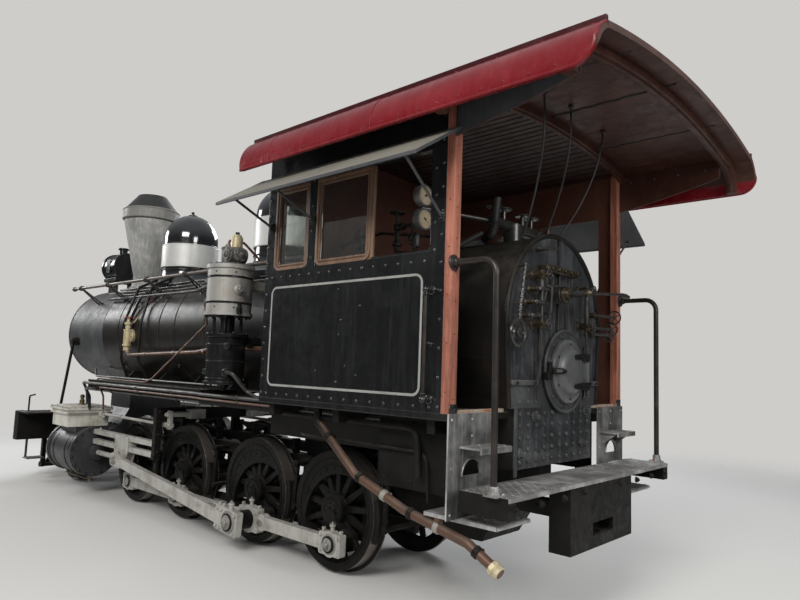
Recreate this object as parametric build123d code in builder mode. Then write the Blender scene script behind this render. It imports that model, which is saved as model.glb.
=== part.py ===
from build123d import *
import os
from math import cos, pi, radians, sin, sqrt

# A narrow-gauge steam locomotive with one leading axle and four coupled driving axles.
# Lengths are in millimetres. X runs ahead along the engine, Y to its left, Z up.
# The origin is under the middle of the length, level with the lowest points of the flanges.

# Reach of the engine, both measured from the rear driving axle
front_reach = 6560.0
rear_reach = 2670.0

# Track and wheels
tread_radius = 470.0
flange_depth = 26.0
flange_width = 32.0
half_back_to_back = 422.5
tyre_width = 132.0
tyre_thickness = 60.0
rim_thickness = 32.0
spoke_count = 13
hub_radius = 125.0
hub_proud = 18.0
axle_radius = 80.0

# Driving axles, ahead of the rear one
axle_steps = {"axle_4": 0.0, "axle_3": 1090.0, "axle_2": 2380.0, "axle_1": 3450.0}
main_axle = "axle_3"

# Cranks and rods
crank_radius = 254.0
left_crank_angle = 242.0
crank_lead = 90.0
coupling_pin_radius = 50.0
crank_boss_radius = 92.0
pin_cap = 18.0
weight_reach = 170.0
main_weight_reach = 215.0
main_pin_radius = 62.0
main_rod_length = 2313.0
side_rod_inner_y = 622.0
side_rod_thickness = 66.0
side_rod_depth = 104.0
main_rod_thickness = 62.0
main_rod_depth = 112.0

# Cylinders and guides
cylinder_y = 780.0
cylinder_height = 500.0
cylinder_radius = 280.0
cylinder_rear = 4050.0
cylinder_length = 750.0
piston_rod_radius = 29.0
guide_width = 70.0
guide_thickness = 55.0
guide_gap = 60.0
lower_guide_height = 600.0
guide_rear = 2590.0
cheek_thickness = 14.0
crosshead_length = 330.0

# Leading truck
pony_step = 5250.0
pony_tread_radius = 330.0
pony_axle_radius = 55.0
pony_pivot_step = 4020.0

pony_pin_radius = 30.0
pivot_low = 430.0
pivot_high = 500.0
bolster_low = 430.0
bolster_top = 500.0

# Boiler, its centre line above the rail
boiler_height = 1970.0
boiler_radius = 650.0
smokebox_radius = 620.0
smokebox_shell = 25.0
backhead_step = -1690.0
throat_step = 900.0
smokebox_step = 4430.0
smokebox_front = 5600.0
firebox_half_width = 545.0
firebox_bottom = 1000.0
firebox_wall = 90.0

# Frame
frame_y = 330.0
frame_thickness = 90.0
frame_top = 820.0
frame_rail_depth = 100.0
frame_bottom = 225.0
frame_rear = -1900.0
saddle_rear = 4150.0
saddle_front = 4700.0
front_rail_y = 240.0
front_rail_width = 80.0

# Front beam and pilot
beam_rear = 5660.0
beam_thickness = 140.0
beam_half_width = 1150.0
beam_bottom = 500.0
beam_top = 860.0
pilot_half_width = 760.0
pilot_top_half = 420.0
pilot_slats = 6

# Cab
cab_half_width = 1180.0
cab_wall = 45.0
cab_front_step = 220.0
cab_rear_step = -1650.0
gusset_reach = 820.0
post_width = 60.0
floor_top = 1370.0
floor_plate = 40.0
sill_height = 2350.0
window_head = 3000.0
deck_top = 950.0
deck_plate = 20.0
deck_rear = -2050.0
deck_half_width = 1150.0

# Roof
roof_front = 300.0
roof_half_width = 1430.0
roof_eave = 3130.0
roof_shoulder_y = 1300.0
roof_roll = 255.0
roof_camber = 135.0
roof_thickness = 38.0
roof_corner = 150.0
rib_depth = 52.0
rib_width = 74.0
awning_edge_y = 1600.0
awning_drop = 290.0
awning_thickness = 22.0

# Valve gear outside the frames
steam_chest_bottom = 790.0
steam_chest_inner_y = 590.0
steam_chest_outer_y = 1070.0
valve_rod_y = 690.0
valve_rod_height = 940.0
valve_rod_radius = 17.0
rocker_step = 2470.0
rocker_rise = 115.0
yoke_thickness = 60.0
yoke_foot_step = 2820.0
yoke_bottom = 1000.0
yoke_top = 1120.0

# Fittings on the boiler
boiler_bands = (960.0, 2030.0, 2640.0, 2990.0, 4020.0)
band_proud = 5.0
stack_step = 4670.0
stack_bore = 135.0
stack_rise = 1318.0
sand_dome_step = 3530.0
sand_dome_radius = 330.0
steam_dome_step = 1500.0
steam_dome_radius = 350.0
headlight_step = 5480.0
headlight_rise = 990.0
headlight_radius = 200.0
handrail_y = 750.0
handrail_rise = 570.0
handrail_radius = 19.0
handrail_rear = 220.0
handrail_front = 5150.0
handrail_posts = (4950.0, 4130.0, 3120.0, 2250.0, 1380.0)
pump_step = 1080.0
pump_y = 950.0
check_step = 3600.0
check_y = 700.0
gauge_y = 765.0
gauge_radius = 76.0

# Running boards, below the boiler's centre line
board_drop = 658.0
board_step_up = 40.0
board_change_step = 1380.0
board_inner_y = 620.0
board_outer_y = 1010.0

# Doors
door_opening_radius = 400.0
door_radius = 440.0
door_hinge_y = 480.0
door_hinge_out = 34.0
fire_hole_y = -100.0
fire_hole_height = 1650.0
fire_hole_radius = 200.0
fire_ring_radius = 280.0
fire_hinge_y = 300.0

# Springs and brakes
spring_half_length = 330.0
spring_leaves = 6
leaf_thickness = 12.0
shoe_thickness = 42.0
hanger_step = 560.0

# Small fittings in and under the cab
side_window_front = (-285.0, 124.0)
side_window_rear = (-1470.0, -370.0)
front_window_y = (770.0, 1070.0)
front_window_low = 2330.0
front_window_high = 2960.0
sash_width = 42.0
sash_thickness = 26.0
glass_thickness = 5.0
step_plate_top = 1376.0
step_plate_bottom = 770.0
coupler_height = 680.0
coupler_pin_radius = 19.0
drawbar_height = 640.0
drawbar_pin_radius = 32.0

# Clearances
seat = 0.3
pin_fit = 0.08
run_clear = 5.0

# Derived places
rear_axle_x = (rear_reach - front_reach) / 2
wheel_face_y = half_back_to_back + tyre_width
side_rod_outer_y = side_rod_inner_y + side_rod_thickness
crosshead_outer_y = cylinder_y + guide_width / 2 + seat + cheek_thickness
crosshead_inner_y = cylinder_y - guide_width / 2 - seat - cheek_thickness
main_rod_inner_y = crosshead_outer_y + run_clear
main_rod_outer_y = main_rod_inner_y + main_rod_thickness
upper_guide_height = lower_guide_height + guide_thickness + guide_gap


def ahead(step):
    """X of a point that lies this far ahead of the rear driving axle."""
    return rear_axle_x + step


def above(height):
    """Z of a point that lies this far above the rail."""
    return flange_depth + height


axle_z = above(tread_radius)
boiler_z = above(boiler_height)
roof_shoulder = roof_eave + roof_roll
roof_crown = roof_shoulder + roof_camber
awning_edge = roof_eave - awning_drop
handrail_height = boiler_height + handrail_rise
headlight_height = boiler_height + headlight_rise
cylinder_z = above(cylinder_height)
pony_axle_z = above(pony_tread_radius)


def block(x0, x1, y0, y1, z0, z1, mode=Mode.ADD):
    with Locations(((x0 + x1) / 2, (y0 + y1) / 2, (z0 + z1) / 2)):
        Box(abs(x1 - x0), abs(y1 - y0), abs(z1 - z0), mode=mode)


def round_x(x0, x1, y, z, radius, mode=Mode.ADD):
    with Locations(Location(((x0 + x1) / 2, y, z), (0, 90, 0))):
        Cylinder(radius, abs(x1 - x0), mode=mode)


def round_y(x, z, y0, y1, radius, mode=Mode.ADD):
    with Locations(Location((x, (y0 + y1) / 2, z), (90, 0, 0))):
        Cylinder(radius, abs(y1 - y0), mode=mode)


def round_z(x, y, z0, z1, radius, mode=Mode.ADD):
    with Locations((x, y, (z0 + z1) / 2)):
        Cylinder(radius, abs(z1 - z0), mode=mode)


def round_bar(start, end, radius):
    """A straight round bar from one point to another."""
    way = Vector(*end) - Vector(*start)
    with BuildSketch(Plane(origin=start, z_dir=way)) as profile:
        Circle(radius)
    extrude(profile.sketch, amount=way.length)


def flat_bar(start, end, width, depth):
    """A straight flat bar from one point to another."""
    way = Vector(*end) - Vector(*start)
    with BuildSketch(Plane(origin=start, z_dir=way)) as profile:
        Rectangle(width, depth)
    extrude(profile.sketch, amount=way.length)


def pipe(points, radius, bend):
    """A bent round pipe through the points, with the same bend at each corner."""
    with BuildLine() as route:
        FilletPolyline(*points, radius=bend)
    with BuildSketch(Plane(origin=route.line @ 0, z_dir=route.line % 0)) as profile:
        Circle(radius)
    sweep(profile.sketch, path=route.line)


def upright(x, y, corners, mode=Mode.ADD):
    """A turned solid about a vertical axis, from (radius, z) points."""
    with BuildSketch(Plane(origin=(x, y, 0), x_dir=(1, 0, 0), z_dir=(0, -1, 0))) as profile:
        with BuildLine():
            Polyline(*corners, close=True)
        make_face()
    revolve(profile.sketch, axis=Axis((x, y, 0), (0, 0, 1)), mode=mode)


def crank_pin(axle, side):
    """X and Z of the crank pin at rest, on the left (1) or the right (-1)."""
    angle = radians(left_crank_angle if side > 0 else left_crank_angle - crank_lead)
    x = ahead(axle_steps[axle]) + crank_radius * cos(angle)
    return x, axle_z + crank_radius * sin(angle)


def wrist_x(side):
    """X of the crosshead's wrist pin at rest."""
    pin_x, pin_z = crank_pin(main_axle, side)
    return pin_x + sqrt(main_rod_length**2 - (cylinder_z - pin_z) ** 2)


# Wheelsets: two spoked wheels pressed on one axle, with crank pins and balance weights
def tyre(x, z, side, radius, hub_r, spokes, thickness, rim):
    back = half_back_to_back
    with BuildSketch(Plane((x, 0, z))) as profile:
        with BuildLine():
            Polyline(
                (radius - thickness - rim, side * (back + 12)),
                (radius - thickness, side * back),
                (radius + flange_depth - 6, side * back),
                (radius + flange_depth, side * (back + 8)),
                (radius + flange_depth, side * (back + flange_width - 12)),
                (radius, side * (back + flange_width)),
                (radius - 3, side * wheel_face_y),
                (radius - thickness, side * wheel_face_y),
                (radius - thickness - rim, side * (wheel_face_y - 12)),
                close=True,
            )
        make_face()
    revolve(profile.sketch, axis=Axis((x, 0, z), (0, 1, 0)))
    round_y(x, z, side * back, side * (wheel_face_y + hub_proud), hub_r)
    web = tyre_width * 0.32
    inner = radius - thickness - rim / 2
    with BuildSketch(Plane.XZ.offset(-side * (half_back_to_back + tyre_width / 2 - web / 2))) as profile:
        with Locations((x, z)):
            with PolarLocations(0, spokes, start_angle=90):
                Polygon((0, -30), (inner, -19), (inner, 19), (0, 30), align=None)
    extrude(profile.sketch, amount=-side * web)


def balance_weight(x, z, side, angle, reach):
    inner = tread_radius - tyre_thickness - rim_thickness / 2
    back_x = cos(radians(angle))
    back_z = sin(radians(angle))
    with BuildSketch(Plane.XZ.offset(-side * (half_back_to_back + 30))) as profile:
        with Locations((x, z)):
            Circle(inner)
        with Locations((x + reach * back_x, z + reach * back_z)):
            Circle(inner + 45, mode=Mode.SUBTRACT)
    extrude(profile.sketch, amount=-side * (tyre_width - 42))


def wheelset(main):
    """One driving wheelset about its own centre, in the part that is being built."""
    round_y(0, 0, -half_back_to_back, half_back_to_back, axle_radius)
    for side in (1, -1):
        tyre(0, 0, side, tread_radius, hub_radius, spoke_count, tyre_thickness, rim_thickness)
        angle = left_crank_angle if side > 0 else left_crank_angle - crank_lead
        balance_weight(0, 0, side, angle, main_weight_reach if main else weight_reach)
        pin_x = crank_radius * cos(radians(angle))
        pin_z = crank_radius * sin(radians(angle))
        hub_face = wheel_face_y + hub_proud
        round_y(pin_x, pin_z, side * (half_back_to_back + 30), side * hub_face, crank_boss_radius)
        web_y = side * (wheel_face_y - 40)
        flat_bar((0, web_y, 0), (pin_x, web_y, pin_z), 80, crank_boss_radius * 1.7)
        radius = main_pin_radius if main else coupling_pin_radius
        end = main_rod_outer_y if main else side_rod_outer_y
        round_y(pin_x, pin_z, side * hub_face, side * (end + seat), radius)
        round_y(pin_x, pin_z, side * hub_face, side * (side_rod_inner_y - seat), radius + 16)
        round_y(pin_x, pin_z, side * (end + seat), side * (end + pin_cap), radius + 14)
        if main:
            inner = side_rod_outer_y + seat
            outer = main_rod_inner_y - seat
            round_y(pin_x, pin_z, side * inner, side * outer, radius + 20)


parts = {}
with BuildPart() as coupled_wheelset:
    wheelset(False)
with BuildPart() as main_wheelset:
    wheelset(True)
for axle_name, step in axle_steps.items():
    with BuildPart() as driving_wheelset:
        with Locations((ahead(step), 0, axle_z)):
            add(main_wheelset.part if axle_name == main_axle else coupled_wheelset.part)
    parts[axle_name] = driving_wheelset


# Side rods: one coupling rod a side, level at every crank angle
def side_rod(side):
    bosses = (("axle_4", 98, 0), ("axle_3", 118, 190), ("axle_2", 104, 0), ("axle_1", 98, 0))
    centres = [crank_pin(name, side) for name, boss, joint in bosses]
    z = centres[0][1]
    outer = side_rod_inner_y if side < 0 else -side_rod_outer_y
    with BuildSketch(Plane.XZ.offset(outer)) as profile:
        with Locations(((centres[0][0] + centres[-1][0]) / 2, z)):
            Rectangle(abs(centres[-1][0] - centres[0][0]), side_rod_depth)
        for (x, pin_z), (name, boss, joint) in zip(centres, bosses):
            with Locations((x, z)):
                Circle(boss)
                RectangleRounded(boss * 2.5, boss * 1.75, 16)
            for end in (-joint, joint) if joint else ():
                with Locations((x + end, z)):
                    Circle(72)
    extrude(profile.sketch, amount=side_rod_thickness)
    for (x, pin_z), (name, boss, joint) in zip(centres, bosses):
        radius = main_pin_radius if name == main_axle else coupling_pin_radius
        round_y(x, z, side * (side_rod_inner_y - 1), side * (side_rod_outer_y + 1), radius + pin_fit,
                mode=Mode.SUBTRACT)
        middle = side * (side_rod_inner_y + side_rod_thickness / 2)
        round_z(x, middle, z + boss * 0.86, z + boss + 34, 17)
        round_z(x, middle, z + boss + 34, z + boss + 48, 25)


for side, hand in ((1, "left"), (-1, "right")):
    with BuildPart() as rod:
        side_rod(side)
    parts["side_rod_" + hand] = rod


# Main rods: the big end turns on the main crank pin, the small end stands beside the crosshead
def main_rod(side):
    pin_x, pin_z = crank_pin(main_axle, side)
    way = Vector(wrist_x(side) - pin_x, 0, cylinder_z - pin_z)
    outer = main_rod_outer_y if side > 0 else -main_rod_inner_y
    with BuildSketch(Plane(origin=(pin_x, outer, pin_z), x_dir=way, z_dir=(0, -1, 0))) as profile:
        Polygon(
            (0, -main_rod_depth / 2 - 8),
            (main_rod_length, -main_rod_depth / 2 + 12),
            (main_rod_length, main_rod_depth / 2 - 12),
            (0, main_rod_depth / 2 + 8),
            align=None,
        )
        with Locations((40, 0)):
            RectangleRounded(340, 216, 22)
        with Locations((main_rod_length - 20, 0)):
            RectangleRounded(230, 140, 30)
    extrude(profile.sketch, amount=main_rod_thickness)
    round_y(pin_x, pin_z, side * (main_rod_inner_y - 1), side * (main_rod_outer_y + 1),
            main_pin_radius + pin_fit, mode=Mode.SUBTRACT)
    middle = side * (main_rod_inner_y + main_rod_thickness / 2)
    round_z(pin_x, middle, pin_z + 100, pin_z + 142, 19)
    round_z(pin_x, middle, pin_z + 142, pin_z + 158, 28)
    round_y(wrist_x(side), cylinder_z, side * (main_rod_outer_y - 1), side * (main_rod_outer_y + 14), 44)
    round_z(wrist_x(side), middle, cylinder_z + 62, cylinder_z + 96, 15)


for side, hand in ((1, "left"), (-1, "right")):
    with BuildPart() as rod:
        main_rod(side)
    parts["main_rod_" + hand] = rod


# Crossheads: a block between the two guide bars, cheeks that hang to the piston rod and wrist pin
def crosshead(side):
    x = wrist_x(side)
    half = crosshead_length / 2
    slide_bottom = above(lower_guide_height + guide_thickness) + seat
    slide_top = above(upper_guide_height) - seat
    block(x - half, x + half, side * (crosshead_inner_y + 1), side * (crosshead_outer_y - 1),
          slide_bottom, slide_top)
    top = above(upper_guide_height + guide_thickness) - 12
    for y in (crosshead_inner_y, crosshead_outer_y - cheek_thickness):
        with BuildSketch(Plane.XZ.offset(-max(side * y, side * (y + cheek_thickness)))) as profile:
            Polygon(
                (x - half, top),
                (x + half, top),
                (x + half, slide_bottom - 90),
                (x + half * 0.72, cylinder_z - 74),
                (x - half * 0.5, cylinder_z - 74),
                (x - half, slide_bottom - 60),
                align=None,
            )
        extrude(profile.sketch, amount=cheek_thickness)
    block(x - half * 0.5, x + half * 0.7, side * (crosshead_inner_y + 1), side * (crosshead_outer_y - 1),
          cylinder_z - 72, above(lower_guide_height) - seat)
    round_x(x + half * 0.6, x + half * 1.35, side * cylinder_y, cylinder_z, 52)
    round_x(x + half, ahead(cylinder_rear) + 190, side * cylinder_y, cylinder_z, piston_rod_radius)
    round_y(x, cylinder_z, side * (crosshead_inner_y - 10), side * crosshead_outer_y, 42)


for side, hand in ((1, "left"), (-1, "right")):
    with BuildPart() as head:
        crosshead(side)
    parts["crosshead_" + hand] = head


# Cylinders: each is one casting with half of the saddle that carries the smokebox
def cylinder(side):
    rear = ahead(cylinder_rear)
    front = rear + cylinder_length
    y = side * cylinder_y
    round_x(rear, front, y, cylinder_z, cylinder_radius)
    for x in (rear, front - 46):
        round_x(x, x + 46, y, cylinder_z, cylinder_radius + 16)
    round_x(front, front + 16, y, cylinder_z, 236)
    round_x(front + 16, front + 30, y, cylinder_z, 150)
    round_x(rear - 70, rear, y, cylinder_z, 74)
    round_x(rear - 92, rear - 70, y, cylinder_z, 88)
    with BuildSketch(Plane.YZ.offset(ahead(saddle_rear))) as profile:
        Polygon(
            (0, above(430)),
            (side * 560, above(430)),
            (side * 600, above(740)),
            (side * 470, above(790)),
            (side * 350, above(1000)),
            (side * 350, boiler_z - 730),
            (side * 440, boiler_z - 470),
            (0, boiler_z - 470),
            align=None,
        )
    extrude(profile.sketch, amount=saddle_front - saddle_rear)
    round_x(ahead(saddle_rear) - 1, ahead(saddle_front) + 1, 0, boiler_z, smokebox_radius + seat,
            mode=Mode.SUBTRACT)
    round_x(ahead(saddle_rear) - 1, ahead(smokebox_step) + seat, 0, boiler_z, boiler_radius + seat,
            mode=Mode.SUBTRACT)
    block(ahead(saddle_rear) + 45, ahead(saddle_front) - 60, side * (cylinder_y - 190),
          side * (cylinder_y + 190), above(720), above(steam_chest_bottom))
    round_x(rear - 100, front - 40, y, cylinder_z, piston_rod_radius + pin_fit, mode=Mode.SUBTRACT)


for side, hand in ((1, "left"), (-1, "right")):
    with BuildPart() as casting:
        cylinder(side)
    parts["cylinder_" + hand] = casting

# Steam chests: a box with a stepped and moulded lid over each cylinder
with BuildPart() as steam_chests:
    lid_layers = ((0, 150, 0), (150, 172, 26), (172, 200, 12), (200, 222, 34), (222, 248, -20))
    x0 = ahead(saddle_rear) + 35
    x1 = ahead(saddle_front) - 30
    for side in (1, -1):
        for low, high, lip in lid_layers:
            block(x0 - lip, x1 + lip, side * (steam_chest_inner_y - lip),
                  side * (steam_chest_outer_y + lip), above(steam_chest_bottom + low),
                  above(steam_chest_bottom + high))
        round_x(x0 - 66, x0, side * valve_rod_y, above(valve_rod_height), 36)
        round_x(x0 - 90, x0 - 66, side * valve_rod_y, above(valve_rod_height), 48)
        round_x(x0 - 91, x0 + 200, side * valve_rod_y, above(valve_rod_height), valve_rod_radius + pin_fit,
                mode=Mode.SUBTRACT)
parts["steam_chests"] = steam_chests

# Guides: two bars a side, from the cylinder's back head to the yoke
with BuildPart() as guide_bars:
    for side in (1, -1):
        for height in (lower_guide_height, upper_guide_height):
            block(ahead(guide_rear), ahead(cylinder_rear), side * (cylinder_y - guide_width / 2),
                  side * (cylinder_y + guide_width / 2), above(height), above(height + guide_thickness))
parts["guide_bars"] = guide_bars

with BuildPart() as guide_yoke:
    yoke_back = ahead(guide_rear) - yoke_thickness
    yoke_front = ahead(guide_rear)
    outer_y = cylinder_y + guide_width / 2
    block(yoke_back, yoke_front, -outer_y, outer_y, above(yoke_bottom), above(yoke_top))
    for side in (1, -1):
        block(yoke_back, yoke_front, side * (outer_y - guide_width), side * outer_y,
              above(lower_guide_height - 20), above(yoke_top))
        y0 = side * (frame_y - frame_thickness / 2)
        y1 = side * (frame_y + frame_thickness / 2)
        block(yoke_back, ahead(yoke_foot_step), y0, y1, above(yoke_bottom), above(yoke_top))
        block(ahead(yoke_foot_step) - yoke_thickness, ahead(yoke_foot_step), y0, y1, above(frame_top),
              above(yoke_bottom))
parts["guide_yoke"] = guide_yoke

# Valve rods: each runs from its chest above the guides to a rocker behind the yoke
with BuildPart() as valve_rods:
    x = ahead(rocker_step)
    z = above(valve_rod_height)
    for side in (1, -1):
        y = side * valve_rod_y
        round_x(x, ahead(saddle_rear) + 180, y, z, valve_rod_radius)
        round_x(x - 40, x + 130, y, z, valve_rod_radius + 12)
        round_y(x, z + rocker_rise, side * (frame_y - 40), side * (valve_rod_y + 30), 30)
        flat_bar((x, y, z - 40), (x, y, z + rocker_rise + 40), 60, 34)
        block(x - 50, ahead(guide_rear) - yoke_thickness, side * (frame_y - 30), side * (frame_y + 150),
              z + rocker_rise - 50, z + rocker_rise + 50)
parts["valve_rods"] = valve_rods

# Smokebox: an open-backed shell with a ringed front, and a hole up into the stack
with BuildPart() as smokebox:
    round_x(ahead(smokebox_step), ahead(smokebox_front), 0, boiler_z, smokebox_radius)
    round_x(ahead(smokebox_step) + 2, ahead(smokebox_front) - smokebox_shell, 0, boiler_z,
            smokebox_radius - smokebox_shell, mode=Mode.SUBTRACT)
    round_x(ahead(smokebox_front) - smokebox_shell - 1, ahead(smokebox_front) + 1, 0, boiler_z,
            door_opening_radius, mode=Mode.SUBTRACT)
    round_z(ahead(stack_step), 0, boiler_z, boiler_z + smokebox_radius + 10, stack_bore, mode=Mode.SUBTRACT)
    for z in (-1, 1):
        block(ahead(smokebox_front), ahead(smokebox_front) + 30, -door_hinge_y - 30, -door_hinge_y + 30,
              boiler_z + z * 210 - 45, boiler_z + z * 210 + 45)
    round_z(ahead(smokebox_front) + door_hinge_out, -door_hinge_y, boiler_z - 255, boiler_z - 170, 20)
    round_z(ahead(smokebox_front) + door_hinge_out, -door_hinge_y, boiler_z + 170, boiler_z + 255, 20)
parts["smokebox"] = smokebox

with BuildPart() as smokebox_door:
    x0 = ahead(smokebox_front) + run_clear / 2
    round_x(x0, x0 + 22, 0, boiler_z, door_radius)
    round_x(x0 + 22, x0 + 40, 0, boiler_z, door_radius - 60)
    round_x(x0 + 40, x0 + 52, 0, boiler_z, door_radius - 150)
    round_x(x0 + 52, x0 + 80, 0, boiler_z, 40)
    for z in (-1, 1):
        block(x0 + 22, x0 + 40, -door_hinge_y + 30, 150, boiler_z + z * 150 - 26, boiler_z + z * 150 + 26)
    block(x0 + 4, x0 + 30, -door_hinge_y + 10, -door_radius * 0.8, boiler_z - 165, boiler_z + 165)
    round_z(ahead(smokebox_front) + door_hinge_out, -door_hinge_y, boiler_z - 165 + seat,
            boiler_z + 165 - seat, 20)
parts["smokebox_door"] = smokebox_door

# Boiler barrel: lagged, with a band over each joint of its jacket
with BuildPart() as boiler_barrel:
    round_x(ahead(throat_step), ahead(smokebox_step), 0, boiler_z, boiler_radius)
    for step in boiler_bands:
        round_x(ahead(step) - 28, ahead(step) + 28, 0, boiler_z, boiler_radius + band_proud)
parts["boiler_barrel"] = boiler_barrel


def firebox_outline(extra):
    """Section of the firebox wrapper, grown all round by the extra."""
    half = firebox_half_width + extra
    radius = boiler_radius + extra
    low = above(firebox_bottom) - extra
    with BuildLine() as outline:
        Polyline((radius, boiler_z), (radius, boiler_z - 260), (half, boiler_z - 520), (half, low),
                 (-half, low), (-half, boiler_z - 520), (-radius, boiler_z - 260), (-radius, boiler_z))
        ThreePointArc((-radius, boiler_z), (0, boiler_z + radius), (radius, boiler_z))
    make_face(outline.edges())


# Firebox: hollow, with the fire hole in its back head
with BuildPart() as firebox:
    with BuildSketch(Plane.YZ.offset(ahead(backhead_step))):
        firebox_outline(0)
    extrude(amount=throat_step - backhead_step)
    with BuildSketch(Plane.YZ.offset(ahead(backhead_step + firebox_wall))):
        firebox_outline(-firebox_wall)
    extrude(amount=throat_step - backhead_step - 2 * firebox_wall, mode=Mode.SUBTRACT)
    round_x(ahead(backhead_step) - 24, ahead(backhead_step), fire_hole_y, above(fire_hole_height),
            fire_ring_radius)
    round_x(ahead(backhead_step) - 25, ahead(backhead_step + firebox_wall) + 1, fire_hole_y,
            above(fire_hole_height), fire_hole_radius, mode=Mode.SUBTRACT)
    for z in (-1, 1):
        block(ahead(backhead_step) - 42, ahead(backhead_step), fire_hole_y - fire_hinge_y - 18,
              fire_hole_y - fire_hinge_y + 50, above(fire_hole_height) + z * 150 - 34,
              above(fire_hole_height) + z * 150 + 34)
        round_z(ahead(backhead_step) - 42, fire_hole_y - fire_hinge_y, above(fire_hole_height) + z * 150 - 34,
                above(fire_hole_height) + z * 150 + 34, 18)
parts["firebox"] = firebox

with BuildPart() as fire_door:
    x1 = ahead(backhead_step) - 24 - run_clear / 2
    round_x(x1 - 24, x1, fire_hole_y, above(fire_hole_height), fire_hole_radius + 30)
    round_x(x1 - 36, x1 - 24, fire_hole_y, above(fire_hole_height), fire_hole_radius - 60)
    block(x1 - 24, x1 - 4, fire_hole_y - fire_hinge_y, fire_hole_y, above(fire_hole_height) - 105,
          above(fire_hole_height) + 105)
    round_z(ahead(backhead_step) - 42, fire_hole_y - fire_hinge_y, above(fire_hole_height) - 116 + seat,
            above(fire_hole_height) + 116 - seat, 18)
    round_y(x1 - 60, above(fire_hole_height), fire_hole_y + 90, fire_hole_y + 240, 12)
    round_x(x1 - 60, x1 - 20, fire_hole_y + 110, above(fire_hole_height), 12)
parts["fire_door"] = fire_door

# Smokestack: a straight cone that opens upward, a band, and a cone over it
with BuildPart() as smokestack:
    foot = boiler_z + smokebox_radius
    upright(ahead(stack_step), 0, (
        (0, foot - 90), (225, foot - 90), (225, foot - 20), (196, foot + 40), (172, foot + 150),
        (352, foot + stack_rise - 364), (370, foot + stack_rise - 339), (370, foot + stack_rise - 219),
        (346, foot + stack_rise - 199), (190, foot + stack_rise), (0, foot + stack_rise)))
    round_z(ahead(stack_step), 0, foot - 100, foot + stack_rise + 5, stack_bore, mode=Mode.SUBTRACT)
    round_x(ahead(smokebox_step) - 20, ahead(smokebox_front), 0, boiler_z, smokebox_radius + seat,
            mode=Mode.SUBTRACT)
parts["smokestack"] = smokestack


def dome(x, radius, low, high, top):
    """A turned dome with a flared base, a plain band and a rounded top, its heights above the barrel."""
    foot = boiler_z + boiler_radius
    band_low = foot + low
    band_high = foot + high
    crown = foot + top
    shoulder = crown - radius
    with BuildSketch(Plane(origin=(x, 0, 0), x_dir=(1, 0, 0), z_dir=(0, -1, 0))) as profile:
        with BuildLine():
            Polyline((0, foot - 190), (radius + 90, foot - 190), (radius + 90, foot - 60))
            ThreePointArc((radius + 90, foot - 60), (radius + 22, foot + 20), (radius, foot + 120))
            Polyline((radius, foot + 120), (radius, band_low), (radius + 14, band_low + 10),
                     (radius + 14, band_high - 10), (radius, band_high), (radius, shoulder))
            ThreePointArc((radius, shoulder), (radius * cos(pi / 4), shoulder + radius * sin(pi / 4)), (0, crown))
            Line((0, crown), (0, foot - 190))
        make_face()
    revolve(profile.sketch, axis=Axis((x, 0, 0), (0, 0, 1)))
    round_x(x - 600, x + 600, 0, boiler_z, boiler_radius + seat, mode=Mode.SUBTRACT)


with BuildPart() as sand_dome:
    dome(ahead(sand_dome_step), sand_dome_radius, 163, 444, 861)
parts["sand_dome"] = sand_dome

with BuildPart() as steam_dome:
    dome(ahead(steam_dome_step), steam_dome_radius, 214, 514, 904)
parts["steam_dome"] = steam_dome

# Headlight: a drum with a chimney on a shelf bracket
with BuildPart() as headlight:
    z = above(headlight_height)
    x = ahead(headlight_step)
    round_x(x - 190, x + 170, 0, z, headlight_radius)
    round_x(x + 170, x + 200, 0, z, headlight_radius + 14)
    round_x(x + 120, x + 201, 0, z, headlight_radius - 22, mode=Mode.SUBTRACT)
    round_z(x, 0, z + headlight_radius - 12, z + headlight_radius + 70, 58)
    round_z(x, 0, z + headlight_radius + 70, z + headlight_radius + 92, 76)
    block(x - 200, x + 190, -170, 170, z - headlight_radius - 20, z - headlight_radius + 26)
    for side in (1, -1):
        block(x - 190, x - 90, side * 120, side * 150, boiler_z + smokebox_radius - 60,
              z - headlight_radius - 20)
        block(x - 90, min(x + 60, ahead(smokebox_front) - 4), side * 120, side * 150,
              boiler_z + smokebox_radius - 60, z - headlight_radius - 20)
    round_x(x - 400, x + 400, 0, boiler_z, smokebox_radius + seat, mode=Mode.SUBTRACT)
parts["headlight"] = headlight

# Handrails: a long pipe each side on splayed struts
with BuildPart() as handrails:
    for side in (1, -1):
        round_x(ahead(handrail_rear), ahead(handrail_front), side * handrail_y, above(handrail_height),
                handrail_radius)
        for step in handrail_posts:
            z = above(handrail_height)
            for lean in (-60, 60):
                round_bar((ahead(step) + lean, side * 470, z - 200),
                          (ahead(step) + lean / 10, side * (handrail_y - 2), z - 4), 11)
            round_x(ahead(step) - 24, ahead(step) + 24, side * handrail_y, z, handrail_radius + 9)
    round_x(ahead(throat_step) - 900, ahead(smokebox_step) + seat, 0, boiler_z, boiler_radius + seat,
            mode=Mode.SUBTRACT)
    round_x(ahead(smokebox_step), ahead(smokebox_front), 0, boiler_z, smokebox_radius + seat,
            mode=Mode.SUBTRACT)
parts["handrails"] = handrails

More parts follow.
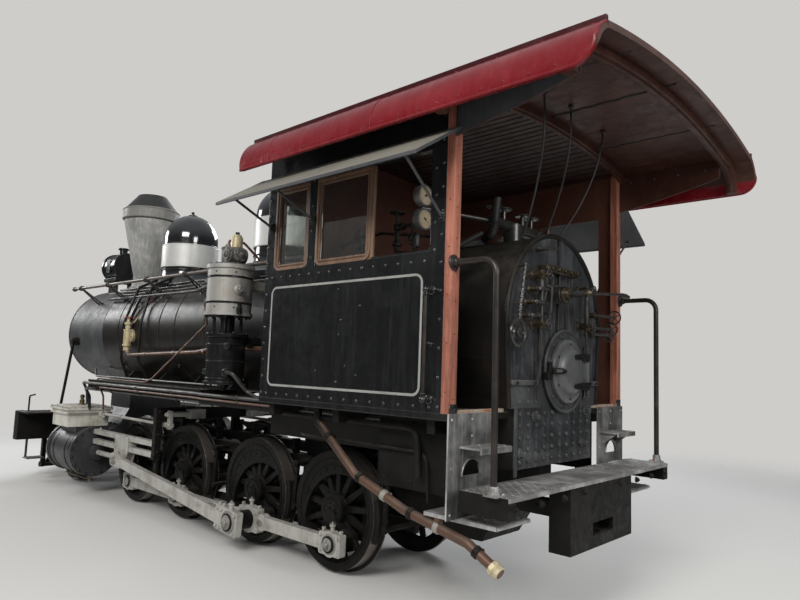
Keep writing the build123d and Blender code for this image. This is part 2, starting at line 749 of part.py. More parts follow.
# Air pump: steam cylinder above air cylinder, joined by a centre piece, hung on the boiler
with BuildPart() as air_pump:
    x = ahead(pump_step)
    layers = (
        (-535, -510, 186), (-510, -120, 170), (-120, -90, 190), (-90, 70, 62), (70, 100, 214),
        (100, 490, 200), (490, 525, 214), (525, 545, 150),
    )
    for low, high, radius in layers:
        round_z(x, pump_y, boiler_z + low, boiler_z + high, radius)
    for angle in range(45, 360, 90):
        round_z(x + 120 * cos(radians(angle)), pump_y + 120 * sin(radians(angle)), boiler_z - 92,
                boiler_z + 72, 14)
    round_z(x + 62, pump_y, boiler_z + 540, boiler_z + 700, 62)
    round_z(x + 62, pump_y, boiler_z + 700, boiler_z + 718, 40)
    block(x - 110, x + 62, pump_y - 55, pump_y + 55, boiler_z + 540, boiler_z + 660)
    round_y(x - 70, boiler_z + 622, pump_y - 80, pump_y + 92, 72)
    round_y(x - 70, boiler_z + 622, pump_y + 92, pump_y + 106, 50)
    round_z(x - 70, pump_y, boiler_z + 690, boiler_z + 786, 52)
    round_z(x - 70, pump_y, boiler_z + 786, boiler_z + 806, 40)
    round_z(x - 70, pump_y, boiler_z + 806, boiler_z + 834, 20)
    for low, high in ((-180, -110), (330, 410)):
        block(x - 90, x + 90, boiler_radius * 0.9, pump_y - 120, boiler_z + low, boiler_z + high)
    round_x(x - 300, x + 300, 0, boiler_z, boiler_radius + seat, mode=Mode.SUBTRACT)
parts["air_pump"] = air_pump

# Check valves on the barrel, and the feed pipes that run back to the cab
with BuildPart() as check_valves:
    for side in (1, -1):
        x = ahead(check_step)
        y = side * check_y
        round_z(x, y, boiler_z - 250, boiler_z + 60, 30)
        round_z(x, y, boiler_z - 200, boiler_z - 10, 46)
        round_z(x, y, boiler_z + 60, boiler_z + 86, 42)
        round_z(x, y, boiler_z + 86, boiler_z + 150, 18)
        round_y(x, boiler_z - 70, side * (boiler_radius - 60), side * (check_y + 20), 40)
        round_y(x, boiler_z - 70, side * (boiler_radius - 60), side * (boiler_radius + 26), 84)
        pipe(((x, y, boiler_z - 245), (x - 60, y, boiler_z - 300), (x - 1600, y, boiler_z - 250),
              (x - 1900, y, boiler_z - 210), (ahead(cab_front_step) + seat, y, boiler_z - 210)), 22, 60)
        round_bar((x - 30, side * 655, boiler_z + 90), (x - 330, side * 500, boiler_z + 470), 15)
    round_x(ahead(throat_step) - 900, ahead(smokebox_step) + seat, 0, boiler_z, boiler_radius + seat,
            mode=Mode.SUBTRACT)
parts["check_valves"] = check_valves

# Main frame: two bar sides with pedestals, cross ties, a tail beam and the front rails
with BuildPart() as main_frame:
    rail_low = above(frame_top) - frame_rail_depth
    for side in (1, -1):
        with BuildSketch(Plane.XZ.offset(-side * (frame_y - frame_thickness / 2))):
            with Locations(((ahead(frame_rear) + ahead(saddle_rear)) / 2, rail_low)):
                Rectangle(saddle_rear - frame_rear, frame_rail_depth, align=(Align.CENTER, Align.MIN))
            for step in axle_steps.values():
                with Locations((ahead(step), above(frame_bottom))):
                    Rectangle(330, rail_low - above(frame_bottom), align=(Align.CENTER, Align.MIN))
                for gap in (-94, 94):
                    with Locations((ahead(step) + gap, above(frame_bottom + 60))):
                        Rectangle(22, 400, align=(Align.CENTER, Align.MIN), mode=Mode.SUBTRACT)
                with Locations((ahead(step), axle_z)):
                    Circle(axle_radius + pin_fit, mode=Mode.SUBTRACT)
            with Locations((ahead(cylinder_rear) - 60, above(frame_bottom))):
                Rectangle(cylinder_rear - 60, 50, align=(Align.MAX, Align.MIN))
                Rectangle(100, rail_low - above(frame_bottom), align=(Align.MAX, Align.MIN))
        extrude(amount=-side * frame_thickness)
        y0 = side * (front_rail_y - front_rail_width / 2)
        y1 = side * (front_rail_y + front_rail_width / 2)
        block(ahead(saddle_front), ahead(beam_rear), y0, y1, above(620), above(780))
    for step in (-1200, 545, 1735, 2915):
        block(ahead(step) - 30, ahead(step) + 30, -frame_y, frame_y, rail_low + 10, above(frame_top) - 10)
    x = ahead(pony_pivot_step)
    block(x - 130, x + 60, -frame_y + 45, frame_y - 45, above(pivot_low), above(pivot_high))
    round_z(x, 0, above(pivot_low) - 1, above(pivot_high) + 1, pony_pin_radius + pin_fit,
            mode=Mode.SUBTRACT)
    block(ahead(pony_step) - 80, ahead(pony_step) + 80, -front_rail_y, front_rail_y,
          above(bolster_top) + run_clear, above(700))
    block(ahead(deck_rear), ahead(frame_rear), -frame_y - 120, frame_y + 120, above(520),
          above(deck_top - deck_plate))
    block(ahead(deck_rear) - 1, ahead(deck_rear) + 110, -150, 150, above(drawbar_height - 40),
          above(drawbar_height + 40), mode=Mode.SUBTRACT)
    round_z(ahead(deck_rear) + 60, 0, above(500), above(deck_top), drawbar_pin_radius, mode=Mode.SUBTRACT)
parts["main_frame"] = main_frame

# Leading truck: a swivelling frame on a radius bar, and its wheelset
with BuildPart() as pony_truck:
    x = ahead(pony_step)
    pivot_x = ahead(pony_pivot_step)
    for side in (1, -1):
        y0 = side * 230
        y1 = side * 290
        block(x - 210, x + 210, y0, y1, pony_axle_z - 80, pony_axle_z + 80)
        flat_bar((pivot_x + 50, side * 22, pony_axle_z), (x - 190, side * 250, pony_axle_z), 60, 50)
    for end in (-1, 1):
        block(x + end * 210, x + end * 150, -290, 290, pony_axle_z - 60, pony_axle_z + 60)
        block(x + end * 210, x + end * 60, -200, 200, above(bolster_low), above(bolster_low) + 40)
    for side in (1, -1):
        block(x - 210, x + 210, side * 180, side * 290, pony_axle_z + 70, above(bolster_low) + 40)
    block(x - 90, x + 90, -200, 200, above(bolster_low), above(bolster_top) - 25)
    round_z(x, 0, above(bolster_top) - 26, above(bolster_top), 110)
    round_z(pivot_x, 0, pony_axle_z - 30, pony_axle_z + 30, 76)
    round_z(pivot_x, 0, pony_axle_z + 29, above(pivot_high), pony_pin_radius)
    round_y(x, pony_axle_z, -300, 300, pony_axle_radius + pin_fit, mode=Mode.SUBTRACT)
parts["pony_truck"] = pony_truck

with BuildPart() as pony_axle:
    round_y(ahead(pony_step), pony_axle_z, -half_back_to_back, half_back_to_back, pony_axle_radius)
    for side in (1, -1):
        tyre(ahead(pony_step), pony_axle_z, side, pony_tread_radius, 95, 10, 50, 26)
parts["pony_axle"] = pony_axle

# Front beam with its short deck
with BuildPart() as pilot_beam:
    x0 = ahead(beam_rear)
    x1 = x0 + beam_thickness
    block(x0, x1, -beam_half_width, beam_half_width, above(beam_bottom), above(beam_top))
    block(x0 - 340, x1, -beam_half_width, beam_half_width, above(beam_top), above(beam_top) + 16)
parts["pilot_beam"] = pilot_beam

with BuildPart() as smokebox_braces:
    boss_x = ahead(smokebox_front) - 300
    boss_z = boiler_z - 125
    for side in (1, -1):
        round_y(boss_x, boss_z, side * (smokebox_radius - 60), side * (smokebox_radius + 22), 58)
        round_y(boss_x, boss_z, side * (smokebox_radius + 22), side * (smokebox_radius + 62), 40)
        flat_bar((boss_x, side * (smokebox_radius + 40), boss_z + 30),
                 (ahead(beam_rear) - 60, side * (smokebox_radius + 40), above(beam_top) + 10), 46, 22)
        block(ahead(beam_rear) - 130, ahead(beam_rear) + 10, side * (smokebox_radius - 10),
              side * (smokebox_radius + 90), above(beam_top) + 16 + seat, above(beam_top) + 30)
    round_x(ahead(smokebox_step), ahead(smokebox_front) + 1, 0, boiler_z, smokebox_radius + seat,
            mode=Mode.SUBTRACT)
    block(ahead(smokebox_front) - 400, ahead(beam_rear) + 200, -beam_half_width, beam_half_width,
          above(beam_top) - 100, above(beam_top) + 16 + seat, mode=Mode.SUBTRACT)
parts["smokebox_braces"] = smokebox_braces

# Pilot: a pointed base ring and slats that rise from it to the beam
with BuildPart() as pilot:
    x0 = ahead(beam_rear) + beam_thickness
    tip = ahead(front_reach) - 30
    for side in (1, -1):
        flat_bar((x0 + 20, side * pilot_half_width, above(130)), (tip, side * 8, above(130)), 60, 70)
        flat_bar((x0 + 20, side * pilot_top_half, above(beam_bottom + 60)),
                 (x0 + 140, side * 8, above(beam_bottom + 60)), 50, 60)
        for index in range(pilot_slats):
            share = (index + 0.5) / pilot_slats
            foot = (x0 + 20 + share * (tip - x0 - 20), side * pilot_half_width * (1 - share), above(130))
            head = (x0 + 20 + share * 120, side * pilot_top_half * (1 - share), above(beam_bottom + 60))
            flat_bar(foot, head, 34, 44)
        flat_bar((x0, side * pilot_top_half, above(beam_bottom + 60)),
                 (x0 + 60, side * (pilot_top_half - 10), above(beam_bottom + 60)), 60, 60)
        block(x0 - 60, x0 - 10, side * (pilot_half_width - 25), side * (pilot_half_width + 25), above(120),
              above(beam_bottom))
    block(tip - 40, ahead(front_reach), -34, 34, above(95), above(165))
    block(x0 - 60, x0 + 60, -pilot_half_width - 20, pilot_half_width + 20, above(110), above(150))
    block(x0 - 300, x0, -beam_half_width, beam_half_width, above(beam_bottom), above(beam_top),
          mode=Mode.SUBTRACT)
parts["pilot"] = pilot

with BuildPart() as front_coupler:
    x0 = ahead(beam_rear) + beam_thickness
    z = above(coupler_height)
    block(x0, x0 + 24, -190, 190, z - 100, z + 130)
    block(x0 + 24, x0 + 190, -75, 75, z - 60, z + 60)
    block(x0 + 190, x0 + 330, -125, 125, z - 95, z + 95)
    block(x0 + 230, x0 + 331, -90, 90, z - 30, z + 30, mode=Mode.SUBTRACT)
    round_z(x0 + 285, 0, z - 96, z + 96, coupler_pin_radius, mode=Mode.SUBTRACT)
parts["front_coupler"] = front_coupler

# Running boards beside the boiler, higher ahead of the pump than under it
with BuildPart() as running_boards:
    low_board = boiler_z - board_drop
    high_board = low_board + board_step_up
    stretches = ((cab_front_step, board_change_step, low_board), (board_change_step, 3850, high_board))
    for side in (1, -1):
        for rear, front, base in stretches:
            block(ahead(rear) + seat, ahead(front), side * board_inner_y, side * board_outer_y, base, base + 18)
            block(ahead(rear) + seat, ahead(front), side * (board_outer_y - 12), side * board_outer_y,
                  base - 70, base)
        block(ahead(board_change_step) - 12, ahead(board_change_step), side * board_inner_y,
              side * board_outer_y, low_board, high_board + 18)
        for step in (420, 1500, 2200, 2950, 3750):
            with BuildSketch(Plane.YZ.offset(ahead(step))):
                base = low_board if step < board_change_step else high_board
                Polygon((side * 400, boiler_z - 490), (side * 400, base - 72), (side * 560, base - 132),
                        (side * (board_outer_y - 12), base - 60), (side * (board_outer_y - 12), base),
                        (side * 640, base),
                        (side * 520, boiler_z - 490), align=None)
            extrude(amount=14)
    round_x(ahead(throat_step), ahead(smokebox_step) + seat, 0, boiler_z,
            boiler_radius + band_proud + seat, mode=Mode.SUBTRACT)
    with BuildSketch(Plane.YZ.offset(ahead(backhead_step))):
        firebox_outline(seat)
    extrude(amount=throat_step - backhead_step + seat, mode=Mode.SUBTRACT)
parts["running_boards"] = running_boards


def under_roof(inset):
    """The area below the roof's outer line, moved inward by the inset."""
    low = above(roof_eave)
    edge = roof_half_width - inset
    knee = (roof_shoulder_y - inset * 0.6, above(roof_shoulder) - inset * 0.9)
    with BuildLine() as outline:
        ThreePointArc((edge, low), (edge - 28, (low + knee[1]) / 2 + 30), knee)
        ThreePointArc(knee, (0, above(roof_crown) - inset), (-knee[0], knee[1]))
        ThreePointArc((-knee[0], knee[1]), (-edge + 28, (low + knee[1]) / 2 + 30), (-edge, low))
        Line((-edge, low), (edge, low))
    make_face(outline.edges())


def under_roof_hollow(inset):
    """Takes the area below the line at this inset out of the profile."""
    with BuildSketch(mode=Mode.PRIVATE) as hollow:
        under_roof(inset)
        with Locations((0, above(roof_eave) - 400)):
            Rectangle(2 * roof_shoulder_y, 800)
    add(hollow.sketch, mode=Mode.SUBTRACT)


def trim_under_roof():
    """Keeps only what lies below the roof."""
    with BuildSketch(Plane.YZ.offset(ahead(cab_rear_step) - 400)) as profile:
        under_roof(roof_thickness + seat)
        with Locations((0, above(roof_eave) - 1500)):
            Rectangle(2 * cab_half_width + 40, 3000)
    extrude(profile.sketch, amount=3000, mode=Mode.INTERSECT)


with BuildPart() as cab_roof:
    with BuildSketch(Plane.YZ.offset(ahead(-rear_reach))):
        under_roof(0)
    extrude(amount=rear_reach + roof_front)
    with BuildSketch(Plane.YZ.offset(ahead(-rear_reach) - 1)):
        under_roof(roof_thickness)
    extrude(amount=rear_reach + roof_front + 2, mode=Mode.SUBTRACT)
    rear = ahead(-rear_reach)
    for side in (1, -1):
        with BuildSketch(Plane.XZ.offset(-side * (roof_shoulder_y - 20))) as profile:
            with Locations((rear, above(roof_eave))):
                Rectangle(2 * roof_corner, 2 * roof_corner)
            with Locations((rear + roof_corner, above(roof_eave) + roof_corner)):
                Circle(roof_corner + 4, mode=Mode.SUBTRACT)
        extrude(profile.sketch, amount=-side * 200, mode=Mode.SUBTRACT)
        block(rear, ahead(roof_front), side * (roof_shoulder_y - 16), side * (roof_shoulder_y + 8),
              above(roof_shoulder) - 20, above(roof_shoulder) + 26)
parts["cab_roof"] = cab_roof

# Ribs under the roof, one before its rear edge and one over the rear posts, and a plate at each eave
with BuildPart() as roof_ribs:
    for step, width in ((-rear_reach + 130, rib_width), (cab_rear_step - rib_width, rib_width - seat)):
        with BuildSketch(Plane.YZ.offset(ahead(step))) as profile:
            under_roof(roof_thickness + seat)
            under_roof_hollow(roof_thickness + rib_depth)
        extrude(profile.sketch, amount=width)
        with BuildSketch(Plane.YZ.offset(ahead(step) + width / 2 - 13)) as profile:
            under_roof(roof_thickness + rib_depth - 1)
            under_roof_hollow(roof_thickness + rib_depth + 14)
        extrude(profile.sketch, amount=26)
    for side in (1, -1):
        inner = side * (cab_half_width - 12)
        with BuildSketch(Plane.XZ.offset(-max(inner, side * cab_half_width))) as profile:
            with BuildLine() as outline:
                rear = ahead(cab_rear_step - gusset_reach)
                front = ahead(cab_rear_step) - seat
                Polyline((rear, above(roof_eave) + 90), (rear, above(roof_crown)), (front, above(roof_crown)),
                         (front, above(roof_eave) - 80))
                ThreePointArc((front, above(roof_eave) - 80), (front - 330, above(roof_eave) - 22),
                              (rear, above(roof_eave) + 90))
            make_face(outline.edges())
        extrude(profile.sketch, amount=12)
    with BuildSketch(Plane.YZ.offset(ahead(-rear_reach))) as profile:
        under_roof(roof_thickness + seat)
        with Locations((0, above(roof_eave) - 400)):
            Rectangle(2 * roof_shoulder_y, 800)
    extrude(profile.sketch, amount=rear_reach + roof_front, mode=Mode.INTERSECT)
parts["roof_ribs"] = roof_ribs


def cab_side(side):
    x0 = ahead(cab_rear_step + post_width)
    x1 = ahead(cab_front_step)
    y0 = side * (cab_half_width - cab_wall)
    y1 = side * cab_half_width
    block(x0, x1, y0, y1, above(floor_top), above(roof_crown))
    for rear, front in (side_window_front, side_window_rear):
        block(ahead(rear), ahead(front), side * (cab_half_width - cab_wall - 1),
              side * (cab_half_width + 1), above(sill_height), above(window_head), mode=Mode.SUBTRACT)
    trim_under_roof()


for side, hand in ((1, "left"), (-1, "right")):
    with BuildPart() as wall:
        cab_side(side)
    parts["cab_side_" + hand] = wall

with BuildPart() as cab_front:
    half = cab_half_width - cab_wall
    block(ahead(cab_front_step) - cab_wall, ahead(cab_front_step), -half, half, above(floor_top),
          above(roof_crown))
    with BuildSketch(Plane.YZ.offset(ahead(cab_front_step) - cab_wall - 1)):
        firebox_outline(seat)
    extrude(amount=cab_wall + 2, mode=Mode.SUBTRACT)
    for side in (1, -1):
        block(ahead(cab_front_step) - cab_wall - 1, ahead(cab_front_step) + 1, side * front_window_y[0],
              side * front_window_y[1], above(front_window_low), above(front_window_high),
              mode=Mode.SUBTRACT)
        round_x(ahead(cab_front_step) - cab_wall - 1, ahead(cab_front_step) + 1, side * handrail_y,
                above(handrail_height), handrail_radius + seat, mode=Mode.SUBTRACT)
    trim_under_roof()
parts["cab_front"] = cab_front

with BuildPart() as cab_posts:
    x0 = ahead(cab_rear_step)
    for side in (1, -1):
        block(x0, x0 + post_width, side * (cab_half_width - post_width - 10), side * cab_half_width,
              above(floor_top), above(roof_crown))
    trim_under_roof()
parts["cab_posts"] = cab_posts


def sash_frames():
    """Rear, front, low and high edges of each side sash, ahead of the rear driving axle."""
    rear, front = side_window_rear
    middle = (rear + front) / 2
    return (side_window_front, (middle - 20, front))


with BuildPart() as window_sashes:
    for side in (1, -1):
        y0 = side * (cab_half_width - cab_wall / 2 - sash_thickness / 2)
        y1 = side * (cab_half_width - cab_wall / 2 + sash_thickness / 2)
        for rear, front in sash_frames():
            block(ahead(rear) + seat, ahead(front) - seat, y0, y1, above(sill_height) + seat,
                  above(window_head) - seat)
            block(ahead(rear) + sash_width, ahead(front) - sash_width, side * cab_half_width,
                  side * (cab_half_width - cab_wall), above(sill_height) + sash_width,
                  above(window_head) - sash_width, mode=Mode.SUBTRACT)
        x = ahead(cab_front_step) - cab_wall / 2
        block(x - sash_thickness / 2, x + sash_thickness / 2, side * front_window_y[0] + side * seat,
              side * front_window_y[1] - side * seat, above(front_window_low) + seat,
              above(front_window_high) - seat)
        block(x - 30, x + 30, side * (front_window_y[0] + sash_width), side * (front_window_y[1] - sash_width),
              above(front_window_low) + sash_width, above(front_window_high) - sash_width,
              mode=Mode.SUBTRACT)
parts["window_sashes"] = window_sashes

with BuildPart() as window_glass:
    for side in (1, -1):
        y = side * (cab_half_width - cab_wall / 2)
        for rear, front in sash_frames():
            block(ahead(rear) + sash_width + seat, ahead(front) - sash_width - seat, y - glass_thickness / 2,
                  y + glass_thickness / 2, above(sill_height) + sash_width + seat,
                  above(window_head) - sash_width - seat)
        x = ahead(cab_front_step) - cab_wall / 2
        block(x - glass_thickness / 2, x + glass_thickness / 2, side * (front_window_y[0] + sash_width + seat),
              side * (front_window_y[1] - sash_width - seat), above(front_window_low) + sash_width + seat,
              above(front_window_high) - sash_width - seat)
parts["window_glass"] = window_glass

# Awnings: a flat blind outside each side window, stayed by rods to the wall
with BuildPart() as awnings:
    for side in (1, -1):
        y = side * (cab_half_width + seat)
        with BuildSketch(Plane.YZ.offset(ahead(-1700))):
            Polygon((y, above(roof_eave - 22)), (side * awning_edge_y, above(awning_edge)),
                    (side * awning_edge_y, above(awning_edge - awning_thickness)),
                    (y, above(roof_eave - 22 - awning_thickness)), align=None)
        extrude(amount=1700 + 330)
        for step in (-1560, -330, 170):
            flat_bar((ahead(step), y, above(2560) if step < -1000 else above(2700)),
                     (ahead(step), side * (awning_edge_y - 60), above(awning_edge) + 20), 18, 8)
    block(ahead(cab_rear_step) - 400, ahead(roof_front) + 200, -cab_half_width - seat,
          cab_half_width + seat, above(2000), above(roof_crown), mode=Mode.SUBTRACT)
parts["awnings"] = awnings

# Cab floor: side plates beside the firebox on cross bearers, and the low rear deck
with BuildPart() as cab_floor:
    inner = firebox_half_width + seat
    for side in (1, -1):
        block(ahead(cab_rear_step), ahead(cab_front_step), side * inner, side * cab_half_width,
              above(floor_top - floor_plate), above(floor_top))
        for step in (-1500, -640, 100):
            block(ahead(step), ahead(step) + 60, side * inner, side * (cab_half_width - 60),
                  above(floor_top - floor_plate - 90), above(floor_top - floor_plate))
        block(ahead(-1500), ahead(-880), side * 945, side * 957, above(850), above(floor_top - floor_plate))
    block(ahead(deck_rear), ahead(backhead_step) - 26, -deck_half_width, deck_half_width,
          above(deck_top - deck_plate), above(deck_top))
    for y in (-deck_half_width, deck_half_width - 80):
        block(ahead(deck_rear), ahead(backhead_step) - 26, y, y + 80, above(deck_top - 120),
              above(deck_top - deck_plate))
    with BuildSketch(Plane.YZ.offset(ahead(backhead_step))) as profile:
        firebox_outline(seat)
    extrude(profile.sketch, amount=cab_front_step - backhead_step + 1, mode=Mode.SUBTRACT)
parts["cab_floor"] = cab_floor

with BuildPart() as seat_boxes:
    for side in (1, -1):
        block(ahead(-1330), ahead(-480), side * 745, side * 1100, above(floor_top), above(1830))
        block(ahead(-1350), ahead(-460), side * 730, side * 1115, above(1830), above(1905))
parts["seat_boxes"] = seat_boxes

# Fittings on the back head: turret, water glass, gauge cocks, throttle and two gauges at the window
with BuildPart() as backhead_fittings:
    face = ahead(backhead_step)
    z = boiler_z + 220
    round_x(face - 90, face, 60, z, 62)
    round_x(face - 260, face - 90, 60, z, 22)
    flat_bar((face - 240, 60, z), (face - 300, -420, z + 40), 34, 18)
    for y, low, high in ((330, -40, 360), (-330, -10, 320)):
        round_z(face - 70, y, boiler_z + low, boiler_z + high, 16)
        for height in (low + 30, high - 30):
            round_x(face - 96, face, y, boiler_z + height, 22)
    for index in range(3):
        height = boiler_z + 40 + index * 95
        y = 470 - index * 45
        round_x(face - 90, face, y, height, 15)
        round_y(face - 90, height, y - 60, y + 8, 10)
    turret_x = face + 380
    turret_z = boiler_z + 770
    round_z(turret_x, 0, boiler_z + boiler_radius - 40, turret_z + 20, 74)
    round_y(turret_x, turret_z, -300, 300, 42)
    for y in (-260, -130, 130, 260):
        round_z(turret_x, y, turret_z, turret_z + 110, 18)
        round_z(turret_x, y, turret_z + 110, turret_z + 126, 52)
    for rise in (720, 892):
        round_x(face + 620, face + 680, gauge_y, boiler_z + rise, gauge_radius)
    round_z(face + 655, gauge_y, boiler_z + 720, boiler_z + 892, 14)
    round_bar((face + 655, gauge_y, boiler_z + 806), (turret_x, 280, turret_z), 14)
    round_x(ahead(backhead_step) + 1, ahead(0), 0, boiler_z, boiler_radius + seat, mode=Mode.SUBTRACT)
parts["backhead_fittings"] = backhead_fittings

with BuildPart() as reverser:
    x = ahead(-1000)
    y = -660 - seat
    with BuildSketch(Plane.XZ.offset(-y)):
        with Locations((x, above(floor_top))):
            Circle(620)
            Circle(560, mode=Mode.SUBTRACT)
            with Locations((0, -400)):
                Rectangle(1300, 1500, mode=Mode.SUBTRACT)
    extrude(amount=14)
    for dx in (-440, 440):
        block(x + dx - 20, x + dx + 20, y - 14, y, above(floor_top), above(floor_top) + 420)
    flat_bar((x - 5, y - 26, above(floor_top) + 24), (x - 230, y - 26, above(floor_top) + 900), 24, 40)
parts["reverser"] = reverser

# Steps below the cab's rear corners, with a half-moon foot hole in each end plate
with BuildPart() as rear_steps:
    x = ahead(cab_rear_step) - 12 - seat
    for side in (1, -1):
        block(x, x + 12, side * 730, side * 1190, above(step_plate_bottom), above(step_plate_top))
        with BuildSketch(Plane.YZ.offset(x - 1)):
            with Locations((side * 960, above(1010))):
                Circle(95)
                with Locations((0, -60)):
                    Rectangle(220, 120, mode=Mode.SUBTRACT)
        extrude(amount=14, mode=Mode.SUBTRACT)
        block(ahead(-1930), ahead(-1400), side * 730, side * 1080, above(step_plate_bottom) - 24,
              above(step_plate_bottom))
        block(x, ahead(-1820), side * 760, side * 1080, above(1172), above(1184))
        block(ahead(-1820), ahead(-1808), side * 760, side * 1080, above(1150), above(1184))
        for y in (780, 1060):
            with BuildSketch(Plane.XZ.offset(-side * y)) as profile:
                Polygon((x + 2, above(1174)), (ahead(-1800), above(1174)), (x + 2, above(1070)), align=None)
            extrude(profile.sketch, amount=8)
parts["rear_steps"] = rear_steps

# Grab rails: a bent pipe from each rear post down to the lower step, and a handle on each side
with BuildPart() as grab_rails:
    for side in (1, -1):
        y = side * 1170
        pipe(((ahead(cab_rear_step) - seat, y, above(2270)), (ahead(-1960), y, above(2270)),
              (ahead(-1960), side * 1160, above(960))), 19, 90)
        pipe(((ahead(-1500), side * (cab_half_width + seat), above(2110)),
              (ahead(-1500), side * (cab_half_width + 60), above(2110)),
              (ahead(-1500), side * (cab_half_width + 60), above(1450)),
              (ahead(-1500), side * (cab_half_width + seat), above(1450))), 11, 24)
parts["grab_rails"] = grab_rails

with BuildPart() as ash_pan:
    with BuildSketch(Plane.XZ.offset(-250)):
        Polygon((ahead(-1520), above(firebox_bottom) - seat), (ahead(760), above(firebox_bottom) - seat),
                (ahead(760), above(840)), (ahead(330), above(700)), (ahead(-330), above(700)),
                (ahead(-620), above(420)), (ahead(-1250), above(420)), (ahead(-1520), above(840)),
                align=None)
    extrude(amount=500)
    block(ahead(-1240), ahead(-1160), -260, 260, above(frame_top) - frame_rail_depth,
          above(frame_top), mode=Mode.SUBTRACT)
    block(ahead(505), ahead(585), -260, 260, above(frame_top) - frame_rail_depth, above(frame_top),
          mode=Mode.SUBTRACT)
parts["ash_pan"] = ash_pan

# Springs: a leaf spring on a saddle over each driving box, with a hanger at each end
with BuildPart() as spring_rigging:
    for side in (1, -1):
        with BuildSketch(Plane.XZ.offset(-side * (frame_y - 34))):
            for step in axle_steps.values():
                with Locations((ahead(step), above(frame_top))):
                    Rectangle(68, 60, align=(Align.CENTER, Align.MIN))
                for leaf in range(spring_leaves):
                    half = spring_half_length * (0.3 + 0.7 * leaf / (spring_leaves - 1))
                    with Locations((ahead(step), above(frame_top) + 44 + leaf * leaf_thickness)):
                        Rectangle(2 * half, leaf_thickness, align=(Align.CENTER, Align.MIN))
                hanger = spring_half_length - 24
                with Locations((ahead(step) - hanger, above(frame_top)), (ahead(step) + hanger, above(frame_top))):
                    Rectangle(24, 60 + spring_leaves * leaf_thickness, align=(Align.CENTER, Align.MIN))
        extrude(amount=-side * 68)
parts["spring_rigging"] = spring_rigging

# Brakes: a shoe behind each driving wheel, on a hanger from a pin in the frame
with BuildPart() as brake_rigging:
    for step in axle_steps.values():
        x = ahead(step)
        for side in (1, -1):
            with BuildSketch(Plane.XZ.offset(-side * (half_back_to_back + flange_width + 12))):
                with Locations((x, axle_z)):
                    Circle(tread_radius + run_clear + shoe_thickness)
                    Circle(tread_radius + run_clear, mode=Mode.SUBTRACT)
                with Locations((x + 300, axle_z)):
                    Rectangle(1400, 1400, mode=Mode.SUBTRACT)
                with Locations((x - 500, axle_z + 360), (x - 500, axle_z - 400)):
                    Rectangle(600, 440, mode=Mode.SUBTRACT)
            extrude(amount=-side * 78)
            y = side * (half_back_to_back + flange_width + 51)
            flat_bar((x - hanger_step, y, above(790)), (x - tread_radius - 60, y, above(400)), 36, 26)
            round_y(x - hanger_step, above(770), side * (frame_y + frame_thickness / 2), y + side * 30, 20)
        beam_y = half_back_to_back + flange_width + 60
        round_y(x - tread_radius - 60, above(400), -beam_y, beam_y, 22)
parts["brake_rigging"] = brake_rigging

# Feed pipe from the tender to the engine, under the left side of the cab
with BuildPart() as suction_pipe:
    pipe(((ahead(-330), 1040, above(floor_top - floor_plate) - seat), (ahead(-330), 1040, above(1220)),
          (ahead(-760), 1050, above(900)), (ahead(-1220), 1060, above(745)), (ahead(-1720), 1060, above(640)),
          (ahead(-1950), 1060, above(520))), 30, 60)
    block(ahead(-1520), ahead(-1484), 1040, 1080, above(680), above(step_plate_bottom) - 24 - seat)
    block(ahead(-400), ahead(-240), 980, 1100, above(floor_top - floor_plate) - 20,
          above(floor_top - floor_plate) - seat)
parts["suction_pipe"] = suction_pipe

os.makedirs("parts", exist_ok=True)
for name, built in parts.items():
    built.part.label = name
    export_step(built.part, "parts/" + name + ".step")
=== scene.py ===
"""Dresses the CAD model of a narrow-gauge steam locomotive with its finishes and small fittings."""

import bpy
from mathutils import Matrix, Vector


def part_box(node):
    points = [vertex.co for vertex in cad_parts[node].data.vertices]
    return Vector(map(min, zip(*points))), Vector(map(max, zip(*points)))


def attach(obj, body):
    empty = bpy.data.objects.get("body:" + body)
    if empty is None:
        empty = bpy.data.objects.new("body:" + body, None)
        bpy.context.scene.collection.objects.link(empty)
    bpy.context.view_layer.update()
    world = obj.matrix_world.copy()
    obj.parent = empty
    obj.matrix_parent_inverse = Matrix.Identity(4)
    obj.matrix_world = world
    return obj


bl_info = {
    "name": "Narrow-gauge steam locomotive",
    "version": (1, 0, 0),
    "blender": (4, 5, 0),
    "location": "3D View > Sidebar > Locomotive",
    "description": "Finishes, rivets, pipes and fittings of a narrow-gauge steam locomotive",
    "category": "Object",
}

from math import atan2, cos, pi, radians, sin, sqrt

import bmesh
import bpy
from mathutils import Matrix, Vector

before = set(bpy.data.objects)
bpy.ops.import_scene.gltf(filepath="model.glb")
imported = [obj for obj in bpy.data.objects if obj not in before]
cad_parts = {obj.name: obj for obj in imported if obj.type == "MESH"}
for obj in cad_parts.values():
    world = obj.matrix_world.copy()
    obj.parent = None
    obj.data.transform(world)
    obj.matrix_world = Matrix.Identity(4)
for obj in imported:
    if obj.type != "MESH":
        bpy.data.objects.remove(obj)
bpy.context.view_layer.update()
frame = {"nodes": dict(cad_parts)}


def middle_of(node):
    """The middle of a CAD node's box."""
    low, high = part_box(node)
    return (low + high) / 2


# Lengths here are in metres, and places are measured from the rear driving axle and the rail
REAR_AXLE_X = middle_of("axle_4").x
RAIL_Z = 0.026
BOILER_HEIGHT = 1.97
BOILER_Z = RAIL_Z + BOILER_HEIGHT
BOILER_RADIUS = 0.65
SMOKEBOX_RADIUS = 0.62
CAB_SIDE_Y = 1.18
# The back head's outer face, and the middle of the fire hole to the left and above the rail
BACKHEAD = -1.69
FIRE_HOLE = (-0.1, 1.65)
# The running board steps up from the first height to the second
BOARD_STEP, LOW_BOARD, HIGH_BOARD = 1.38, 1.312, 1.352
SIDES = ((1, "left"), (-1, "right"))
AHEAD, LEFT, UP = Vector((1, 0, 0)), Vector((0, 1, 0)), Vector((0, 0, 1))


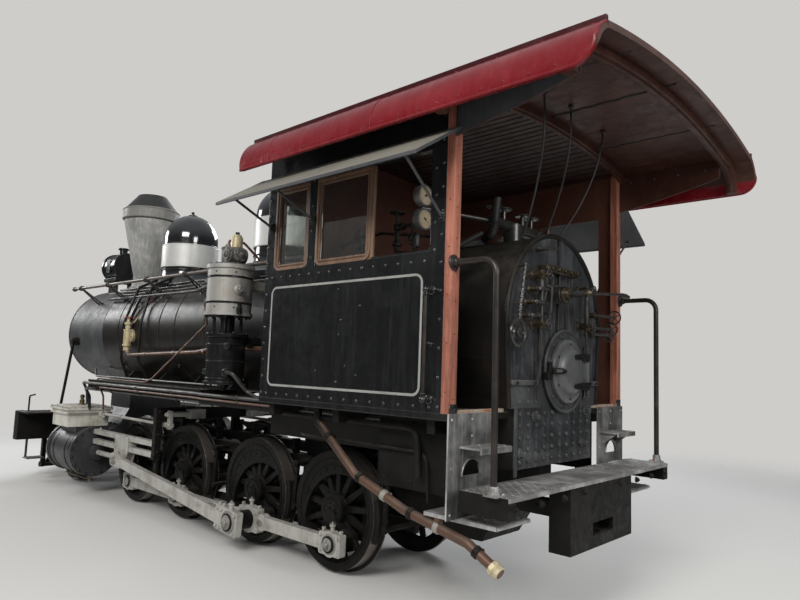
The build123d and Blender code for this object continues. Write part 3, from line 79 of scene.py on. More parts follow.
def at(step, y, height):
    """A point so far ahead of the rear driving axle, to the left, and above the rail."""
    return Vector((REAR_AXLE_X + step, y, RAIL_Z + height))


ORIGIN = at(0, 0, 0)


def mirrored(side):
    """A function that sets points on this side, from their distance to the middle."""
    return lambda step, y, height: at(step, side * y, height)


def rim(centre, u, v, radius, angle):
    """The point on a circle at this angle in degrees, from u towards v."""
    return centre + (u * cos(radians(angle)) + v * sin(radians(angle))) * radius


def circle(centre, u, v, radius, pitch):
    """Points all round a circle, this many degrees apart."""
    return [rim(centre, u, v, radius, a) for a in range(0, 360, pitch)]


def level(angle):
    """The level direction at this angle in degrees, from ahead towards the left."""
    return Vector((cos(radians(angle)), sin(radians(angle)), 0))


def mm(*lengths):
    """The (radius, distance) pairs of a turned shape, given in millimetres."""
    return [(radius / 1000, distance / 1000) for radius, distance in zip(lengths[::2], lengths[1::2])]


# ---------------------------------------------------------------- settings


class LocomotiveSizes(bpy.types.PropertyGroup):
    """Sizes of the small fittings."""

    rivet_radius: bpy.props.FloatProperty(name="Rivet radius", description="Radius of a rivet head on the cab plates",
                                          default=0.011, unit="LENGTH")
    lining_width: bpy.props.FloatProperty(name="Lining width",
                                          description="Width of the pale line painted on the cab side", default=0.017,
                                          unit="LENGTH")
    pipe_radius: bpy.props.FloatProperty(
        name="Pipe radius", description="Radius of the pipes along the running boards", default=0.014, unit="LENGTH")
    edge_width: bpy.props.FloatProperty(name="Edge width",
                                        description="How far the worn, rounded look reaches in from an edge",
                                        default=0.006, unit="LENGTH")


def colour(label, text, value):
    """A colour setting."""
    return bpy.props.FloatVectorProperty(name=label, description=text, default=value, size=3, min=0, max=1,
                                         subtype="COLOR")


class LocomotiveColours(bpy.types.PropertyGroup):
    """Colours of the finishes."""

    black: colour("Black paint", "Gloss black of the cab, domes and jacket", (0.0065, 0.0067, 0.007))
    frame: colour("Frame black", "Oily black of the frame and running gear", (0.0065, 0.0062, 0.0058))
    graphite: colour("Graphite", "Dark grey of the smokebox", (0.035, 0.036, 0.038))
    stack: colour("Stack grey", "Streaked grey of the smokestack", (0.19, 0.19, 0.18))
    rods: colour("Rod grey", "Pale grey paint of the rods", (0.34, 0.332, 0.305))
    silver: colour("Silver paint", "Silver paint of the steam chests and the pump", (0.29, 0.288, 0.272))
    brass: colour("Brass", "Brass and bronze of small fittings", (0.2, 0.145, 0.075))
    copper: colour("Brown pipe", "Copper brown of the pipes", (0.095, 0.047, 0.028))
    crimson: colour("Roof red", "Crimson of the roof's rolled edges", (0.125, 0.0055, 0.0085))
    ceiling: colour("Ceiling brown", "Red brown under the roof", (0.036, 0.0125, 0.0085))
    awning: colour("Awning grey", "Beige grey of the awning plates", (0.165, 0.155, 0.128))
    post: colour("Post brown", "Terracotta brown of the rear posts", (0.36, 0.135, 0.088))
    tan: colour("Window tan", "Varnished wood of the window frames", (0.14, 0.078, 0.044))
    lining: colour("Lining", "Pale grey of the line on the cab side", (0.25, 0.247, 0.232))
    steel: colour("Bare steel", "Dull worn steel of decks and handles", (0.22, 0.21, 0.2))
    rust: colour("Rust", "Rust that shows through the paint", (0.17, 0.055, 0.022))
    dust: colour("Dust", "Dust that lies on faces that look up", (0.2, 0.18, 0.15))


# ---------------------------------------------------------------- shader groups


class Nodes:
    """Short ways to place and join nodes in one tree."""

    def __init__(self, tree):
        self.tree = tree

    def put(self, kind, inputs=None, **settings):
        node = self.tree.nodes.new(kind)
        for key, value in settings.items():
            setattr(node, key, value)
        for key, value in (inputs or {}).items():
            self.feed(node.inputs[key], value)
        return node

    def feed(self, socket, value):
        if isinstance(value, bpy.types.NodeSocket):
            self.tree.links.new(value, socket)
        else:
            socket.default_value = value

    def maths(self, operation, a, b=0.0, clamp=False):
        return self.put("ShaderNodeMath", {0: a, 1: b}, operation=operation, use_clamp=clamp).outputs[0]

    def blend(self, share, a, b):
        node = self.put("ShaderNodeMix", data_type="RGBA")
        for index, value in ((0, share), (6, a), (7, b)):
            self.feed(node.inputs[index], value)
        return node.outputs[2]

    def spread(self, value, low, high, new_low=0.0, new_high=1.0):
        node = self.put("ShaderNodeMapRange", {0: value, 1: low, 2: high, 3: new_low, 4: new_high},
                        interpolation_type="SMOOTHSTEP")
        return node.outputs[0]

    def noise(self, scale, detail=4.0, rough=0.6, stretch=None, where=None):
        if where is None:
            where = self.put("ShaderNodeTexCoord").outputs["Object"]
        if stretch is not None:
            where = self.put("ShaderNodeMapping", {0: where, 3: stretch}).outputs[0]
        node = self.put("ShaderNodeTexNoise", {"Vector": where, "Scale": scale, "Detail": detail, "Roughness": rough})
        return node.outputs[0]


def new_group(name, inputs, outputs):
    """An empty shader node group with named sockets."""
    tree = bpy.data.node_groups.new(name, "ShaderNodeTree")
    kinds = {"c": "NodeSocketColor", "f": "NodeSocketFloat", "v": "NodeSocketVector"}
    for label, kind, default in inputs:
        socket = tree.interface.new_socket(name=label, in_out="INPUT", socket_type=kinds[kind])
        if default is not None:
            socket.default_value = default
    for label, kind in outputs:
        tree.interface.new_socket(name=label, in_out="OUTPUT", socket_type=kinds[kind])
    nodes = Nodes(tree)
    return tree, nodes, nodes.put("NodeGroupInput").outputs, nodes.put("NodeGroupOutput").inputs


def patina_group():
    """Cloudy fading and rain streaks over a paint."""
    tree, n, given, out = new_group("Patina", (("Colour", "c", (0, 0, 0, 1)), ("Faded", "c", (0.1, 0.1, 0.1, 1)),
                                               ("Amount", "f", 0.5), ("Streaks", "f", 0.5), ("Scale", "f", 3.0)),
                                    (("Colour", "c"), ("Mask", "f")))
    clouds = n.spread(n.noise(given["Scale"], 6.0, 0.65), 0.42, 0.72)
    streaks = n.spread(n.noise(1.0, 5.0, 0.7, stretch=(26, 26, 1.6)), 0.46, 0.74)
    mask = n.maths("MULTIPLY", clouds, given["Amount"])
    mask = n.maths("ADD", mask, n.maths("MULTIPLY", streaks, given["Streaks"]), clamp=True)
    n.feed(out["Colour"], n.blend(mask, given["Colour"], given["Faded"]))
    n.feed(out["Mask"], mask)
    return tree


def edge_group():
    """Rounded edges and the chips in the paint along them."""
    tree, n, given, out = new_group("Worn edges", (("Width", "f", 0.006), ("Amount", "f", 0.5), ("Scale", "f", 40.0)),
                                    (("Mask", "f"), ("Normal", "v")))
    rounded = n.put("ShaderNodeBevel", {"Radius": given["Width"]}, samples=4).outputs[0]
    plain = n.put("ShaderNodeNewGeometry").outputs["Normal"]
    turn = n.put("ShaderNodeVectorMath", {0: rounded, 1: plain}, operation="DOT_PRODUCT").outputs["Value"]
    near = n.spread(n.maths("SUBTRACT", 1.0, turn), 0.04, 0.22)
    chips = n.spread(n.noise(given["Scale"], 5.0, 0.7), 0.46, 0.62)
    n.feed(out["Mask"], n.maths("MULTIPLY", n.maths("MULTIPLY", near, chips), given["Amount"], clamp=True))
    n.feed(out["Normal"], rounded)
    return tree


def rust_group():
    """Patches and specks where rust has come through."""
    tree, n, given, out = new_group("Rust", (("Amount", "f", 0.3), ("Scale", "f", 5.0)),
                                    (("Mask", "f"), ("Height", "f")))
    edge = n.maths("SUBTRACT", 0.78, n.maths("MULTIPLY", given["Amount"], 0.36))
    patches = n.noise(given["Scale"], 8.0, 0.75)
    mask = n.spread(patches, edge, n.maths("ADD", edge, 0.07))
    specks = n.spread(n.noise(n.maths("MULTIPLY", given["Scale"], 14.0), 3.0, 0.6), 0.68, 0.74)
    specks = n.maths("MULTIPLY", specks, given["Amount"], clamp=True)
    n.feed(out["Mask"], n.maths("MAXIMUM", mask, specks))
    n.feed(out["Height"], n.noise(160.0, 4.0, 0.7))
    return tree


def dust_group():
    """Dust on faces that look up, thicker in hollows of a slow noise."""
    tree, n, given, out = new_group("Dust", (("Amount", "f", 0.4), ("Scale", "f", 6.0)), (("Mask", "f"),))
    normal = n.put("ShaderNodeTexCoord").outputs["Normal"]
    up = n.put("ShaderNodeSeparateXYZ", {0: normal}).outputs[2]
    facing = n.spread(up, 0.15, 0.95)
    cover = n.spread(n.noise(given["Scale"], 5.0, 0.6), 0.3, 0.72)
    n.feed(out["Mask"], n.maths("MULTIPLY", n.maths("MULTIPLY", facing, cover), given["Amount"], clamp=True))
    return tree


def casting_group():
    """The fine uneven skin of a casting or a brushed coat."""
    tree, n, given, out = new_group("Cast skin", (("Scale", "f", 90.0), ("Waves", "f", 0.5)),
                                    (("Height", "f"), ("Rough", "f")))
    fine = n.noise(given["Scale"], 3.0, 0.6)
    slow = n.noise(5.0, 2.0, 0.5)
    n.feed(out["Height"], n.maths("ADD", n.maths("MULTIPLY", fine, 0.35), n.maths("MULTIPLY", slow, given["Waves"])))
    n.feed(out["Rough"], n.spread(n.noise(11.0, 6.0, 0.7), 0.3, 0.7, -0.5, 0.5))
    return tree


def wood_group():
    """Grain that runs along one axis, with darker lines."""
    tree, n, given, out = new_group("Wood grain",
                                    (("Light", "c", (0.4, 0.25, 0.12, 1)), ("Dark", "c", (0.2, 0.1, 0.04, 1)),
                                     ("Stretch", "v", (30, 30, 2)), ("Weathering", "f", 0.3)),
                                    (("Colour", "c"), ("Height", "f")))
    where = n.put("ShaderNodeTexCoord").outputs["Object"]
    drawn = n.put("ShaderNodeVectorMath", {0: where, 1: given["Stretch"]}, operation="MULTIPLY").outputs[0]
    grain = n.noise(1.0, 8.0, 0.7, where=drawn)
    lines = n.spread(grain, 0.42, 0.6)
    soil = n.spread(n.noise(7.0, 5.0, 0.7), 0.45, 0.75)
    dark = n.maths("ADD", lines, n.maths("MULTIPLY", soil, given["Weathering"]), clamp=True)
    n.feed(out["Colour"], n.blend(dark, given["Light"], given["Dark"]))
    n.feed(out["Height"], grain)
    return tree


def boards_group():
    """Narrow lengthwise boards with a dark joint between them."""
    tree, n, given, out = new_group("Boards", (("Width", "f", 0.075),), (("Joint", "f"), ("Tint", "f")))
    where = n.put("ShaderNodeTexCoord").outputs["Object"]
    across = n.put("ShaderNodeSeparateXYZ", {0: where}).outputs[1]
    count = n.maths("DIVIDE", across, given["Width"])
    share = n.maths("FRACT", count)
    edge = n.maths("ABSOLUTE", n.maths("SUBTRACT", share, 0.5))
    n.feed(out["Joint"], n.spread(edge, 0.43, 0.49))
    board = n.put("ShaderNodeTexWhiteNoise", {"W": n.maths("FLOOR", count)}, noise_dimensions="1D")
    n.feed(out["Tint"], board.outputs[0])
    return tree


def chequer_group():
    """Raised lozenges of a tread plate."""
    tree, n, given, out = new_group("Tread plate", (("Pitch", "f", 0.03),), (("Height", "f"),))
    where = n.put("ShaderNodeTexCoord").outputs["Object"]
    x, y = n.put("ShaderNodeSeparateXYZ", {0: where}).outputs[:2]
    diagonals = n.maths("ADD", x, y), n.maths("SUBTRACT", x, y)
    waves = [n.maths("SINE", n.maths("MULTIPLY", n.maths("DIVIDE", value, given["Pitch"]), pi))
             for value in diagonals]
    bumps = n.maths("MULTIPLY", *waves)
    n.feed(out["Height"], n.spread(n.maths("ABSOLUTE", bumps), 0.35, 0.75))
    return tree


GROUP_MAKERS = {
    "patina": patina_group, "edge": edge_group, "rust": rust_group, "dust": dust_group,
    "casting": casting_group, "wood": wood_group, "boards": boards_group, "chequer": chequer_group,
}
groups = {}
paints = {}


def solid(rgb):
    """The colour with full cover."""
    return (*rgb, 1.0)


class Coat:
    """One material: a Principled shader and the groups that feed it."""

    def __init__(self, name, metallic=0.0, specular=0.5, coat=0.0, coat_roughness=0.1):
        self.material = bpy.data.materials.new(name)
        self.material.use_nodes = True
        self.n = Nodes(self.material.node_tree)
        self.shader = self.material.node_tree.nodes["Principled BSDF"]
        self.shader.inputs["Specular IOR Level"].default_value = specular
        self.shader.inputs["Coat Weight"].default_value = coat
        self.shader.inputs["Coat Roughness"].default_value = coat_roughness
        self.shader.inputs["Metallic"].default_value = metallic
        paints[name] = self.material

    def group(self, key, **inputs):
        node = self.n.put("ShaderNodeGroup", node_tree=groups[key])
        for label, value in inputs.items():
            self.n.feed(node.inputs[label], value)
        return node.outputs

    def finish(self, base, roughness, height=None, bump=0.1, bump_distance=0.002, metallic=None, normal=None):
        n, shader = self.n, self.shader
        n.feed(shader.inputs["Base Color"], base)
        n.feed(shader.inputs["Roughness"], roughness)
        if metallic is not None:
            n.feed(shader.inputs["Metallic"], metallic)
        if height is not None:
            bumped = n.put("ShaderNodeBump", {"Strength": bump, "Distance": bump_distance, "Height": height})
            if normal is not None:
                n.feed(bumped.inputs["Normal"], normal)
            normal = bumped.outputs[0]
        if normal is not None:
            n.feed(shader.inputs["Normal"], normal)
        return self.material


def metal_paint(name, base, faded, worn, amounts, rust_scale=5.0, worn_metal=0.0, rough_spread=0.15, metallic=0.0,
                specular=0.5, coat=0.0, coat_roughness=0.1, waves=0.4, skin=90.0, scale=3.0, edge=None):
    """Paint or bare metal: the amounts are fading, streaks, rust, dust, wear, roughness and bump."""
    fade, streaks, rust, dust, wear, rough, bump = amounts
    sizes, colours = bpy.context.scene.locomotive_sizes, bpy.context.scene.locomotive_colours
    c = Coat(name, metallic, specular, coat, coat_roughness)
    n = c.n
    faded = tuple(0.12 + v * 0.8 for v in base) if faded is None else faded
    worn = tuple(min(1.0, v * 2.2 + 0.05) for v in base) if worn is None else worn
    patina = c.group("patina", Colour=solid(base), Faded=solid(faded), Amount=fade, Streaks=streaks, Scale=scale)
    edges = c.group("edge", Width=sizes.edge_width if edge is None else edge, Amount=wear, Scale=40.0)
    corroded = c.group("rust", Amount=rust, Scale=rust_scale)
    settled = c.group("dust", Amount=dust, Scale=6.0)
    skinned = c.group("casting", Scale=skin, Waves=waves)
    shown = n.blend(corroded["Mask"], patina["Colour"], solid(colours.rust))
    shown = n.blend(edges["Mask"], shown, solid(worn))
    shown = n.blend(settled["Mask"], shown, solid(colours.dust))
    dull = n.maths("ADD", rough, n.maths("MULTIPLY", skinned["Rough"], rough_spread))
    dull = n.maths("ADD", dull, n.maths("MULTIPLY", n.maths("MAXIMUM", corroded["Mask"], settled["Mask"]), 0.35),
                   clamp=True)
    height = n.maths("ADD", skinned["Height"], n.maths("MULTIPLY", corroded["Mask"], corroded["Height"]))
    shiny = None
    if worn_metal or metallic:
        bare = n.maths("MULTIPLY", edges["Mask"], worn_metal)
        shiny = n.maths("MULTIPLY", n.maths("MAXIMUM", bare, metallic),
                        n.maths("SUBTRACT", 1.0, n.maths("MAXIMUM", corroded["Mask"], settled["Mask"])))
    return c.finish(shown, dull, height, bump, 0.002, shiny, edges["Normal"])


def wooden(name, light, dark, stretch, weathering=0.3, rough=0.5, coat=0.0, boards=0.0):
    """Painted or varnished wood, in boards where a width is given."""
    sizes = bpy.context.scene.locomotive_sizes
    c = Coat(name, coat=coat, coat_roughness=0.25)
    n = c.n
    grain = c.group("wood", Light=solid(light), Dark=solid(dark), Stretch=stretch, Weathering=weathering)
    edges = c.group("edge", Width=sizes.edge_width, Amount=0.6, Scale=30.0)
    skinned = c.group("casting", Scale=60.0, Waves=0.2)
    shown, height = grain["Colour"], grain["Height"]
    if boards:
        laid = c.group("boards", Width=boards)
        shown = n.blend(n.maths("MULTIPLY", laid["Tint"], 0.35), shown, solid(tuple(v * 0.55 for v in dark)))
        shown = n.blend(laid["Joint"], shown, solid(tuple(v * 0.15 for v in dark)))
        height = n.maths("SUBTRACT", n.maths("MULTIPLY", height, 0.2), n.maths("MULTIPLY", laid["Joint"], 2.5))
    shown = n.blend(edges["Mask"], shown, solid(tuple(min(1.0, v * 1.5 + 0.04) for v in light)))
    dull = n.maths("ADD", rough, n.maths("MULTIPLY", skinned["Rough"], 0.2), clamp=True)
    return c.finish(shown, dull, height, 0.35, 0.003, None, edges["Normal"])


def make_paints():
    """Builds the shader groups and every finish."""
    groups.update({key: maker() for key, maker in GROUP_MAKERS.items()})
    k = bpy.context.scene.locomotive_colours
    black, dark = tuple(k.black), tuple(k.frame)
    # Each has its colour, its faded and its worn colour, then the seven amounts that metal_paint lists
    metal_paint("black_paint", black, (0.017, 0.0175, 0.018), (0.09, 0.088, 0.085),
                (0.5, 0.7, 0.05, 0.2, 0.35, 0.2, 0.1), rough_spread=0.12, waves=0.25)
    metal_paint("jacket_black", (0.01, 0.0095, 0.009), (0.024, 0.019, 0.015), (0.12, 0.1, 0.08),
                (0.6, 0.2, 0.05, 0.22, 0.3, 0.34, 0.06), rough_spread=0.1, specular=0.16, waves=0.04)
    metal_paint("frame_black", dark, (0.014, 0.0128, 0.0115), (0.075, 0.066, 0.057),
                (0.7, 0.3, 0.08, 0.16, 0.4, 0.5, 0.35), rough_spread=0.3, waves=0.2, specular=0.12)
    metal_paint("wheel_black", (0.006, 0.0058, 0.0055), (0.013, 0.012, 0.0105), (0.06, 0.055, 0.048),
                (0.6, 0.2, 0.06, 0.1, 0.55, 0.32, 0.2), rough_spread=0.25, waves=0.2, specular=0.1)
    metal_paint("graphite", tuple(k.graphite), (0.085, 0.089, 0.09), (0.15, 0.15, 0.15),
                (0.8, 0.25, 0.07, 0.25, 0.4, 0.5, 0.14), rough_spread=0.12, waves=0.15, metallic=0.15, specular=0.3)
    metal_paint("stack_grey", tuple(k.stack), (0.36, 0.355, 0.335), (0.42, 0.41, 0.39),
                (0.7, 0.85, 0.1, 0.2, 0.35, 0.55, 0.3), rough_spread=0.25, waves=0.3, scale=4.0)
    metal_paint("stack_band", (0.15, 0.145, 0.132), (0.27, 0.26, 0.235), None, (0.6, 0.4, 0.3, 0.2, 0.3, 0.55, 0.3),
                rust_scale=9.0)
    metal_paint("stack_cap", (0.017, 0.017, 0.017), (0.034, 0.033, 0.032), (0.2, 0.19, 0.18),
                (0.7, 0.4, 0.12, 0.06, 0.4, 0.6, 0.3))
    metal_paint("rod_grey", tuple(k.rods), (0.155, 0.142, 0.118), (0.5, 0.49, 0.46),
                (0.75, 0.5, 0.14, 0.2, 0.95, 0.42, 0.3), rust_scale=7.0, rough_spread=0.3, waves=0.3, scale=7.0)
    metal_paint("silver_paint", tuple(k.silver), (0.24, 0.215, 0.17), (0.13, 0.11, 0.09),
                (0.7, 0.5, 0.12, 0.5, 0.7, 0.48, 0.3), rust_scale=7.0, rough_spread=0.2, metallic=0.35, scale=6.0)
    metal_paint("chest_beige", (0.56, 0.545, 0.49), (0.34, 0.31, 0.25), (0.13, 0.11, 0.09),
                (0.7, 0.6, 0.12, 0.12, 0.7, 0.48, 0.3), rust_scale=7.0, rough_spread=0.2, metallic=0.1, scale=6.0)
    metal_paint("backhead_black", (0.016, 0.0165, 0.0175), (0.075, 0.077, 0.08), (0.26, 0.255, 0.245),
                (0.75, 0.7, 0.05, 0.2, 0.7, 0.17, 0.35), rough_spread=0.2, specular=0.95, waves=16.0, scale=2.2)
    metal_paint("dome_black", (0.006, 0.0062, 0.0066), (0.012, 0.012, 0.0125), (0.09, 0.088, 0.085),
                (0.4, 0.2, 0.02, 0.12, 0.3, 0.13, 0.06), rough_spread=0.08, specular=0.8, coat=0.6,
                coat_roughness=0.05, waves=0.3)
    metal_paint("cylinder_grey", (0.024, 0.0245, 0.026), (0.055, 0.055, 0.056), (0.15, 0.15, 0.145),
                (0.6, 0.3, 0.05, 0.15, 0.5, 0.4, 0.12), specular=0.4, waves=0.15)
    metal_paint("door_grey", (0.055, 0.056, 0.058), (0.115, 0.115, 0.116), (0.25, 0.25, 0.24),
                (0.7, 0.3, 0.04, 0.15, 0.6, 0.34, 0.15), specular=0.6, waves=0.3)
    metal_paint("oily_bronze", (0.05, 0.038, 0.023), (0.028, 0.024, 0.018), (0.3, 0.24, 0.14),
                (0.8, 0.2, 0.0, 0.2, 0.8, 0.34, 0.2), worn_metal=1.0, metallic=0.6, scale=9.0)
    metal_paint("oily_steel", (0.06, 0.059, 0.056), (0.028, 0.026, 0.024), (0.42, 0.41, 0.39),
                (0.8, 0.2, 0.06, 0.2, 0.8, 0.3, 0.2), worn_metal=1.0, metallic=0.6, scale=9.0)
    # The steps' rear faces: their dark base colour is painted shade, and the pale patches are wear
    metal_paint("step_plate_shade_and_wear", (0.04, 0.04, 0.04), (0.23, 0.228, 0.222), (0.34, 0.33, 0.32),
                (1.0, 0.5, 0.15, 0.1, 0.7, 0.42, 0.3), metallic=0.2, scale=2.6)
    metal_paint("dome_band", (0.52, 0.52, 0.5), (0.4, 0.39, 0.37), (0.2, 0.2, 0.19),
                (0.6, 0.4, 0.05, 0.3, 0.3, 0.4, 0.15), metallic=0.2)
    metal_paint("brass", tuple(k.brass), (0.065, 0.05, 0.032), (0.36, 0.27, 0.13),
                (0.9, 0.2, 0.0, 0.3, 0.7, 0.4, 0.15), worn_metal=1.0, metallic=0.8, scale=9.0)
    metal_paint("cream_brass", (0.5, 0.43, 0.28), (0.34, 0.26, 0.14), (0.6, 0.45, 0.2),
                (0.7, 0.3, 0.05, 0.3, 0.6, 0.42, 0.2), metallic=0.3, scale=9.0)
    metal_paint("brown_pipe", tuple(k.copper), (0.075, 0.045, 0.032), (0.26, 0.14, 0.085),
                (0.85, 0.2, 0.12, 0.3, 0.4, 0.42, 0.2), worn_metal=0.6, metallic=0.3, scale=8.0)
    metal_paint("rail_brown", (0.06, 0.047, 0.038), (0.115, 0.09, 0.07), (0.17, 0.13, 0.1),
                (0.8, 0.2, 0.1, 0.25, 0.5, 0.4, 0.2), metallic=0.2, scale=8.0)
    metal_paint("grab_brown", (0.012, 0.01, 0.009), (0.036, 0.027, 0.023), (0.13, 0.098, 0.078),
                (0.8, 0.3, 0.14, 0.12, 0.6, 0.36, 0.25), metallic=0.1, specular=0.35, scale=8.0)
    metal_paint("roof_red", tuple(k.crimson), (0.19, 0.017, 0.022), (0.36, 0.1, 0.09),
                (0.5, 0.35, 0.03, 0.12, 0.8, 0.26, 0.12), rough_spread=0.2, waves=1.0, specular=0.32)
    metal_paint("roof_maroon", (0.03, 0.003, 0.0042), (0.05, 0.0065, 0.008), (0.2, 0.05, 0.045),
                (0.5, 0.3, 0.05, 0.0, 0.6, 0.32, 0.15), specular=0.25)
    metal_paint("roof_top", (0.06, 0.05, 0.046), (0.13, 0.11, 0.1), None, (0.8, 0.2, 0.2, 0.7, 0.3, 0.7, 0.3))
    metal_paint("ceiling_plate", tuple(k.ceiling), (0.07, 0.03, 0.02), (0.14, 0.075, 0.05),
                (0.9, 0.25, 0.14, 0.0, 0.4, 0.42, 0.3), rust_scale=7.0, rough_spread=0.25, waves=0.5, specular=0.25)
    metal_paint("roof_edge", (0.06, 0.028, 0.021), (0.12, 0.062, 0.046), (0.36, 0.24, 0.18),
                (0.7, 0.3, 0.1, 0.15, 1.0, 0.45, 0.3))
    metal_paint("inside_brown", (0.08, 0.027, 0.016), (0.12, 0.047, 0.029), (0.3, 0.15, 0.09),
                (0.6, 0.4, 0.1, 0.1, 0.4, 0.5, 0.25))
    metal_paint("awning_grey", tuple(k.awning), (0.115, 0.105, 0.085), (0.3, 0.285, 0.25),
                (0.8, 0.5, 0.12, 0.12, 0.5, 0.6, 0.25))
    # Dark grey of the roof ribs' outer faces; on the awnings' under faces and rolled edges it is painted shade
    metal_paint("eave_grey_and_awning_shade", (0.035, 0.036, 0.04), (0.075, 0.075, 0.08), (0.15, 0.15, 0.15),
                (0.7, 0.3, 0.04, 0.2, 0.5, 0.5, 0.2))
    metal_paint("deck_steel", (0.2, 0.195, 0.19), (0.52, 0.51, 0.5), (0.36, 0.34, 0.33),
                (1.0, 0.0, 0.42, 0.1, 0.7, 0.42, 0.4), rust_scale=2.6, worn_metal=0.7, rough_spread=0.3, metallic=0.5,
                scale=4.0)
    metal_paint("bright_steel", tuple(k.steel), (0.12, 0.11, 0.1), (0.5, 0.49, 0.47),
                (0.6, 0.2, 0.12, 0.2, 0.6, 0.32, 0.2), worn_metal=1.0, metallic=0.85, scale=8.0)
    metal_paint("tyre_steel", (0.2, 0.185, 0.17), (0.13, 0.085, 0.06), None, (0.8, 0.0, 0.25, 0.2, 0.3, 0.34, 0.2),
                metallic=0.8, scale=6.0)
    metal_paint("lining_paint", tuple(k.lining), (0.16, 0.157, 0.147), (0.1, 0.1, 0.1),
                (0.7, 0.4, 0.08, 0.1, 0.2, 0.5, 0.1), scale=9.0)
    metal_paint("dial_cream", (0.4, 0.33, 0.22), (0.28, 0.21, 0.12), None, (0.5, 0.0, 0.0, 0.0, 0.0, 0.35, 0.03),
                coat=0.4)
    metal_paint("dial_black", (0.012, 0.012, 0.012), None, None, (0.0, 0.0, 0.0, 0.0, 0.0, 0.4, 0.03))
    metal_paint("rubber_black", (0.01, 0.01, 0.01), (0.03, 0.03, 0.03), None, (0.5, 0.0, 0.0, 0.3, 0.2, 0.5, 0.2))
    metal_paint("valve_red", (0.3, 0.03, 0.02), (0.2, 0.05, 0.035), (0.12, 0.09, 0.07),
                (0.6, 0.1, 0.05, 0.3, 0.6, 0.4, 0.2))
    metal_paint("rivet_black", (0.014, 0.014, 0.0145), (0.06, 0.06, 0.059), (0.28, 0.28, 0.27),
                (0.7, 0.1, 0.05, 0.25, 0.5, 0.2, 0.05), rough_spread=0.1, specular=0.6)
    metal_paint("pipe_black", (0.013, 0.0125, 0.012), (0.04, 0.035, 0.03), (0.14, 0.11, 0.09),
                (0.7, 0.1, 0.12, 0.25, 0.4, 0.38, 0.15), scale=8.0)
    metal_paint("pump_head", (0.1, 0.098, 0.092), (0.19, 0.18, 0.165), (0.04, 0.038, 0.035),
                (0.7, 0.3, 0.08, 0.35, 0.6, 0.45, 0.3), metallic=0.3, scale=8.0)
    metal_paint("rod_end_grey", (0.26, 0.252, 0.235), (0.12, 0.11, 0.094), (0.32, 0.31, 0.29),
                (0.8, 0.2, 0.18, 0.3, 0.7, 0.42, 0.25), rust_scale=9.0, worn_metal=0.6, metallic=0.4, scale=9.0)
    metal_paint("post_rivet", (0.11, 0.034, 0.018), (0.06, 0.024, 0.014), None, (0.6, 0.0, 0.1, 0.1, 0.3, 0.45, 0.1))
    metal_paint("rusty_sill", (0.26, 0.22, 0.17), (0.33, 0.15, 0.06), (0.12, 0.1, 0.08),
                (0.9, 0.0, 0.75, 0.2, 0.5, 0.7, 0.6), rust_scale=12.0, scale=14.0)
    metal_paint("lozenge_steel", (0.17, 0.16, 0.15), (0.26, 0.25, 0.235), (0.42, 0.41, 0.39),
                (0.8, 0.0, 0.25, 0.15, 0.6, 0.36, 0.15), rust_scale=3.2, worn_metal=0.8, metallic=0.6, scale=5.0,
                edge=0.002)
    metal_paint("seat_leather", (0.016, 0.014, 0.013), (0.045, 0.038, 0.033), (0.08, 0.07, 0.06),
                (0.7, 0.0, 0.0, 0.2, 0.3, 0.42, 0.5), rough_spread=0.2, skin=320.0, waves=0.15)
    metal_paint("seat_black", (0.014, 0.013, 0.013), (0.04, 0.036, 0.033), (0.07, 0.06, 0.055),
                (0.6, 0.0, 0.0, 0.35, 0.4, 0.46, 0.3), rough_spread=0.2, skin=220.0, waves=0.3)
    wooden("post_wood", tuple(k.post), (0.2, 0.07, 0.045), (20, 20, 1.6), 0.4, 0.45)
    wooden("sash_wood", tuple(k.tan), (0.095, 0.052, 0.03), (24, 24, 2.0), 0.3, 0.45, coat=0.2)
    wooden("ceiling_boards", tuple(k.ceiling), (0.019, 0.007, 0.005), (2.2, 26, 26), 0.5, 0.46, boards=0.082)
    tread = Coat("tread_plate", metallic=0.5)
    patina = tread.group("patina", Colour=(0.18, 0.175, 0.17, 1), Faded=(0.5, 0.49, 0.48, 1), Amount=1.0, Streaks=0.0,
                         Scale=5.0)
    corroded = tread.group("rust", Amount=0.42, Scale=3.2)
    lozenges = tread.group("chequer", Pitch=0.03)
    shown = tread.n.blend(corroded["Mask"], patina["Colour"], solid(k.rust))
    shown = tread.n.blend(tread.n.maths("MULTIPLY", lozenges["Height"], 0.45), shown, (0.34, 0.32, 0.3, 1))
    tread.finish(shown, tread.n.maths("SUBTRACT", 0.55, tread.n.maths("MULTIPLY", lozenges["Height"], 0.2)),
                 lozenges["Height"], 0.8, 0.003)
    glass = Coat("glass")
    glass.shader.inputs["Transmission Weight"].default_value = 1.0
    glass.shader.inputs["IOR"].default_value = 1.45
    film = glass.group("patina", Colour=(0.86, 0.9, 0.88, 1), Faded=(0.55, 0.56, 0.52, 1), Amount=0.5, Streaks=0.3,
                       Scale=5.0)
    glass.finish(film["Colour"], glass.n.spread(film["Mask"], 0.0, 1.0, 0.03, 0.22))


# ---------------------------------------------------------------- mesh building


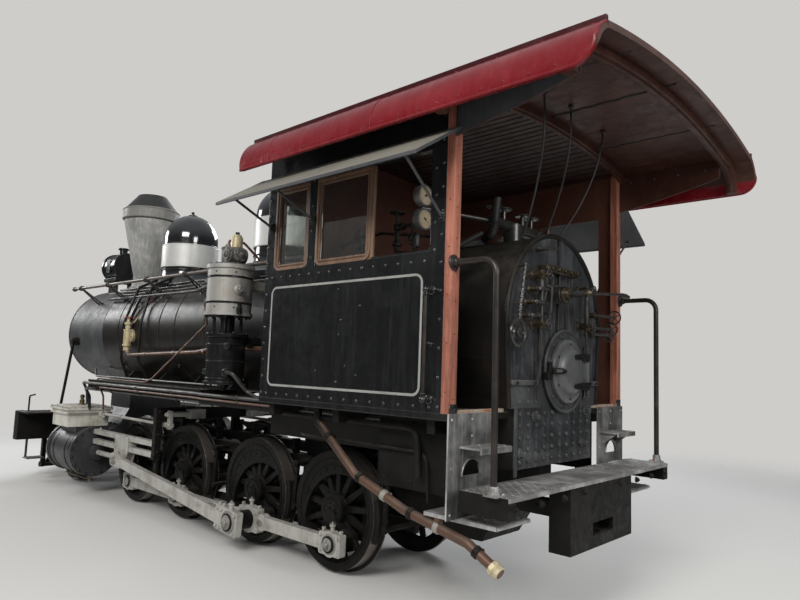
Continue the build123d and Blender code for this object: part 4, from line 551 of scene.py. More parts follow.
class Metalwork:
    """Collects the faces of one piece, so that like details share a mesh; ink is the number of a face's finish."""

    def __init__(self):
        self.points, self.faces, self.inks = [], [], []

    def add(self, points, faces, ink=0):
        """Adds faces that number these points from nought."""
        start = len(self.points)
        self.points += [tuple(p) for p in points]
        self.faces += [[start + i for i in face] for face in faces]
        self.inks += [ink] * len(faces)

    def turned(self, base, axis, profile, count=24, ink=0, start=0.0):
        """A turned shape from (radius, distance along the axis) pairs."""
        along = Vector(axis).normalized()
        u = along.orthogonal().normalized() if abs(along.z) < 0.99 else Vector((1, 0, 0))
        v = along.cross(u)
        points, rings = [], []
        for radius, distance in profile:
            centre = Vector(base) + along * distance
            if radius < 1e-6:
                rings.append([len(points)])
                points.append(centre)
                continue
            rings.append(list(range(len(points), len(points) + count)))
            for i in range(count):
                angle = start + 2 * pi * i / count
                points.append(centre + (u * cos(angle) + v * sin(angle)) * radius)
        faces = []
        for a, b in zip(rings, rings[1:]):
            if len(a) == 1 and len(b) == 1:
                continue
            for i in range(count):
                j = (i + 1) % count
                if len(a) == 1:
                    faces.append([a[0], b[i], b[j]][::-1])
                elif len(b) == 1:
                    faces.append([a[i], a[j], b[0]])
                else:
                    faces.append([a[i], a[j], b[j], b[i]])
        if len(rings[0]) > 1:
            faces.append(rings[0][::-1])
        if len(rings[-1]) > 1:
            faces.append(rings[-1])
        self.add(points, faces, ink)

    def tube(self, route, radius, count=12, ink=0, closed=False):
        """A round bar or pipe along a route of points."""
        route = [Vector(p) for p in route]
        total = len(route)
        points, faces = [], []
        normal = None
        for i, here in enumerate(route):
            before = route[(i - 1) % total] if closed or i else here
            after = route[(i + 1) % total] if closed or i < total - 1 else here
            way = (after - before).normalized()
            if normal is None:
                normal = way.orthogonal().normalized()
            normal = (normal - way * normal.dot(way)).normalized()
            side = way.cross(normal)
            for k in range(count):
                angle = 2 * pi * k / count
                points.append(here + (normal * cos(angle) + side * sin(angle)) * radius)
        for i in range(total if closed else total - 1):
            j = (i + 1) % total
            for k in range(count):
                m = (k + 1) % count
                faces.append([i * count + k, i * count + m, j * count + m, j * count + k])
        if not closed:
            faces.append(list(range(count))[::-1])
            faces.append(list(range((total - 1) * count, total * count)))
        self.add(points, faces, ink)

    def slab(self, outline, origin, u, v, thickness, ink=0, chamfer=0.0):
        """A plate with this flat outline, in the plane of u and v, and a chamfer round its far face."""
        u, v = Vector(u).normalized(), Vector(v).normalized()
        out = u.cross(v)
        flat = [Vector((a, b, 0)) for a, b in outline]
        area = sum(p.x * q.y - q.x * p.y for p, q in zip(flat, flat[1:] + flat[:1]))
        if area < 0:
            flat.reverse()
        inner = flat if not chamfer else inset(flat, chamfer)
        place = lambda p, lift: Vector(origin) + u * p.x + v * p.y + out * lift
        count = len(flat)
        points = [place(p, 0) for p in flat]
        points += [place(p, thickness - chamfer) for p in flat]
        faces = [list(range(count))[::-1]]
        faces += [[i, (i + 1) % count, count + (i + 1) % count, count + i] for i in range(count)]
        if chamfer:
            points += [place(p, thickness) for p in inner]
            faces += [[count + i, count + (i + 1) % count, 2 * count + (i + 1) % count, 2 * count + i]
                      for i in range(count)]
            faces.append(list(range(2 * count, 3 * count)))
        else:
            faces.append(list(range(count, 2 * count)))
        self.add(points, faces, ink)

    def block(self, low, high, ink=0, chamfer=0.003):
        """An upright box with chamfered edges on all sides."""
        low, high = Vector(low), Vector(high)
        low, high = Vector(map(min, low, high)), Vector(map(max, low, high))
        c = min(chamfer, min(high - low) * 0.45)
        points, index = [], {}
        for corner in range(8):
            bits = [(corner >> k) & 1 for k in range(3)]
            for axis in range(3):
                p = [(high if bit else low)[k] + (0 if k == axis else (-c if bit else c))
                     for k, bit in enumerate(bits)]
                index[corner, axis] = len(points)
                points.append(p)
        faces = []
        for axis in range(3):
            a, b = (axis + 1) % 3, (axis + 2) % 3
            for bit in (0, 1):
                ring = [(bit << axis) | (i << a) | (j << b) for i, j in ((0, 0), (1, 0), (1, 1), (0, 1))]
                face = [index[corner, axis] for corner in ring]
                faces.append(face if bit else face[::-1])
                for i in (0, 1):
                    one, two = (bit << axis) | (i << a), (bit << axis) | (i << a) | (1 << b)
                    faces.append([index[one, axis], index[two, axis], index[two, a], index[one, a]])
        for corner in range(8):
            face = [index[corner, axis] for axis in range(3)]
            faces.append(face if bin(corner).count("1") % 2 else face[::-1])
        self.add(points, faces, ink)

    def rivet(self, place, out, radius=0.009, ink=0, height=None):
        """A domed head on a surface that faces out."""
        height = radius * 0.62 if height is None else height
        self.turned(place, out, ((radius, -0.002), (radius, 0), (radius * 0.86, height * 0.55),
                                 (radius * 0.5, height * 0.92), (0, height)), 10, ink)

    def bolt(self, place, out, radius=0.02, ink=0, stub=True, turn=0.3):
        """A washer, a hexagon nut with a chamfered top and the end of its stud."""
        place, out = Vector(place), Vector(out).normalized()
        thick = radius * 0.85
        self.turned(place, out, ((radius * 1.25, -0.002), (radius * 1.25, radius * 0.14), (radius, radius * 0.16)),
                    16, ink)
        self.turned(place + out * radius * 0.14, out, ((radius, 0), (radius, thick * 0.85), (radius * 0.86, thick)),
                    6, ink, turn)
        if stub:
            self.turned(place + out * radius * 0.14, out,
                        ((radius * 0.52, thick * 0.9), (radius * 0.52, thick * 1.35), (radius * 0.42, thick * 1.5)),
                        12, ink)

    def piece(self, name, finishes, body="engine", slot=None, smooth_angle=32):
        """Makes the object, gives it its finishes and sets it on its body."""
        mesh = bpy.data.meshes.new(name)
        mesh.from_pydata(self.points, [], self.faces)
        build = bmesh.new()
        build.from_mesh(mesh)
        bmesh.ops.recalc_face_normals(build, faces=build.faces)
        build.to_mesh(mesh)
        build.free()
        for finish in [finishes] if isinstance(finishes, str) else finishes:
            mesh.materials.append(paints[finish])
        mesh.polygons.foreach_set("material_index", self.inks)
        mesh.polygons.foreach_set("use_smooth", [True] * len(mesh.polygons))
        mesh.update()
        mesh.set_sharp_from_angle(angle=radians(smooth_angle))
        made = bpy.data.objects.new(name, mesh)
        bpy.context.scene.collection.objects.link(made)
        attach(made, body)
        return made


def inset(flat, distance):
    """The corners of a counter-clockwise outline moved inward."""
    moved = []
    for i, here in enumerate(flat):
        one = (here - flat[i - 1]).normalized()
        two = (flat[(i + 1) % len(flat)] - here).normalized()
        inward_one, inward_two = Vector((-one.y, one.x, 0)), Vector((-two.y, two.x, 0))
        share = 1 + max(-0.9, inward_one.dot(inward_two))
        moved.append(here + (inward_one + inward_two) * (distance / share))
    return moved


def rounded_box(x0, x1, y0, y1, radius, steps=6):
    """Corners of a flat rectangle with rounded corners; one radius, or four from the lower left, anticlockwise."""
    radii = radius if isinstance(radius, tuple) else (radius,) * 4
    corners = (((x0, y0), 180), ((x1, y0), 270), ((x1, y1), 0), ((x0, y1), 90))
    signs = ((1, 1), (-1, 1), (-1, -1), (1, -1))
    outline = []
    for ((x, y), start), (sx, sy), r in zip(corners, signs, radii):
        for i in range(steps + 1) if r else (0,):
            angle = radians(start + 90 * i / steps)
            outline.append((x + sx * r + r * cos(angle), y + sy * r + r * sin(angle)))
    return outline


def bent(points, bend, steps=6):
    """A route with its corners rounded to the bend's radius."""
    points = [Vector(p) for p in points]
    route = [points[0]]
    for before, here, after in zip(points, points[1:], points[2:]):
        one, two = (before - here).normalized(), (after - here).normalized()
        half = one.angle(two) / 2
        if half > radians(88):
            route.append(here)
            continue
        reach = min(bend / max(1e-6, sin(half) / cos(half)), (before - here).length * 0.48,
                    (after - here).length * 0.48)
        start, end = here + one * reach, here + two * reach
        for i in range(steps + 1):
            t = i / steps
            route.append(start * (1 - t) ** 2 + here * 2 * t * (1 - t) + end * t * t)
    return route + [points[-1]]


def along(start, end, pitch):
    """Evenly spaced points from start to end, about a pitch apart."""
    start, end = Vector(start), Vector(end)
    count = max(1, round((end - start).length / pitch))
    return [start.lerp(end, i / count) for i in range(count + 1)]


# ---------------------------------------------------------------- finishes of the CAD nodes


NODE_FINISHES = {
    "frame_black": "main_frame pilot_beam pilot front_coupler guide_yoke smokebox_braces running_boards ash_pan "
                   "spring_rigging brake_rigging pony_truck",
    "wheel_black": "axle_1 axle_2 axle_3 axle_4 pony_axle",
    "rod_grey": "guide_bars valve_rods side_rod_left side_rod_right main_rod_left main_rod_right crosshead_left "
                "crosshead_right",
    "cylinder_grey": "cylinder_left cylinder_right",
    "chest_beige": "steam_chests",
    "graphite": "smokebox smokebox_door",
    "jacket_black": "boiler_barrel firebox",
    "stack_grey": "smokestack",
    "dome_black": "sand_dome steam_dome",
    "black_paint": "headlight air_pump cab_side_left cab_side_right cab_front",
    "rail_brown": "handrails",
    "brown_pipe": "check_valves suction_pipe",
    "roof_red": "cab_roof",
    "post_wood": "cab_posts",
    "sash_wood": "window_sashes",
    "glass": "window_glass",
    "awning_grey": "awnings",
    "ceiling_plate": "roof_ribs",
    "deck_steel": "cab_floor rear_steps",
    "seat_black": "seat_boxes",
    "oily_steel": "backhead_fittings",
    "bright_steel": "reverser",
    "grab_brown": "grab_rails",
    "door_grey": "fire_door",
}


def coat_faces(node, finish, rules=()):
    """Gives a CAD node its finish, and others to the faces whose centre and normal a rule picks."""
    mesh = frame["nodes"][node].data
    mesh.materials.clear()
    mesh.materials.append(paints[finish])
    for other, rule in rules:
        mesh.materials.append(paints[other])
        number = len(mesh.materials) - 1
        for face in mesh.polygons:
            if rule(face.center - ORIGIN, face.normal):
                face.material_index = number


def tread_rule(middle):
    """A rule that picks the tread and flange of the wheelset that stands here."""
    return lambda c, n: sqrt((c.x - middle.x) ** 2 + (c.z - middle.z) ** 2) > 0.464 and abs(n.y) < 0.6


def coat_nodes():
    """Every finish of the CAD model, face by face where one casting wears two."""
    roof_inner = lambda c, n: n.z < -0.2 or (abs(n.y) > 0.5 and c.y * n.y < 0)
    rules = {
        "cab_side_left": [("inside_brown", lambda c, n: n.y < -0.5)],
        "cab_side_right": [("inside_brown", lambda c, n: n.y > 0.5)],
        "cab_front": [("inside_brown", lambda c, n: n.x < -0.5)],
        "cab_roof": [
            ("roof_top", lambda c, n: n.z > 0.55 and abs(c.y) < 1.283),
            ("ceiling_plate", lambda c, n: roof_inner(c, n) and c.x < -1.65 and abs(c.y) < 1.385),
            ("ceiling_boards", lambda c, n: roof_inner(c, n) and c.x >= -1.65 and abs(c.y) < 1.385),
            ("roof_edge", lambda c, n: abs(n.x) > 0.9),
            ("roof_maroon", lambda c, n: 1.28 < abs(c.y) < 1.312 and c.z > 3.372),
        ],
        "roof_ribs": [("eave_grey_and_awning_shade", lambda c, n: (n.y * c.y > 0 and abs(n.y) > 0.9 and -2.5 < c.x < -1.66
                                                  and abs(abs(c.y) - 1.174) < 0.012))],
        "cab_floor": [("frame_black", lambda c, n: abs(n.z) < 0.7 or c.z < 0.94)],
        # The steps' rear faces get a darker plate than their tops: painted shade, with pale worn patches
        "rear_steps": [("step_plate_shade_and_wear", lambda c, n: abs(n.x) > 0.5),
                       ("frame_black", lambda c, n: n.z < -0.5 or n.x > 0.5)],
        "smokestack": [
            ("stack_band", lambda c, n: 3.545 < c.z < 3.705),
            ("stack_cap", lambda c, n: c.z >= 3.705),
        ],
        "sand_dome": [("dome_band", lambda c, n: 2.775 < c.z < 3.075)],
        "steam_dome": [("dome_band", lambda c, n: 2.82 < c.z < 3.14)],
        "air_pump": [("silver_paint", lambda c, n: 2.04 < c.z < 2.5),
                     ("pump_head", lambda c, n: c.z >= 2.5),
                     ("cream_brass", lambda c, n: c.z >= 2.66 and c.x < 1.07),
                     ("black_paint", lambda c, n: c.z >= 2.775)],
        "check_valves": [("cream_brass", lambda c, n: abs(c.x - 3.6) < 0.09 and 1.71 < c.z < 2.12)],
        "handrails": [("pipe_black", lambda c, n: (abs(c.y) - 0.75) ** 2 + (c.z - 2.54) ** 2 > 0.03 ** 2)],
        "firebox": [("backhead_black", lambda c, n: n.x < -0.5 and c.x < -1.6)],
        # The awnings' under faces and edges are painted dark grey: painted shade under a plate lit from above
        "awnings": [("eave_grey_and_awning_shade", lambda c, n: n.z < 0.3)],
        "suction_pipe": [("frame_black", lambda c, n: c.x > -0.5)],
    }
    for number in (1, 2, 3, 4):
        rules[f"axle_{number}"] = [("tyre_steel", tread_rule(middle_of(f"axle_{number}") - ORIGIN))]
    for finish, nodes in NODE_FINISHES.items():
        for node in nodes.split():
            coat_faces(node, finish, rules.get(node, ()))


# ---------------------------------------------------------------- cab


def row(work, start, end, pitch, out, radius, ink=0, skip=None):
    """A line of rivets from start to end, without those that skip picks."""
    for place in along(start, end, pitch):
        if skip is None or not skip(place):
            work.rivet(place, out, radius, ink)


def build_cab_rivets():
    """Rivet heads round each side plate, under the windows and on the front plate."""
    sizes = bpy.context.scene.locomotive_sizes
    r = sizes.rivet_radius
    for side, name in SIDES:
        work = Metalwork()
        y, out = side * CAB_SIDE_Y, LEFT * side
        for step, low, high, pitch in (
                (0.192, 1.41, 3.05, 0.128), (-1.562, 1.41, 2.28, 0.165), (-1.562, 2.45, 3.05, 0.165),
                (-1.508, 2.36, 3.05, 0.19), (-0.328, 2.42, 3.0, 0.19)):
            row(work, at(step, y, low), at(step, y, high), pitch, out, r)
        row(work, at(-1.5, y, 1.405), at(0.128, y, 1.405), 0.128, out, r)
        row(work, at(-1.43, y, 2.298), at(0.128, y, 2.298), 0.108, out, r)
        for step, height in (
                (-0.65, 2.167), (-0.87, 2.04), (-0.685, 1.949), (-0.665, 1.848), (-0.742, 1.633), (-0.441, 1.593),
                (-0.854, 1.573), (-0.661, 1.521)):
            work.rivet(at(step, y, height), out, 0.7 * r)
        work.piece("cab_rivets_" + name, "rivet_black", smooth_angle=50)
    work = Metalwork()
    for side in (1, -1):
        on = mirrored(side)
        row(work, on(0.22, 1.1, 1.42), on(0.22, 1.1, 3.0), 0.13, AHEAD, r)
        row(work, on(0.22, 0.735, 2.3), on(0.22, 1.06, 2.3), 0.11, AHEAD, r)
    for i in range(9):
        angle = radians(18 + i * 18)
        work.rivet(at(0.22, cos(angle) * 0.7, BOILER_HEIGHT + sin(angle) * 0.7), AHEAD, r)
    work.piece("cab_front_rivets", "rivet_black", smooth_angle=50)


def ring_plate(work, outer, inner, origin, u, v, thickness, ink=0):
    """A flat frame between two outlines with the same count of corners."""
    u, v = Vector(u).normalized(), Vector(v).normalized()
    out = u.cross(v)
    count = len(outer)
    points = [Vector(origin) + u * a + v * b + out * lift for lift in (0.0, thickness) for loop in (outer, inner)
              for a, b in loop]
    faces = []
    for i in range(count):
        j = (i + 1) % count
        low_out, low_in, high_out, high_in = (k * count for k in range(4))
        faces += [[high_out + i, high_out + j, high_in + j, high_in + i],
                  [low_out + i, low_in + i, low_in + j, low_out + j],
                  [low_out + i, low_out + j, high_out + j, high_out + i],
                  [low_in + i, high_in + i, high_in + j, low_in + j]]
    work.add(points, faces, ink)


def framed(work, x0, x1, z0, z1, radius, width, origin, u, thickness, ink=0):
    """A frame of this width inside an upright rectangle with rounded corners."""
    radii = radius if isinstance(radius, tuple) else (radius,) * 4
    inner_radii = tuple(max(r - width, 0.002) for r in radii)
    ring_plate(work, rounded_box(x0, x1, z0, z1, radii),
               rounded_box(x0 + width, x1 - width, z0 + width, z1 - width, inner_radii), origin, u, UP, thickness,
               ink)


def side_plane(side):
    """Origin and first direction of the cab side's outer face, so that out is outward."""
    return Vector((REAR_AXLE_X, side * CAB_SIDE_Y, RAIL_Z)), AHEAD * -side


def build_lining():
    """The pale line round a bare panel on each cab side."""
    sizes = bpy.context.scene.locomotive_sizes
    for side, name in SIDES:
        work = Metalwork()
        origin, u = side_plane(side)
        ends = sorted((-side * -1.424, -side * 0.128))
        framed(work, *ends, 1.462, 2.224, 0.062, sizes.lining_width, origin + LEFT * side * 0.0002, u, 0.0009)
        work.piece("lining_" + name, "lining_paint")


def corner_web(work, corner, run_x, run_z, radius, y0, y1, ink=0):
    """Fills the corner of an opening up to a quarter circle."""
    steps = 7
    cx, cz = corner[0] + run_x * radius, corner[1] + run_z * radius
    arc = [(cx - run_x * radius * sin(pi / 2 * i / steps), cz - run_z * radius * cos(pi / 2 * i / steps))
           for i in range(steps + 1)]
    outline = [(corner[0], corner[1])] + arc
    points = [(REAR_AXLE_X + x, y, RAIL_Z + z) for y in (y0, y1) for x, z in outline]
    count = len(outline)
    faces = [list(range(count)), list(range(count, 2 * count))]
    faces += [[i, (i + 1) % count, count + (i + 1) % count, count + i] for i in range(count)]
    work.add(points, faces, ink)


def build_window_trim():
    """Rounded lower corners, glazing beads, stops and catches of the cab windows."""
    for side, name in SIDES:
        on = mirrored(side)
        origin, u = side_plane(side)
        inner = side * (CAB_SIDE_Y - 0.044)
        webs, beads = Metalwork(), Metalwork()
        for (x, z), run in (((-0.285, 2.35), 1), ((0.124, 2.35), -1), ((-1.47, 2.35), 1), ((-0.37, 2.35), -1)):
            corner_web(webs, (x, z), run, 1, 0.062 if x > -1.4 else 0.05, inner, side * (CAB_SIDE_Y + 0.0006))
        webs.piece("window_corners_" + name, "black_paint", slot="black_paint")
        for rear, front in ((-0.285, 0.124), (-0.94, -0.37)):
            ends = sorted((-side * rear, -side * front))
            at_sash = origin - LEFT * side * 0.0095
            framed(beads, ends[0] + 0.0005, ends[1] - 0.0005, 2.3505, 2.9995, (0.061,) * 2 + (0.004,) * 2, 0.02,
                   at_sash, u, 0.0098)
            framed(beads, ends[0] + 0.03, ends[1] - 0.03, 2.382, 2.968, 0.008, 0.013, at_sash, u, 0.006)
            middle = (rear + front) / 2
            beads.block(on(middle - 0.022, 1.1705, 2.368), on(middle + 0.022, 1.176, 2.38))
        beads.block(on(-0.962, 1.15, 2.351), on(-0.938, 1.178, 2.999), 0, 0.005)
        beads.piece("window_beads_" + name, "sash_wood", slot="sash_wood")
        lower = Metalwork()
        lower.block(on(-1.46, 1.137, 2.351), on(-0.96, 1.183, 2.366), 0, 0.004)
        lower.block(on(-1.4, 1.05, 2.34), on(-0.45, 1.137, 2.366), 1, 0.012)
        lower.piece("window_sill_" + name, ("black_paint", "seat_black"))


def roof_arc(share):
    """Y, height above the rail and outward direction on the roof's rolled side, from eave to gutter."""
    ends = ((1.43, 3.13), (1.402, 3.2875), (1.3, 3.385))
    (ax, az), (bx, bz), (cx, cz) = ends
    d = 2 * (ax * (bz - cz) + bx * (cz - az) + cx * (az - bz))
    ux = ((ax * ax + az * az) * (bz - cz) + (bx * bx + bz * bz) * (cz - az) + (cx * cx + cz * cz) * (az - bz)) / d
    uz = ((ax * ax + az * az) * (cx - bx) + (bx * bx + bz * bz) * (ax - cx) + (cx * cx + cz * cz) * (bx - ax)) / d
    radius = sqrt((ax - ux) ** 2 + (az - uz) ** 2)
    start, end = atan2(az - uz, ax - ux), atan2(cz - uz, cx - ux)
    angle = start + (end - start) * share
    return ux + radius * cos(angle), uz + radius * sin(angle), (cos(angle), sin(angle))


def roof_crown(y, lift=0.0):
    """Height of the roof's upper skin above the rail at this distance from the middle."""
    rise = 0.135
    radius = (1.3 ** 2 + rise ** 2) / (2 * rise)
    return 3.52 - radius + sqrt(radius ** 2 - y * y) + lift


def build_roof_details():
    """Rivets, laps and beads of the roof, and the bolts of its ribs and plates."""
    rivets, trim, plates = Metalwork(), Metalwork(), Metalwork()
    for side in (1, -1):
        on = mirrored(side)
        for share, pitch, start in ((0.1, 0.15, -2.46), (0.965, 0.3, -2.6)):
            y, z, (ny, nz) = roof_arc(share)
            for place in along(on(start, y, z), on(0.26, y, z), pitch):
                rivets.rivet(place, (0, side * ny, nz), 0.0075)
        for step in (-1.1, -0.02):
            for i in range(9):
                y, z, (ny, nz) = roof_arc(0.06 + i * 0.11)
                rivets.rivet(on(step, y, z), (0, side * ny, nz), 0.0055)
        for step in (-1.13, -0.05):
            strip = []
            for x in (step - 0.026, step + 0.056):
                for lift in (-0.002, 0.0028):
                    for i in range(11):
                        y, z, (ny, nz) = roof_arc(0.005 + i * 0.0975)
                        strip.append(on(x, y + ny * lift, z + nz * lift))
            faces = []
            for i in range(10):
                a, b, c, d = i, 11 + i, 22 + i, 33 + i
                faces += [[b, b + 1, d + 1, d], [a, b, b + 1, a + 1], [c, c + 1, d + 1, d], [a, a + 1, c + 1, c]]
            trim.add(strip, faces, 0)
        corner = [on(-2.5495 - 0.115 * sin(pi * i / 16), 1.424, 3.132 + 0.115 * (1 - cos(pi * i / 16)))
                  for i in range(9)]
        edge = [on(0.296, 1.424, 3.13)] + corner
        for i in range(1, 9):
            y, z, _ = roof_arc(0.42 + i * 0.07)
            edge.append(on(-2.662, y - 0.008, z - 0.004))
        trim.tube(edge, 0.0105, 8)
    arch = [at(-2.661, y / 100, roof_crown(y / 100, -0.006)) for y in range(-129, 130, 6)]
    trim.tube(arch, 0.0095, 8, 1)
    trim.tube([p + AHEAD * 2.952 for p in arch], 0.0095, 8, 2)
    for step in (-1.0, 0.1):
        for y in range(-12, 13):
            rivets.rivet(at(step, y / 10, roof_crown(y / 10)), UP, 0.007, 1)
    for step in (-1.02, 0.08):
        low = [at(step + dx, y / 100, roof_crown(y / 100, lift)) for dx in (0.0, 0.075) for lift in (-0.003, 0.003)
               for y in range(-127, 128, 13)]
        n = len(low) // 4
        faces = [[n + i, n + i + 1, 3 * n + i + 1, 3 * n + i] for i in range(n - 1)]
        faces += [[i, i + 1, n + i + 1, n + i] for i in range(n - 1)]
        faces += [[2 * n + i, 3 * n + i, 3 * n + i + 1, 2 * n + i + 1] for i in range(n - 1)]
        plates.add(low, faces)
    rivets.piece("roof_rivets", ("roof_red", "roof_top"), smooth_angle=50)
    trim.piece("roof_beads", ("roof_red", "roof_edge", "roof_maroon"))
    plates.piece("roof_laps", "roof_top")
    bolts = Metalwork()
    for side in (1, -1):
        for step in (-2.36, -2.15, -1.95, -1.75):
            bolts.rivet(at(step, side * CAB_SIDE_Y, 3.3), LEFT * side, 0.01)
            bolts.rivet(at(step, side * (CAB_SIDE_Y - 0.012), 3.3), LEFT * -side, 0.01)
    for y in (-1.05, -0.7, -0.35, 0.0, 0.35, 0.7, 1.05):
        for step in (-2.503, -1.687):
            bolts.rivet(at(step, y, roof_crown(y, -0.099)), -UP, 0.009, 1)
    bolts.piece("rib_bolts", ("eave_grey_and_awning_shade", "ceiling_plate"), smooth_angle=50)


def build_ceiling_boards():
    """Narrow boards under the roof ahead of the rear posts, and the plates' cover strips behind them."""
    work = Metalwork()
    count = 28
    for i in range(count):
        y0, y1 = -1.14 + i * 2.28 / count + 0.004, -1.14 + (i + 1) * 2.28 / count - 0.004
        z0, z1 = roof_crown(abs(y0)) - 0.036, roof_crown(abs(y1)) - 0.036
        outline = [(y0, z0), (y1, z1), (y1, z1 - 0.01), (y1 - 0.006, z1 - 0.015), (y0 + 0.006, z0 - 0.015),
                   (y0, z0 - 0.01)]
        work.slab(outline, at(-1.64, 0, 0), LEFT, UP, 1.8)
    work.piece("ceiling_boards", "ceiling_boards")
    strips = Metalwork()
    for y, r in ((0.16, 0.01), (-0.62, 0.005), (0.84, 0.005)):
        for start, end in ((-2.6, -2.53), (-2.46, -1.73)):
            sway = [0.008 * sin(i * 2.3 + y * 9) for i in range(13)]
            strips.tube([at(start + (end - start) * i / 12, y + sway[i], roof_crown(abs(y)) - 0.039)
                         for i in range(13)], r, 6)
    for y in (-1.02, -0.3, 0.46, 1.08):
        for step in (-2.4, -2.1, -1.8):
            strips.rivet(at(step, y, roof_crown(abs(y)) - 0.038), -UP, 0.006, 1)
    strips.piece("ceiling_strips", ("rubber_black", "ceiling_plate"))


def build_awning_edges():
    """Rolled edges, hinge strip and stay fittings of the awning plates."""
    for side, name in SIDES:
        on = mirrored(side)
        work = Metalwork()
        work.tube([on(-1.694, 1.59, 2.829), on(0.324, 1.59, 2.829)], 0.0095, 10)
        work.tube([on(-1.694, 1.19, 3.098), on(-1.694, 1.59, 2.829)], 0.0065, 8)
        work.tube([on(0.324, 1.19, 3.098), on(0.324, 1.59, 2.829)], 0.0065, 8)
        for place in along(on(-1.62, 1.215, 3.087), on(0.27, 1.215, 3.087), 0.27):
            work.rivet(place, Vector((0, side * 0.55, 0.83)), 0.009, 1)
        for step in (-1.56, -0.33, 0.17):
            low = 2.56 if step < -1 else 2.7
            work.block(on(step - 0.022, 1.1805, low - 0.035), on(step + 0.022, 1.189, low + 0.035), 2)
            work.bolt(on(step, 1.189, low + 0.018), LEFT * side, 0.011, 2)
            work.turned(on(step, 1.189, low - 0.014), LEFT * side, mm(11, 0, 14, 6, 11, 14, 0, 16), 14, 2)
            work.turned(on(step - 0.012, 1.535, 2.858), AHEAD, mm(12, 0, 12, 24), 14, 2)
        # The rolled edges take the dark grey: painted shade, as on the awnings' under faces
        work.piece("awning_edges_" + name, ("eave_grey_and_awning_shade", "awning_grey", "black_paint"))


def build_post_fittings():
    """Rivets and shoes of the rear posts, the grab rails' flanges and the handles' bosses."""
    rivets, metal = Metalwork(), Metalwork()
    for side in (1, -1):
        on, outward = mirrored(side), LEFT * side
        for place in along(on(-1.65, 1.145, 1.46), on(-1.65, 1.145, 3.0), 0.195):
            if abs(place.z - RAIL_Z - 2.27) > 0.07:
                rivets.rivet(place, -AHEAD, 0.0062, 0, 0.0022)
        for place in along(on(-1.62, CAB_SIDE_Y, 1.5), on(-1.62, CAB_SIDE_Y, 2.95), 0.29):
            rivets.rivet(place, outward, 0.0062, 0, 0.0022)
        rivets.block(on(-1.6495, 1.1, 1.37), on(-1.6525, 1.178, 1.43), 1, 0.001)
        for y in (1.125, 1.16):
            rivets.rivet(on(-1.6525, y, 1.4), -AHEAD, 0.008, 1)
        metal.turned(on(-1.65, 1.17, 2.27), -AHEAD, mm(48, 0, 48, 6, 43, 10, 28, 12, 28, 34, 24, 40), 24, 1)
        metal.turned(on(-1.65, 1.17, 2.27), -AHEAD, mm(38.5, -4, 38.5, 7.5, 31, 9), 24, 2)
        metal.tube([on(-1.62 + 0.05 * cos(2 * pi * i / 20), 1.148, 2.262 + 0.052 * sin(2 * pi * i / 20))
                    for i in range(20)], 0.007, 8, 1, True)
        for dz in (0.038, -0.038):
            metal.bolt(on(-1.66, 1.17, 2.27 + dz), -AHEAD, 0.0075, 1, False)
        metal.block(on(-2.005, 1.098, 0.9505), on(-1.915, 1.199, 0.96), 3, 0.002)
        metal.turned(on(-1.96, 1.16, 0.96), UP, mm(36, 0, 36, 12, 30, 15, 28, 42, 23.5, 48), 20, 3)
        for dx in (-0.034, 0.034):
            metal.bolt(on(-1.96 + dx, 1.118, 0.96), UP, 0.0085, 3, False)
        for z in (2.11, 1.45):
            metal.turned(on(-1.5, CAB_SIDE_Y, z), outward, mm(30, 0, 30, 7, 22, 10, 16, 22, 16, 36), 20, 4)
            turn = -1 if z > 2 else 1
            centre = on(-1.5, 1.24, z)
            metal.turned(centre - UP * 0.023, UP,
                         tuple((0.023 * sin(pi * i / 8), 0.023 * (1 - cos(pi * i / 8))) for i in range(9)), 16, 4)
            metal.turned(centre + UP * turn * 0.018, UP * turn, mm(15, 0, 15.5, 18, 12, 22), 16, 4)
            metal.rivet(on(-1.542, CAB_SIDE_Y, z), outward, 0.01, 4)
        metal.turned(on(-1.5, CAB_SIDE_Y, 1.78), outward, mm(17, 0, 17, 6, 9, 9, 9, 55), 14, 4)
    rivets.piece("post_rivets", ("post_rivet", "black_paint"), smooth_angle=50)
    metal.piece("grab_fittings", ("frame_black", "grab_brown", "post_wood", "deck_steel", "black_paint"))


# ---------------------------------------------------------------- inside the cab


def handwheel(work, centre, axis, radius, ink=0, spokes=5, bar=0.006):
    """A small spoked wheel on a hub, its rim bent from a bar of this radius."""
    centre, axis = Vector(centre), Vector(axis).normalized()
    u = axis.orthogonal().normalized()
    v = axis.cross(u)
    ring = [centre + (u * cos(2 * pi * i / 28) + v * sin(2 * pi * i / 28)) * radius for i in range(28)]
    work.tube(ring, bar, 8, ink, True)
    for i in range(spokes):
        way = u * cos(2 * pi * i / spokes) + v * sin(2 * pi * i / spokes)
        work.tube([centre, centre + way * radius], bar * 0.7, 6, ink)
    work.turned(centre - axis * 0.01, axis, ((0.004, 0), (radius * 0.24, 0.002), (radius * 0.24, 0.016),
                                             (0.003, 0.022)), 12, ink)


